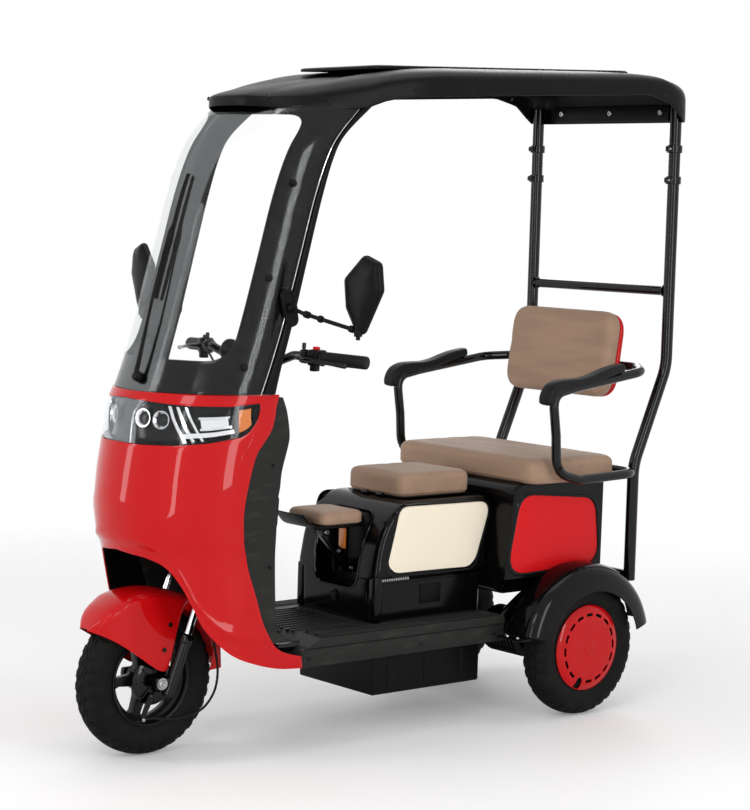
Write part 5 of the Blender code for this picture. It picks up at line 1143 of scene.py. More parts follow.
def armrests():
    """One tube that loops over both sides and behind the bench and the backrest, and two shaped pads."""
    lean = math.radians(8)
    tie_y = 0.705 + (0.022 + 0.0003 + 0.020 + 0.0003 + RAIL_RADIUS + math.sin(lean) * (0.925 - 0.955)) / math.cos(lean)
    loop_y = 0.732 - POST_RADIUS - 0.0003 - RAIL_RADIUS
    half = [(0.0, tie_y, 0.925), (0.240, tie_y, 0.925), (ARMREST_X, 0.700, 0.918), (ARMREST_X, 0.450, 0.882),
            (ARMREST_X, 0.368, 0.866), (ARMREST_X, 0.385, 0.760), (ARMREST_X, 0.392, 0.660),
            (ARMREST_X, 0.480, 0.637), (ARMREST_X, loop_y, 0.645), (0.0, loop_y, 0.645)]
    left = filleted(half, 0.060, 12)
    route = even(np.concatenate([left[::-1], mirrored(left[1:], -1)]), 520)
    piece("armrest_tube", tube(route, RAIL_RADIUS, 24), "black_steel", "body", ["armrest_frame"])
    line = even(along(np.array([(0.3500, 0.838), (0.3500, 0.858), (0.3620, 0.8770), (0.3860, 0.8885),
                                (0.4200, 0.8930), (0.4600, 0.8955), (0.5000, 0.9020), (0.5450, 0.9150),
                                (0.5850, 0.9250), (0.6250, 0.9320)]), 16), 130)
    share = np.linspace(0, 1, len(line))
    wide = np.interp(share, [0, 0.15, 0.45, 0.8, 1], [0.0220, 0.0240, 0.0210, 0.0205, 0.0170])
    high = np.interp(share, [0, 0.15, 0.45, 0.8, 1], [0.0150, 0.0165, 0.0120, 0.0130, 0.0115])
    close = np.sqrt(np.clip(1 - (1 - np.clip(np.minimum(share, 1 - share) / 0.03, 0, 1)) ** 2, 0.02, 1))
    for side, sign in SIDES:
        ahead = unit(np.gradient(line, axis=0))
        up = np.stack([-ahead[:, 1], ahead[:, 0]], 1)
        a = np.linspace(0, 2 * np.pi, 40, endpoint=False)
        round_x = np.sign(np.cos(a)) * np.abs(np.cos(a)) ** 0.55
        round_z = np.sign(np.sin(a)) * np.abs(np.sin(a)) ** 0.55
        x = sign * ARMREST_X + (wide * close)[:, None] * round_x
        rise = (high * close)[:, None] * round_z
        rows = np.concatenate([x[..., None], line[:, None] + rise[..., None] * up[:, None]], -1)
        piece(f"armrest_grip_{side}", Patch(rows, around=True, caps=True), "grip_rubber", "body",
              [f"armrest_pad_{side}"], sharp=50)


def frame_tubes():
    """Floor rails, straps and head tube keep their CAD shape, with bolts on the battery straps."""
    dress("main_frame", "black_steel")
    bolts = [bolt((sign * 0.130, y, 0.2075), (0, 0, -1), 0.005, 0.003)
             for y in (-0.050, 0.255) for _, sign in SIDES]
    piece("strap_bolts", bolts, "steel", "body", sharp=30)


# Deck and battery
DECK_TOP_Z, DECK_BOTTOM_Z = 0.283, 0.214
DECK_FRONT_Y, DECK_REAR_Y = -0.377, 0.300
DECK_HALF = 0.232


def deck():
    """Floor moulding: a rounded section along the sides, ribs in the foot well and on the foot boards."""
    outline = [(DECK_FRONT_Y, DECK_BOTTOM_Z), (DECK_FRONT_Y, 0.244), (-0.357, 0.263), (-0.317, DECK_TOP_Z),
               (DECK_REAR_Y, DECK_TOP_Z), (DECK_REAR_Y, DECK_BOTTOM_Z)]
    profile = filleted(outline, 0.014, 6)
    x = np.array([DECK_HALF - 0.0045, DECK_HALF - 0.0012, DECK_HALF, DECK_HALF, DECK_HALF - 0.002])
    drop = np.array([0.0, 0.0012, 0.0045, 0.022, 0.024])
    rows = []
    for across, down in zip(np.concatenate([-x[::-1], x]), np.concatenate([drop[::-1], drop])):
        z = np.minimum(profile[:, 1], np.maximum(DECK_TOP_Z - down, DECK_BOTTOM_Z + 0.010))
        rows.append(np.column_stack([np.full(len(profile), across), profile[:, 0], z]))
    top = Patch(np.stack(rows))
    skirts, ribs, pads = [], [], []
    for _, sign in SIDES:
        skirts.append(brick((sign * 0.2120, DECK_FRONT_Y + 0.001, DECK_BOTTOM_Z),
                            (sign * 0.2305, DECK_REAR_Y, 0.2585), 0.003))
        low, high = sorted((sign * 0.165, sign * 0.219))
        pads.append(brick((low, -0.287, 0.281), (high, 0.286, 0.2848), 0.0018))
        for x_rib in np.linspace(0.171, 0.213, 6):
            ribs.append(brick((sign * x_rib - 0.0021, -0.275, 0.2830), (sign * x_rib + 0.0021, 0.274, 0.2864),
                              0.0014, 2))
    for x_rib in np.linspace(-0.120, 0.120, 11):
        ribs.append(brick((x_rib - 0.0030, -0.345 + 0.02, 0.2805), (x_rib + 0.0030, -0.118, 0.2862), 0.0016, 2))
    piece("deck_top", [top], "deck_plastic", "body", ["floor_deck"], wall=0.004, inside=(0, 0, 0.1),
          bevel=0.0008, bevel_above=60)
    piece("deck_skirts", skirts, "deck_plastic", "body", sharp=30)
    piece("deck_pads", pads + ribs, "deck_plastic", "body", sharp=30)
    screws = [bolt((sign * 0.2325, y, 0.236), (sign, 0, 0), 0.0045, 0.002)
              for y in (-0.355, 0.010, 0.262) for _, sign in SIDES]
    screws += [bolt((sign * x, y, 0.2845), (0, 0, 1), 0.0050, 0.0012)
               for x, y in ((0.150, -0.300), (0.190, -0.303), (0.100, -0.322)) for _, sign in SIDES]
    piece("deck_screws", screws, "black_steel", "body", sharp=30)


def battery():
    """Welded battery tray: a box with a rolled rim, ribs pressed in its sides and corner bolts."""
    tray = brick((-0.150, -0.080, 0.095), (0.150, 0.290, 0.208), 0.006, 4)
    ribs = [brick((sign * 0.1490, y - 0.012, 0.115), (sign * 0.1515, y + 0.012, 0.190), 0.0012)
            for y in (-0.020, 0.105, 0.230) for _, sign in SIDES]
    rim = [brick((-0.1515, -0.0815, 0.198), (0.1515, -0.0785, 0.2075), 0.0014),
           brick((-0.1515, 0.2885, 0.198), (0.1515, 0.2915, 0.2075), 0.0014)]
    rim += [brick((sign * 0.1485, -0.0815, 0.198), (sign * 0.1515, 0.2915, 0.2075), 0.0014) for _, sign in SIDES]
    piece("battery_tray", [tray] + ribs + rim, "satin_black", "body", ["battery_box"], sharp=30)


# Rider's pedestal
SEAT_BOX_LEVELS = np.array([(0.2833, -0.0880, 0.1410), (0.330, -0.0890, 0.1410), (0.385, -0.0898, 0.1410),
                            (0.392, -0.0898, 0.1440), (0.400, -0.0898, 0.1600), (0.440, -0.0840, 0.1600),
                            (0.480, -0.0760, 0.1600), (0.505, -0.0670, 0.1600), (0.530, -0.0540, 0.1598),
                            (0.552, -0.0370, 0.1592), (0.568, -0.0180, 0.1580), (0.578, -0.0030, 0.1560),
                            (0.585, 0.0120, 0.1520), (0.5880, 0.0240, 0.1460)])
SEAT_BOX_REAR_Y = 0.296


def seat_box():
    """Pedestal: rounded rectangles in plan, one for each height, with the jump seat's recess cut in."""
    rows = []
    for z, front, half in along(SEAT_BOX_LEVELS, 4):
        loop = rounded_loop([(-half, front), (half, front), (half, SEAT_BOX_REAR_Y), (-half, SEAT_BOX_REAR_Y)],
                            0.020, 6)
        rows.append(np.column_stack([loop, np.full(len(loop), z)]))
    rows = np.stack(rows)
    inner = rows[-1] * (0.86, 1, 1)
    inner[:, 1] = 0.16 + (inner[:, 1] - 0.16) * 0.86
    well = inner - (0, 0, 0.150)
    body = Patch(np.concatenate([rows, inner[None], well[None]]), around=True, caps=True)
    made = piece("seat_pedestal", body, "gloss_black", "body", ["seat_box"], sharp=30)
    outline = rounded_loop([(-0.085, 0.362), (0.085, 0.362), (0.096, 0.556), (-0.096, 0.556)], 0.040, 10)
    outline = even(outline, 96, closed=True)
    centre = np.array([0.0, 0.455])
    hollow(made, "recess", slab(outline, -0.20, -0.028, "Y"))
    rim = []
    depth = np.interp(outline[:, 1], SEAT_BOX_LEVELS[:, 0], SEAT_BOX_LEVELS[:, 1])
    for share, back in ((1.035, 0.0030), (1.045, -0.0010), (1.030, -0.0026), (1.005, -0.0020), (0.985, 0.0015),
                        (0.975, 0.0080)):
        flat = centre + (outline - centre) * share
        rim.append(np.column_stack([flat[:, 0], depth + back, flat[:, 1]]))
    piece("recess_rim", Patch(np.stack(rim), around=True), "gloss_black", "body", inside=(0, 0.3, 0.455))
    liner = []
    for share, y in ((0.992, -0.070), (0.985, -0.045), (0.965, -0.033), (0.92, -0.0290), (0.5, -0.0285), (0, -0.0285)):
        flat = centre + (outline - centre) * share
        liner.append(np.column_stack([flat[:, 0], np.full(len(flat), y), flat[:, 1]]))
    piece("recess_back", Patch(np.stack(liner), around=True), "satin_black", "body", inside=(0, 0.3, 0.455))
    cap = [turned([(0.0, 0.0035), (0.0085, 0.0035), (0.0095, 0.0020), (0.0110, 0.0020), (0.0130, 0.0040),
                   (0.0150, 0.0030), (0.0155, 0.0), (0.0, 0.0)], (0, -0.0895, 0.335), (0, -1, 0), 40)]
    cap += [brick((-0.010, -0.0940, z - 0.0012), (0.010, -0.0915, z + 0.0012), 0.0008) for z in (0.330, 0.335, 0.340)]
    piece("vent_cap", cap, "satin_black", "body", sharp=30)
    flanges = [brick((sign * 0.1330, -0.0893, 0.2836), (sign * 0.1600, -0.0620, 0.4020), 0.007, 4) for _, sign in SIDES]
    piece("pedestal_flanges", flanges, "gloss_black", "body", sharp=30)
    ledge_parts, slats, plates = [], [], []
    for _, sign in SIDES:
        low, high = sorted((sign * 0.1405, sign * 0.1500))
        ledge_parts.append(brick((low, -0.070, 0.381), (high, 0.285, 0.3870), 0.0020))
        for y in np.linspace(-0.055, 0.030, 12):
            slats.append(brick((low, y - 0.0022, 0.3860), (high, y + 0.0022, 0.3930), 0.0010, 2))
        low, high = sorted((sign * 0.1405, sign * 0.1432))
        plates.append(brick((low, 0.078, 0.318), (high, 0.150, 0.368), 0.0010))
    piece("pedestal_ledges", ledge_parts, "gloss_black", "body", sharp=30)
    piece("pedestal_slats", slats, "steel", "body", sharp=30)
    piece("pedestal_plates", plates, "satin_black", "body", sharp=30)


def crowned_panel(corners, radius, x, rise, sign, steps=10):
    """A panel over a rounded outline: each ring is the outline drawn in, raised by rise (1 - s^4)."""
    outline = even(rounded_loop(corners, radius, steps), 160, closed=True)
    centre = outline.mean(0)
    rings = []
    for share, out in ((1.0, -0.0050), (1.0, -0.0012), (0.992, 0.0), (0.97, 0.0006), (0.90, 0.0012 + rise * 0.34),
                       (0.75, 0.0012 + rise * 0.68), (0.5, 0.0012 + rise * 0.94), (0.25, 0.0012 + rise), (0, 0.0012 + rise)):
        flat = centre + (outline - centre) * share
        rings.append(np.column_stack([np.full(len(flat), sign * (x + out)), flat]))
    return Patch(np.stack(rings), around=True)


FRONT_PANEL = [(-0.058, 0.404), (-0.012, 0.578), (0.305, 0.575), (0.248, 0.402)]
REAR_PANEL = [(0.296, 0.386), (0.340, 0.598), (0.618, 0.574), (0.640, 0.396)]


def panel_recess(corners, radius, x, sign):
    """The moulded frame around a panel: rings of its outline, from the body out and down into the seat."""
    outline = even(rounded_loop(corners, radius, 10), 160, closed=True)
    centre = outline.mean(0)
    rings = []
    for share, out in ((1.075, -0.0015), (1.060, 0.0020), (1.035, 0.0026), (1.012, 0.0018), (1.004, -0.0010),
                       (1.003, -0.0050)):
        flat = centre + (outline - centre) * share
        rings.append(np.column_stack([np.full(len(flat), sign * (x + out)), flat]))
    return Patch(np.stack(rings), around=True)


def side_panels():
    """Cream panels on the pedestal and red ones on the bench's body, each in a moulded frame."""
    for side, sign in SIDES:
        piece(f"cream_panel_{side}", crowned_panel(FRONT_PANEL, 0.034, 0.1600, 0.0022, sign), "panel_cream",
              "body", [f"side_panel_front_{side}"], inside=(0, 0.12, 0.49))
        piece(f"cream_frame_{side}", panel_recess(FRONT_PANEL, 0.034, 0.1600, sign), "gloss_black", "body",
              inside=(0, 0.12, 0.49))
        piece(f"red_panel_{side}", crowned_panel(REAR_PANEL, 0.055, 0.2360, 0.0030, sign), "panel_red", "body",
              [f"side_panel_rear_{side}"], inside=(0, 0.47, 0.49))
        piece(f"red_frame_{side}", panel_recess(REAR_PANEL, 0.055, 0.2360, sign), "gloss_black", "body",
              inside=(0, 0.47, 0.49))


def rear_box():
    """The bench's body: a rounded side outline carried across, its rear corners drawn in, and tail lamps."""
    corners = [(0.288, 0.350), (0.318, 0.626), (0.712, 0.626), (0.712, 0.330), (0.320, 0.330)]
    outline = even(rounded_loop(corners, 0.040, 10), 150, closed=True)
    centre = np.array([0.506, 0.478])
    rows = []
    for x, inset in ((0.0, 0.0), (0.130, 0.0), (0.165, 0.0), (0.200, 0.0), (0.2270, 0.0), (0.2320, 0.0012),
                     (0.2352, 0.0045), (0.2360, 0.010)):
        flat = centre + (outline - centre) * (1 - inset / 0.20)
        flat[:, 0] = np.minimum(flat[:, 0], np.interp(x, [0.140, 0.165, 0.236], [0.712, 0.706, 0.648]))
        rows.append(np.column_stack([np.full(len(flat), x), flat]))
    rows = [row * (-1, 1, 1) for row in rows[:0:-1]] + rows
    made = piece("bench_body", Patch(np.stack(rows), around=True, caps=True), "gloss_black", "body", ["rear_box"],
                 sharp=30)
    for _, sign in SIDES:
        space = brick((sign * 0.190, 0.25, 0.30), (sign * 0.300, 0.80, 0.376), 0.004)
        hollow(made, "wheel_space", space)
    lamps = [brick((sign * 0.085, 0.7125, 0.522), (sign * 0.135, 0.7240, 0.558), 0.004, 4) for _, sign in SIDES]
    bases = [brick((sign * 0.081, 0.7105, 0.517), (sign * 0.139, 0.7160, 0.563), 0.002) for _, sign in SIDES]
    piece("tail_lamps", lamps, "lamp_red", "body", ["tail_lamp_left", "tail_lamp_right"], sharp=30)
    piece("tail_lamp_bases", bases, "satin_black", "body", sharp=30)


def hollow(made, name, patch):
    """Cuts a closed patch out of a piece."""
    tool = bpy.data.objects.new(name, mesh_of(name, [patch]))
    bpy.context.scene.collection.objects.link(tool)
    cut = made.modifiers.new(name, "BOOLEAN")
    cut.object, cut.operation, cut.solver = tool, "DIFFERENCE", "EXACT"
    settle(made, 30)
    bpy.data.objects.remove(tool)


def axle():
    """The rear axle and its motor keep their CAD shape, with cooling ribs on the motor's case."""
    dress("rear_axle", "black_steel")
    ribs = [turned([(0.058, -0.0016), (0.0645, -0.0012), (0.0645, 0.0012), (0.058, 0.0016), (0.058, -0.0016)],
                   (x, REAR_AXLE_Y, WHEEL_RADIUS), (1, 0, 0), 48) for x in np.linspace(-0.036, 0.076, 9)]
    piece("motor_ribs", ribs, "satin_black", "body", sharp=30)


# Steering
STEER_FOOT = np.array((0.0, -0.647, WHEEL_RADIUS))
RAKE = math.radians(21)
STEER_UP = np.array((0.0, math.sin(RAKE), math.cos(RAKE)))
STEER_AHEAD = np.array((0.0, -math.cos(RAKE), math.sin(RAKE)))
FORK_X = 0.070


def steer_point(x, z, ahead=0.0):
    """The point of the steering axis at a height, moved across by x and forward by ahead."""
    return STEER_FOOT + (x, 0, 0) + STEER_UP * (z - WHEEL_RADIUS) / math.cos(RAKE) + STEER_AHEAD * ahead


def fork():
    """Crown, steerer, bright upper tubes, black sliders with dust seals, axle nuts and fender tabs."""
    black_parts, bright_parts, nuts = [], [], []
    crown = steer_point(0, 0.450)
    block = brick((-0.090, -0.022, -0.014), (0.090, 0.022, 0.014), 0.006, 4)
    black_parts.append(block.turned(turn_about("X", -21)).moved(crown))
    black_parts.append(tube(np.linspace(steer_point(0, 0.445), steer_point(0, 0.889), 6), 0.0130, 28, 0.001))
    for _, sign in SIDES:
        x = sign * FORK_X
        bright_parts.append(tube(np.linspace(steer_point(x, 0.270), steer_point(x, 0.459), 6), 0.0122, 32, 0.001))
        for level, radius in ((0.436, 0.0185), (0.462, 0.0165)):
            black_parts.append(turned([(0.0, -0.010), (radius - 0.001, -0.010), (radius, -0.009), (radius, 0.003),
                                       (radius - 0.002, 0.005), (0.0, 0.005)], steer_point(x, level), STEER_UP, 32))
        slider = [(0.0, -0.036), (0.012, -0.036), (0.0155, -0.032), (0.0160, -0.026), (0.0160, 0.096),
                  (0.0175, 0.098), (0.0182, 0.102), (0.0182, 0.112), (0.0172, 0.116), (0.0150, 0.120),
                  (0.0, 0.120)]
        black_parts.append(turned(slider, STEER_FOOT + (x, 0, 0), STEER_UP, 36))
        black_parts.append(brick((x - 0.009, -0.696, WHEEL_RADIUS - 0.016), (x + 0.009, -0.647, WHEEL_RADIUS + 0.016),
                                 0.006, 4))
        low, high = sorted((sign * 0.0530, x))
        black_parts.append(brick((low, -0.590, 0.334), (high, -0.566, 0.349), 0.003))
        end = np.array((sign * 0.0790, FRONT_AXLE[1], WHEEL_RADIUS))
        nuts.append(turned([(0, 0.0100), (0.0055, 0.0100), (0.0062, 0.0080), (0.0062, 0.0070), (0.0100, 0.0070),
                            (0.0110, 0.0060), (0.0110, 0.0008), (0.0145, 0.0006), (0.0145, -0.001), (0, -0.001)],
                           end, (sign, 0, 0), 24))
        nuts.append(bolt(steer_point(x, 0.4665), STEER_UP, 0.008, 0.003, 24))
    black_parts.append(tube(np.linspace((-0.079, -0.680, WHEEL_RADIUS), (0.079, -0.680, WHEEL_RADIUS), 5), 0.0084, 24))
    piece("fork_black", black_parts, "black_steel", "steering", ["steering_fork"], sharp=30)
    piece("fork_bright", bright_parts, "chrome", "steering", sharp=30)
    piece("fork_nuts", nuts, "steel", "steering", sharp=30)


BRAKE_PIVOT = np.array((-0.692, 0.150))
BRAKE_LEVER = [(-0.701, 0.156), (-0.684, 0.148), (-0.710, 0.102), (-0.710, 0.090), (-0.722, 0.090),
               (-0.722, 0.100)]
CABLE_DIAMETER = 0.006
CABLE_ROUTE = [(0.052, -0.7097, 0.096), (0.052, -0.690, 0.096), (0.058, -0.650, 0.091),
               (0.064, -0.600, 0.091), (0.070, -0.553, 0.107), (0.073, -0.522, 0.145),
               (0.072, -0.512, 0.195), (0.068, -0.519, 0.250), (0.061, -0.531, 0.308),
               (0.050, -0.551, 0.355), (0.040, -0.5654, 0.3956), (0.040, -0.5575, 0.4161),
               (0.040, -0.5496, 0.4367)]


def brake_cable():
    """The front brake's cable: a circle carried along its route, from the lever's eye up to the crown."""
    route = along(np.array(CABLE_ROUTE), 8)
    made = piece("front_brake_cable", tube(route, CABLE_DIAMETER / 2, 12), "grip_rubber", "steering",
                 ["brake_cable"])


def brake():
    """Front drum's backing plate with its ribs, pivot and lever, and the clevis on the cable's end."""
    place = np.array((0.044, FRONT_AXLE[1], WHEEL_RADIUS))
    plate = turned([(0.0095, 0.0), (0.040, 0.0), (0.052, -0.003), (0.058, -0.006), (0.058, -0.0095),
                    (0.0095, -0.0095), (0.0095, 0.0)], place, (1, 0, 0), 64)
    ribs = [slab(rounded_loop([(0.016, -0.0022), (0.050, -0.0014), (0.050, 0.0014), (0.016, 0.0022)], 0.001, 3),
                 0.0435, 0.0475).turned(turn_about("X", k * 45)).moved((0, place[1], place[2])) for k in range(8)]
    lever = slab(rounded_loop(BRAKE_LEVER, 0.004, 5), 0.050, 0.054)
    pivot = turned([(0, 0.0135), (0.0050, 0.0135), (0.0070, 0.0115), (0.0070, -0.006), (0, -0.006)],
                   (0.044, *BRAKE_PIVOT), (1, 0, 0), 24)
    piece("brake_plate", [plate, pivot, lever] + ribs, "black_steel", "steering", sharp=30)
    clevis = turned([(0, 0.0040), (0.0038, 0.0040), (0.0046, 0.0030), (0.0046, 0.0003), (0, 0.0003)],
                    (0.054, -0.7160, 0.096), (1, 0, 0), 20)
    piece("brake_clevis", clevis, "steel", "steering", sharp=30)


GRIP_END = np.array((0.359, -0.308, 0.965))
GRIP_SWEEP = math.radians(20)
BAR_CLAMP_Z = 0.908


def bar_route():
    """The left half of the bar, from the grip's end down to the clamp."""
    out = np.array((math.cos(GRIP_SWEEP), math.sin(GRIP_SWEEP), 0.0))
    inner = GRIP_END - out * 0.205 + (0, 0, 0.007)
    middle = steer_point(0, BAR_CLAMP_Z)[1]
    return np.array([GRIP_END - out * 0.004, inner, (0.105, middle - 0.006, BAR_CLAMP_Z + 0.045),
                     (0.060, middle, BAR_CLAMP_Z), (0.0, middle, BAR_CLAMP_Z)])


def handlebar():
    """Bent bar with its clamp, ribbed grips, switch pods, a red button, levers and their cables."""
    left = bar_route()
    route = filleted(np.concatenate([left, mirrored(left[-2::-1], -1)]), 0.030, 10)
    clamp = brick((-0.030, -0.020, -0.018), (0.030, 0.020, 0.018), 0.006, 4)
    clamp = clamp.turned(turn_about("X", -21)).moved(steer_point(0, BAR_CLAMP_Z))
    piece("handlebar_bar", [tube(even(route, 200), 0.0110, 24, 0.001), clamp], "black_steel", "steering",
          ["handlebar"], sharp=30)
    piece("clamp_bolts", [bolt(steer_point(x, BAR_CLAMP_Z, d) + STEER_UP * 0.0185, STEER_UP, 0.0045, 0.004)
                          for x in (-0.021, 0.021) for d in (-0.013, 0.013)], "steel", "steering", sharp=30)
    pods, buttons, levers = [], [], []
    for side, sign in SIDES:
        direction = unit(mirrored(left[0] - left[1], sign))
        end = mirrored(GRIP_END, sign)
        start = end - direction * 0.125
        profile = [(0.0, 0.125), (0.0125, 0.125), (0.0150, 0.1235), (0.0160, 0.120)]
        for k in range(14):
            h = 0.114 - k * 0.0078
            profile += [(0.0160, h), (0.0152, h - 0.0010), (0.0152, h - 0.0022), (0.0160, h - 0.0032)]
        profile += [(0.0162, 0.0052), (0.0198, 0.0036), (0.0200, 0.0006), (0.0190, 0.0), (0.0118, 0.0)]
        piece(f"hand_grip_{side}", turned(profile, start, direction, 40), "grip_rubber", "steering",
              [f"grip_{side}"], sharp=30)
        pod_spot = start - direction * 0.0180
        pods.append(oriented(brick((-0.0150, -0.0185, -0.0200), (0.0150, 0.0185, 0.0190), 0.006, 4), direction, pod_spot))
        pods.append(oriented(brick((-0.0075, -0.0160, -0.0330), (0.0100, 0.0060, -0.0170), 0.003, 3), direction, pod_spot))
        buttons.append(oriented(brick((-0.0070, -0.0070, 0.0180), (0.0070, 0.0070, 0.0262), 0.0022, 3), direction,
                                pod_spot))
        perch = start - direction * 0.050
        levers.append(oriented(turned([(0.0112, -0.008), (0.0165, -0.008), (0.0175, -0.006), (0.0175, 0.006),
                                       (0.0165, 0.008), (0.0112, 0.008), (0.0112, -0.008)], (0, 0, 0), (1, 0, 0), 32),
                               direction, perch))
        levers.append(oriented(brick((-0.010, -0.036, -0.006), (0.010, -0.012, 0.006), 0.003), direction, perch))
        levers.append(oriented(turned([(0, 0.019), (0.0042, 0.019), (0.0050, 0.0170), (0.0050, 0.006), (0.0036, 0.005),
                                       (0.0036, -0.001), (0, -0.001)], (0, -0.005, 0.014), (0, 0, 1), 20),
                               direction, perch))
        line = along(np.array([(-0.006, -0.033, 0.0), (0.012, -0.045, -0.001), (0.040, -0.049, -0.003),
                               (0.080, -0.047, -0.006), (0.118, -0.042, -0.009), (0.142, -0.040, -0.010)]), 10)
        width = np.interp(np.linspace(0, 1, len(line)), [0, 0.15, 0.7, 0.95, 1], [0.0052, 0.0048, 0.0044, 0.0060, 0.0040])
        levers.append(oriented(tube(line, width, 16, 0.001), direction, perch))
    piece("switch_pods", pods, "satin_black", "steering", sharp=30)
    piece("switch_button", buttons[:1], "button_red", "steering", sharp=30)
    piece("switch_button_right", buttons[1:], "satin_black", "steering", sharp=30)
    piece("brake_levers", levers, "black_steel", "steering", sharp=30)
    cables = []
    for _, sign in SIDES:
        perch = mirrored(GRIP_END - unit(left[0] - left[1]) * 0.175, sign)
        points = np.array([perch + (-sign * 0.008, -0.026, 0.000), perch + (-sign * 0.040, -0.036, -0.006),
                           (sign * 0.110, -0.415, 0.938), (sign * 0.062, -0.425, 0.915),
                           (sign * 0.030, -0.425, 0.890), (sign * 0.020, -0.4365, 0.850)])
        cables.append(tube(along(points, 10), 0.0027, 12))
    piece("handlebar_cables", cables, "grip_rubber", "steering")


def oriented(patch, direction, spot):
    """A patch whose own X axis is laid along a direction near the vehicle's X axis, with Z kept up."""
    across = unit(np.asarray(direction, float))
    ahead = unit(np.cross((0.0, 0.0, 1.0), across))
    if across[0] < 0:
        ahead = -ahead
    up = np.cross(across, ahead)
    if up[2] < 0:
        up = -up
    return Patch(patch.points @ np.stack([across, ahead, up]) + spot, patch.around, patch.keep, patch.caps)


def instrument():
    """Round display: shell, bezel, dark glass and a plain ring, on its bracket."""
    spot = np.array((0.0, -0.440, 0.965))
    tilt = math.radians(-50)
    axis = np.array((0.0, -math.sin(tilt), math.cos(tilt)))
    shell = turned([(0, -0.024), (0.016, -0.022), (0.026, -0.0175), (0.0315, -0.010), (0.0355, 0.002),
                    (0.0360, 0.008), (0.0350, 0.0145), (0.0325, 0.0185), (0.0290, 0.0215), (0.0275, 0.0212),
                    (0.0268, 0.0185), (0, 0.0185)], spot, axis, 64)
    piece("display_shell", shell, "satin_black", "steering", ["instrument_pod"], sharp=32)
    glass = turned([(0, 0.0205), (0.018, 0.0203), (0.0262, 0.0195), (0.0264, 0.0180), (0, 0.0180)], spot, axis, 64)
    piece("display_glass", glass, "gloss_black", "steering", sharp=32)
    ring = turned([(0.0272, 0.0208), (0.0280, 0.0220), (0.0292, 0.0220), (0.0298, 0.0205), (0.0272, 0.0208)],
                  spot, axis, 64)
    piece("display_ring", ring, "steel", "steering", sharp=32)
    bracket = slab(rounded_loop([(-0.4395, 0.940), (-0.4155, 0.905), (-0.4080, 0.915), (-0.4230, 0.962),
                                 (-0.4420, 0.962)], 0.004, 4), -0.012, 0.012)
    piece("display_bracket", bracket, "black_steel", "steering", bevel=0.001, bevel_above=50)


# Folding jump seat
def jump_seat():
    """Pan with a slanted front lip, pin and lugs, strut, upright with an amber reflector."""
    pan = brick((-0.072, -0.205, 0.5200), (0.072, -0.062, 0.5288), 0.004, 3)
    lip_rows = []
    for y, z, half in ((-0.196, 0.5235, 0.070), (-0.212, 0.5285, 0.066), (-0.227, 0.5400, 0.061),
                       (-0.239, 0.5520, 0.058), (-0.2460, 0.5600, 0.056)):
        lip_rows.append([(-half, y, z), (-half * 0.5, y - 0.003, z), (0, y - 0.004, z), (half * 0.5, y - 0.003, z),
                         (half, y, z)])
    lip = Patch(refine(lip_rows, 4, 4))
    piece("jump_pan_lip", lip, "satin_black", "jump_seat", wall=0.0035, inside=(0, -0.22, 0.48), bevel=0.0008)
    lugs = []
    for sign in (1, -1):
        low, high = sorted((sign * 0.0148, sign * 0.0198))
        lugs.append(slab(rounded_loop([(-0.152, 0.524), (-0.124, 0.524), (-0.128, 0.493), (-0.148, 0.493)], 0.006, 5),
                         low, high))
    pin = turned([(0, 0.0215), (0.0042, 0.0215), (0.0045, 0.0205), (0.0045, -0.0205), (0.0042, -0.0215), (0, -0.0215)],
                 (0, -0.138, 0.503), (1, 0, 0), 24)
    piece("jump_pan", [pan] + lugs, "satin_black", "jump_seat", ["jump_seat_pan"], sharp=30)
    heads = [turned([(0, 0.0030), (0.0060, 0.0028), (0.0075, 0.0012), (0.0075, 0.0), (0, 0.0)],
                    (sign * 0.0200, -0.138, 0.503), (sign, 0, 0), 24) for sign in (1, -1)]
    piece("jump_pin", [pin] + heads, "steel", "jump_seat", sharp=30)
    eye, foot = np.array((-0.138, 0.503)), np.array((-0.0403, 0.395))
    across = unit(np.array((-(eye - foot)[1], (eye - foot)[0]))) * 0.0105
    strut = rounded_loop([eye + across, eye - across, foot - across, (-0.0283, 0.385), (-0.0283, 0.414),
                          foot + across], 0.004, 4)
    arm = [slab(strut, -0.012, 0.012)]
    eye_tube = turned([(0.0055, -0.0138), (0.0105, -0.0138), (0.0112, -0.0130), (0.0112, 0.0130), (0.0105, 0.0138),
                       (0.0055, 0.0138), (0.0055, -0.0138)], (0, -0.138, 0.503), (1, 0, 0), 36)
    stop = brick((-0.0100, -0.067, 0.4180), (0.0100, -0.055, 0.5195), 0.002)
    piece("jump_strut", arm + [eye_tube], "black_steel", "body", ["jump_seat_arm"], sharp=30, bevel=0.0008,
          bevel_above=50)
    piece("jump_upright", [stop, brick((-0.017, -0.0575, 0.415), (0.017, -0.0290, 0.424), 0.002)], "satin_black",
          "body", sharp=30)
    # The amber look glows, so this reflector, which is no lamp, shows painted glow.
    reflector = brick((-0.0125, -0.0725, 0.455), (0.0125, -0.0668, 0.508), 0.0015, 3)
    piece("jump_reflector", reflector, "amber", "body", sharp=30)
    middle = (eye + foot) / 2
    bolts = [bolt((sign * 0.0122, middle[0] + dy, middle[1] + dz), (sign, 0, 0), 0.0058, 0.0030)
             for dy, dz in ((-0.002, 0.002), (0.042, -0.046)) for sign in (1, -1)]
    piece("jump_bolts", bolts, "steel", "body", sharp=30)


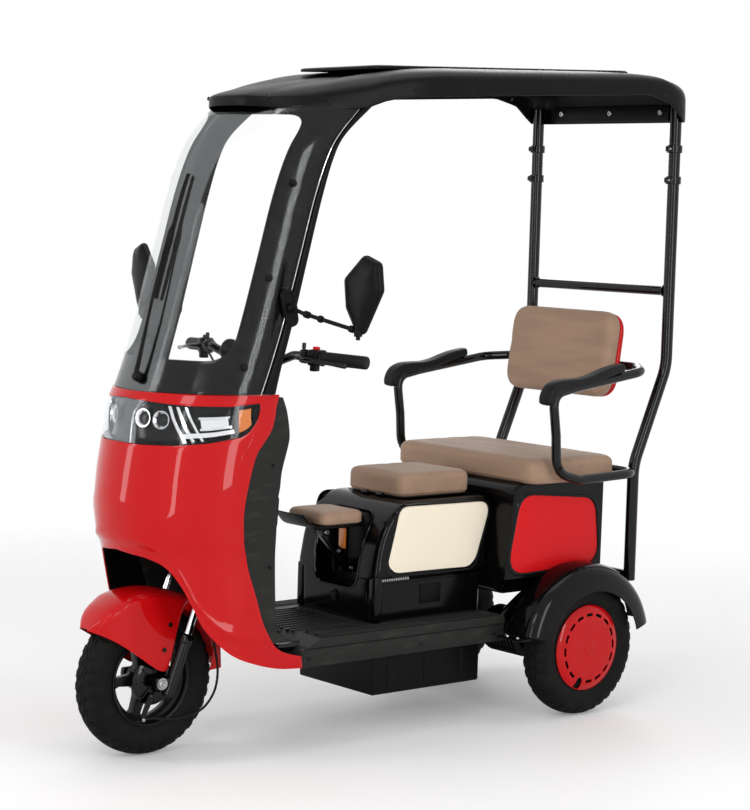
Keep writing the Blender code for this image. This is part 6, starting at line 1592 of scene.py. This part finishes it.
# Cushions
def pad(half, corner, edge, steps=6):
    """A flat cushion: a rounded outline in plan whose rings draw in over an arc at the top and bottom edges.

    Ring height is h - e (1 - sin a) and its outline shrinks by e (1 - cos a), for an edge radius e.
    """
    half = np.asarray(half, float)
    outline = rounded_loop([(-half[0], -half[1]), (half[0], -half[1]), half[:2], (-half[0], half[1])], corner, 8)
    outline = even(outline, 120, closed=True)
    arc = np.linspace(0, math.pi / 2, steps)
    inset = np.concatenate([edge * (1 - np.cos(arc))[::-1], edge * (1 - np.cos(arc))])
    level = np.concatenate([-half[2] + edge * (1 - np.sin(arc))[::-1], half[2] - edge * (1 - np.sin(arc))])
    rings = [np.column_stack([outline * (1 - i / half[:2]), np.full(len(outline), z)]) for i, z in zip(inset, level)]
    return Patch(np.stack([rings[0] * (0, 0, 1)] + rings + [rings[-1] * (0, 0, 1)]), around=True)


UPRIGHT_LEAN = math.radians(8)
FLAT = np.eye(3)
UPRIGHT = np.array([(1, 0, 0), (0, math.sin(UPRIGHT_LEAN), math.cos(UPRIGHT_LEAN)),
                    (0, -math.cos(UPRIGHT_LEAN), math.sin(UPRIGHT_LEAN))])


def cushion(name, node, half, corner, edge, place, axes, body, inset):
    """A stuffed pad: a smaller pad is remeshed, blown up by cloth pressure and held near its full size.

    A point moves out along its normal by a share of the inset, plus half of room tanh(m / room) for the cloth's
    own move m, room being what the inset left on that axis, and the underside stays flat.
    """
    start = np.asarray(half, float) - inset
    made = bpy.data.objects.new(name, mesh_of(name, [pad(start, corner - inset / 2, edge)]))
    bpy.context.scene.collection.objects.link(made)
    voxel = made.modifiers.new("even", "REMESH")
    voxel.mode = "VOXEL"
    voxel.voxel_size = bpy.context.scene.tricycle_sizes.cushion_voxel
    settle(made, 180)
    before = vertices(made.data)
    move = normals(made.data) * inset
    blow_up(made, 4.0)
    room = np.array((inset, inset, inset + 0.003))
    move = 0.7 * move + 0.5 * room * np.tanh((vertices(made.data) - before) / room)
    move[:, 2] *= np.clip((before[:, 2] + start[2]) / (start[2] * 0.9), 0, 1) ** 0.7
    points = before + move
    points[:, 2] = np.maximum(points[:, 2], -start[2])
    points[:, 2] += start[2] - half[2]
    made.data.vertices.foreach_set("co", (points @ axes + place).ravel())
    made.data.update()
    made.data.materials.clear()
    made.data.materials.append(look("leather"))
    smooth = made.modifiers.new("smooth", "SMOOTH")
    smooth.iterations = 3
    smooth.factor = 0.4
    fine = made.modifiers.new("fine", "SUBSURF")
    fine.levels = fine.render_levels = 1
    settle(made, 180)
    carry(made, body, [node])
    return made


def vertices(mesh):
    points = np.empty(len(mesh.vertices) * 3)
    mesh.vertices.foreach_get("co", points)
    return points.reshape(-1, 3)


def normals(mesh):
    points = np.empty(len(mesh.vertices) * 3)
    mesh.vertices.foreach_get("normal", points)
    return points.reshape(-1, 3)


def blow_up(made, pressure):
    """Twenty steps of cloth with pressure and no gravity, kept as the mesh."""
    scene = bpy.context.scene
    cloth = made.modifiers.new("cloth", "CLOTH")
    cloth.settings.use_pressure = True
    cloth.settings.uniform_pressure_force = pressure
    cloth.settings.effector_weights.gravity = 0.0
    cloth.settings.tension_stiffness = cloth.settings.compression_stiffness = 18.0
    cloth.settings.bending_stiffness = 0.6
    cloth.settings.mass = 0.25
    cloth.point_cache.frame_start, cloth.point_cache.frame_end = 1, 20
    for step in range(1, 21):
        scene.frame_set(step)
    settle(made, 180)
    scene.frame_set(1)


def seam(cover, name, loop, radius, body):
    """A sewn piping line: a circle carried round a closed loop, point + r (cos a N + sin a Z).

    The loop's points first move sideways to the cover's nearest point at their height, and are evened out.
    """
    skin = vertices(cover.data)
    skin = skin[np.abs(skin[:, 2] - loop[0, 2]) < 0.003]
    apart = np.linalg.norm(skin[None, :, :2] - loop[:, None, :2], axis=2)
    loop = np.column_stack([skin[apart.argmin(1), :2], loop[:, 2]])
    loop = sum(np.roll(loop, k, 0) for k in (-1, 0, 1)) / 3
    ahead = unit(np.roll(loop, -1, 0) - np.roll(loop, 1, 0))
    across = unit(np.cross(ahead, (0.0, 0.0, 1.0)))
    a = np.linspace(0, 2 * np.pi, 11)[None, :, None]
    rows = loop[:, None] + radius * (np.cos(a) * across[:, None] + np.sin(a) * np.array((0.0, 0.0, 1.0)))
    return piece(name, Patch(np.concatenate([rows, rows[:1]])), "leather", body)


def welt(half_x, half_y, corner, z, place, count=140):
    """A rounded rectangle at one height, as points around a cushion."""
    loop = rounded_loop([(-half_x, -half_y), (half_x, -half_y), (half_x, half_y), (-half_x, half_y)], corner, 8)
    loop = even(loop, count, closed=True)
    return np.column_stack([loop, np.full(len(loop), z)]) + place


def cushions():
    """Saddle, bench, backrest and jump seat pads, with a piped seam round each of the flat ones."""
    saddle = np.array((0.0, 0.1525, 0.6245))
    made = cushion("rider_cushion", "rider_seat_cushion", (0.1150, 0.1255, 0.0325), 0.030, 0.011, saddle, FLAT,
                   "rider_seat", 0.004)
    seam(made, "rider_seam",welt(0.1128, 0.1233, 0.030, -0.0215, saddle), 0.0014, "rider_seat")
    bench = np.array((0.0, 0.500, 0.66015))
    made = cushion("bench_cushion", "passenger_cushion", (0.280, 0.160, 0.0345), 0.038, 0.013, bench, FLAT,
                   "body", 0.004)
    seam(made, "bench_seam",welt(0.2778, 0.1578, 0.038, -0.022, bench, 240), 0.0015, "body")
    back = np.array((0.0, 0.705, 0.955))
    cushion("back_cushion", "backrest_cushion", (0.198, 0.121, 0.0250), 0.052, 0.013, back, UPRIGHT, "body", 0.004)
    jump = np.array((0.0, -0.1285, 0.5477))
    made = cushion("jump_cushion", "jump_seat_cushion", (0.0775, 0.0710, 0.0190), 0.024, 0.009, jump, FLAT,
                   "jump_seat", 0.003)
    seam(made, "jump_seam",welt(0.0760, 0.0695, 0.024, -0.0125, jump), 0.0011, "jump_seat")


def pans():
    """Saddle base with a rim and hinge, and the backrest's painted shell."""
    base = brick((-0.098, 0.042, 0.5884), (0.098, 0.262, 0.5928), 0.002, 2)
    rim = brick((-0.1070, 0.0350, 0.5900), (0.1070, 0.2700, 0.5928), 0.0013, 2)
    piece("saddle_base", [base, rim], "satin_black", "rider_seat", ["rider_seat_pan"], sharp=30)
    hinge = [brick((sign * 0.030 - 0.012, 0.0265, 0.5885), (sign * 0.030 + 0.012, 0.0345, 0.5925), 0.0015)
             for sign in (1, -1)]
    knuckles = [turned([(0, -0.011), (0.0042, -0.011), (0.0045, -0.010), (0.0045, 0.010), (0.0042, 0.011), (0, 0.011)],
                       (sign * 0.030, 0.0275, 0.5935), (1, 0, 0), 20) for sign in (1, -1)]
    piece("saddle_hinge", hinge + knuckles, "black_steel", "rider_seat", sharp=30)
    shell = pad((0.192, 0.116, 0.0098), 0.058, 0.009)
    shell = Patch(shell.points @ UPRIGHT + (0.0, 0.705 + 0.0325 * math.cos(UPRIGHT_LEAN),
                                            0.955 - 0.0325 * math.sin(UPRIGHT_LEAN)), around=True)
    piece("backrest_shell_fine", shell, "red_paint", "body", ["backrest_shell"], sharp=30)


# Mirrors
def mirror(side, sign):
    """Oval bracket, collared arm, clamp joint, and a head lofted from a faceted outline with a glass."""
    z = 1.090
    base_y = float(np.interp(z, FRAME_AFT[:, 0], FRAME_AFT[:, 1])) - 0.022
    x0 = SHIELD_HALF + 0.0003
    tilt = turn_about("X", 16)
    outline = even(rounded_loop([(-0.019, -0.046), (0.019, -0.046), (0.019, 0.046), (-0.019, 0.046)], 0.019, 8), 48,
                   closed=True)
    rings = []
    for share, x in ((0.0, 0.0), (1.0, 0.0), (1.0, 0.005), (0.93, 0.0075), (0.80, 0.0080), (0.74, 0.0062), (0.0, 0.0062)):
        flat = outline * share
        rings.append(np.column_stack([np.full(len(flat), x), flat]))
    bracket = Patch(np.stack(rings), around=True).turned(tilt).moved((x0, base_y, z)).flipped(sign)
    boss = turned([(0, 0.0), (0.0125, 0.0), (0.0125, 0.012), (0.0105, 0.017), (0, 0.017)],
                  (sign * (x0 + 0.004), base_y, z), (sign, 0, 0), 32)
    pivot = np.array((0.440, base_y + 0.045, 1.047))
    near = np.array((x0 + 0.014, base_y, z))
    bend = np.array((0.290, base_y, z - 0.010))
    route = filleted([near, bend, pivot], 0.020, 8)
    rod = tube(mirrored(even(route, 40), sign), 0.0050, 20, 0.0008)
    direction = unit(pivot - bend)
    collars = [turned([(0.0048, -k * 0.5), (0.0078, -k * 0.5), (0.0086, -k * 0.35), (0.0086, k * 0.35), (0.0078, k * 0.5),
                       (0.0048, k * 0.5), (0.0048, -k * 0.5)], mirrored(bend + direction * d, sign),
                      mirrored(direction, sign), 28) for d, k in ((0.012, 0.014), (0.052, 0.010), (0.142, 0.012))]
    joint = turned([(0, -0.013), (0.0085, -0.013), (0.0100, -0.0110), (0.0100, 0.0110), (0.0085, 0.013), (0, 0.013)],
                   mirrored(pivot, sign), (0, 0, 1), 32)
    nut = turned([(0, 0.021), (0.0045, 0.021), (0.0052, 0.0190), (0.0052, 0.012), (0, 0.012)], mirrored(pivot, sign),
                 (0, 0, -1), 20)
    piece(f"mirror_arm_{side}_fine", [bracket, boss, rod, joint, nut] + collars, "satin_black", "body",
          [f"mirror_{side}"], sharp=32)
    shape = even(rounded_loop([(-0.006, -0.008), (0.014, -0.008), (0.066, 0.095), (0.058, 0.160), (0.010, 0.178),
                               (-0.048, 0.120), (-0.040, 0.050)], 0.016, 8), 120, closed=True)
    centre = np.array([0.010, 0.095])
    back = turn_about("Z", 10)
    rings = []
    for share, y in ((0.0, 0.0135), (0.90, 0.0135), (0.955, 0.0138), (0.985, 0.0120), (1.0, 0.0080), (0.99, 0.0020),
                     (0.94, -0.0040), (0.80, -0.0092), (0.55, -0.0124), (0.25, -0.0138), (0.0, -0.0140)):
        flat = centre + (shape - centre) * share
        rings.append(np.column_stack([flat[:, 0], np.full(len(flat), y), flat[:, 1]]))
    head = Patch(np.stack(rings), around=True).turned(back).moved(pivot).flipped(sign)
    piece(f"mirror_head_{side}", head, "satin_black", "body", sharp=40)
    rings = []
    for share, y in ((0.90, 0.0132), (0.90, 0.0142), (0.885, 0.0146), (0.0, 0.0146)):
        flat = centre + (shape - centre) * share
        rings.append(np.column_stack([flat[:, 0], np.full(len(flat), y), flat[:, 1]]))
    glass = Patch(np.stack(rings), around=True).turned(back).moved(pivot).flipped(sign)
    piece(f"mirror_glass_{side}", glass, "mirror_glass", "body", sharp=40)


def mirrors():
    for side, sign in SIDES:
        mirror(side, sign)


# Stage
CAMERA_PLACE = np.array((4.3089, -3.6547, 1.3221))
CAMERA_YAW, CAMERA_PITCH, CAMERA_ROLL = 49.4919, 5.0325, 1.8633
CAMERA_LENS = 97.274


def camera():
    """The photograph's view: yaw, then pitch, then roll about the view's own axis."""
    yaw, pitch, roll = (math.radians(a) for a in (CAMERA_YAW, CAMERA_PITCH, CAMERA_ROLL))
    ahead = np.array((-math.sin(yaw) * math.cos(pitch), math.cos(yaw) * math.cos(pitch), -math.sin(pitch)))
    right = unit(np.cross(ahead, (0, 0, 1)))
    up = np.cross(right, ahead)
    right, up = right * math.cos(roll) + up * math.sin(roll), up * math.cos(roll) - right * math.sin(roll)
    data = bpy.data.cameras.new("camera")
    data.lens, data.sensor_width = CAMERA_LENS, 36.0
    data.clip_end = 60.0
    made = bpy.data.objects.new("camera", data)
    view = np.column_stack([right, up, -ahead, CAMERA_PLACE])
    made.matrix_world = Matrix([*view.tolist(), (0, 0, 0, 1)])
    bpy.context.scene.collection.objects.link(made)
    bpy.context.scene.camera = made


def softbox(name, place, target, size, power, colour=(1, 1, 1)):
    data = bpy.data.lights.new(name, "AREA")
    data.shape = "RECTANGLE"
    data.size, data.size_y = size
    data.energy = power
    data.color = colour
    made = bpy.data.objects.new(name, data)
    made.location = place
    ahead = Vector(target) - Vector(place)
    made.rotation_mode = "QUATERNION"
    made.rotation_quaternion = ahead.to_track_quat("-Z", "Y")
    bpy.context.scene.collection.objects.link(made)


def stage():
    """Camera, pale floor that fades into the background, plain world light and soft boxes."""
    scene = bpy.context.scene
    scene.view_settings.view_transform = "Standard"
    camera()
    world = bpy.data.worlds.new("studio")
    scene.world = world
    world.use_nodes = True
    tree = world.node_tree
    path = tree.nodes.new("ShaderNodeLightPath")
    seen = tree.nodes.new("ShaderNodeMath")
    seen.operation = "MAXIMUM"
    also = tree.nodes.new("ShaderNodeMath")
    also.operation = "MAXIMUM"
    range_node = tree.nodes.new("ShaderNodeMapRange")
    range_node.inputs["To Min"].default_value = scene.tricycle_sizes.room_light
    range_node.inputs["To Max"].default_value = 1.0
    tree.links.new(path.outputs["Is Camera Ray"], seen.inputs[0])
    tree.links.new(path.outputs["Is Glossy Ray"], seen.inputs[1])
    tree.links.new(seen.outputs[0], also.inputs[0])
    tree.links.new(path.outputs["Is Transmission Ray"], also.inputs[1])
    tree.links.new(also.outputs[0], range_node.inputs["Value"])
    tree.links.new(range_node.outputs["Result"], tree.nodes["Background"].inputs["Strength"])
    tree.nodes["Background"].inputs["Color"].default_value = (1, 1, 1, 1)
    ring = np.linspace(0, 2 * np.pi, 96, endpoint=False)
    rows = [np.stack([np.cos(ring) * r, np.sin(ring) * r, 0 * ring], -1) for r in (0.0, 0.6, 1.2, 2.4, 4.0)]
    floor = bpy.data.objects.new("floor", mesh_of("floor", [Patch(np.stack(rows), around=True)], (0, 0, -1)))
    scene.collection.objects.link(floor)
    pale = Finish("floor_white", Base_Color=(0.93, 0.93, 0.93), Roughness=0.6, Specular_IOR_Level=0.2)
    spot = pale.node("ShaderNodeTexCoord", output="Object")
    far = pale.node("ShaderNodeVectorMath", {"operation": "LENGTH"}, {0: spot}, "Value")
    seen = pale.node("ShaderNodeLightPath", output="Is Camera Ray")
    glow = pale.mix(seen, (0.0, 0.0, 0.0), (0.16, 0.16, 0.16))
    pale.set(Alpha=pale.step(far, 3.8, 1.6), Emission_Color=glow, Emission_Strength=1.0)
    floor.data.materials.append(pale.material)
    softbox("key_box", (2.0, -3.4, 3.2), (0, -0.1, 0.8), (1.0, 1.0), 24)
    softbox("left_box", (4.0, -0.2, 1.6), (0, 0.1, 0.9), (0.70, 2.6), 44)
    softbox("near_box", (2.6, -3.8, 1.3), (0, -0.1, 0.9), (0.35, 2.2), 22)
    softbox("front_box", (-1.6, -3.9, 1.6), (0, -0.4, 0.9), (0.60, 2.6), 34)
    softbox("top_box", (0.2, 0.2, 4.2), (0, 0, 0.8), (2.4, 3.0), 38)
    softbox("back_box", (-2.6, 3.0, 2.4), (0, 0.2, 0.9), (1.0, 2.0), 18)



# Settings, operators and panel
class TricyclePaint(bpy.types.PropertyGroup):
    """Colours of the finishes that a user would change."""

    red: bpy.props.FloatVectorProperty(name="Paint", description="Colour of the painted shells",
                                       default=(0.560, 0.0012, 0.0032), subtype="COLOR", min=0, max=1)
    panel_red: bpy.props.FloatVectorProperty(name="Rear panels", description="Colour of the bench's side panels",
                                             default=(0.720, 0.0090, 0.0125), subtype="COLOR", min=0, max=1)
    cream: bpy.props.FloatVectorProperty(name="Front panels", description="Colour of the pedestal's side panels",
                                         default=(1.0, 0.90, 0.73), subtype="COLOR", min=0, max=1)
    leather: bpy.props.FloatVectorProperty(name="Cushions", description="Colour of the imitation leather",
                                           default=(0.400, 0.255, 0.170), subtype="COLOR", min=0, max=1)
    deck: bpy.props.FloatVectorProperty(name="Floor", description="Colour of the floor moulding",
                                        default=(0.0150, 0.0150, 0.0142), subtype="COLOR", min=0, max=1)


class TricycleSizes(bpy.types.PropertyGroup):
    """Sizes and levels that a user would change."""

    tread_depth: bpy.props.FloatProperty(name="Tread depth", description="Depth of the tyres' grooves",
                                         default=0.0034, min=0, max=0.006, unit="LENGTH")
    cushion_voxel: bpy.props.FloatProperty(name="Cushion grain", description="Cell of the cushions' remesh",
                                           default=0.005, min=0.004, max=0.010, unit="LENGTH")
    room_light: bpy.props.FloatProperty(name="Room light", description="Level of the plain light from all round",
                                        default=0.46, min=0, max=2, subtype="FACTOR")


def operator(idname, label, text, *builders):
    """An operator class that calls its builders in order."""
    def execute(self, context):
        for build in builders:
            build()
        return {"FINISHED"}
    return type("TRICYCLE_OT_" + idname, (bpy.types.Operator,),
                {"bl_idname": "tricycle." + idname, "bl_label": label, "__doc__": text, "execute": execute})


OPERATORS = [
    operator("stage", "Stage", "Camera, floor, world and lamps", stage),
    operator("brake_cable", "Brake cable", "Front brake's cable at its real length", brake_cable),
    operator("wheels", "Wheels", "Tyres, rims and hubcaps", wheels),
    operator("fenders", "Fenders", "Front and rear mudguards", fenders),
    operator("fork", "Fork", "Fork and front brake", fork, brake),
    operator("apron", "Apron", "Front apron, headlamp and leg shield", apron, headlamp, leg_shield),
    operator("windshield", "Windshield", "Sheet, surround, pillars and wiper", windshield, wiper),
    operator("canopy", "Canopy", "Roof, its top strip and bolts", canopy),
    operator("tubes", "Tubes", "Posts, armrests and floor frame", rear_posts, armrests, frame_tubes),
    operator("deck", "Deck", "Floor moulding and battery tray", deck, battery),
    operator("pedestal", "Pedestal", "Seat box, side panels and bench body", seat_box, side_panels, rear_box, axle),
    operator("handlebar", "Handlebar", "Bar, grips, switches, levers and display", handlebar, instrument),
    operator("jump_seat", "Jump seat", "Folding seat's pan and strut", jump_seat),
    operator("cushions", "Cushions", "Saddle, bench, backrest and jump seat cushions", cushions, pans),
    operator("mirrors", "Mirrors", "Arms, heads and glasses", mirrors),
]


class TRICYCLE_PT_pieces(bpy.types.Panel):
    """Lists the settings and one button for each group of pieces."""

    bl_label = "Tricycle"
    bl_idname = "TRICYCLE_PT_pieces"
    bl_space_type = "VIEW_3D"
    bl_region_type = "UI"
    bl_category = "Tricycle"

    def draw(self, context):
        for group in (context.scene.tricycle_paint, context.scene.tricycle_sizes):
            for key in group.bl_rna.properties.keys():
                if key not in ("rna_type", "name"):
                    self.layout.prop(group, key)
        for made in OPERATORS:
            self.layout.operator(made.bl_idname)


CLASSES = [TricyclePaint, TricycleSizes, *OPERATORS, TRICYCLE_PT_pieces]


def register():
    for made in CLASSES:
        bpy.utils.register_class(made)
    bpy.types.Scene.tricycle_paint = bpy.props.PointerProperty(type=TricyclePaint)
    bpy.types.Scene.tricycle_sizes = bpy.props.PointerProperty(type=TricycleSizes)


def unregister():
    del bpy.types.Scene.tricycle_sizes
    del bpy.types.Scene.tricycle_paint
    for made in reversed(CLASSES):
        bpy.utils.unregister_class(made)


def main():
    """Registers the classes, calls the operators in order and writes the two boxes."""
    register()
    for made in OPERATORS:
        getattr(bpy.ops.tricycle, made.bl_idname.split(".")[1])()


if __name__ == "__main__":
    main()
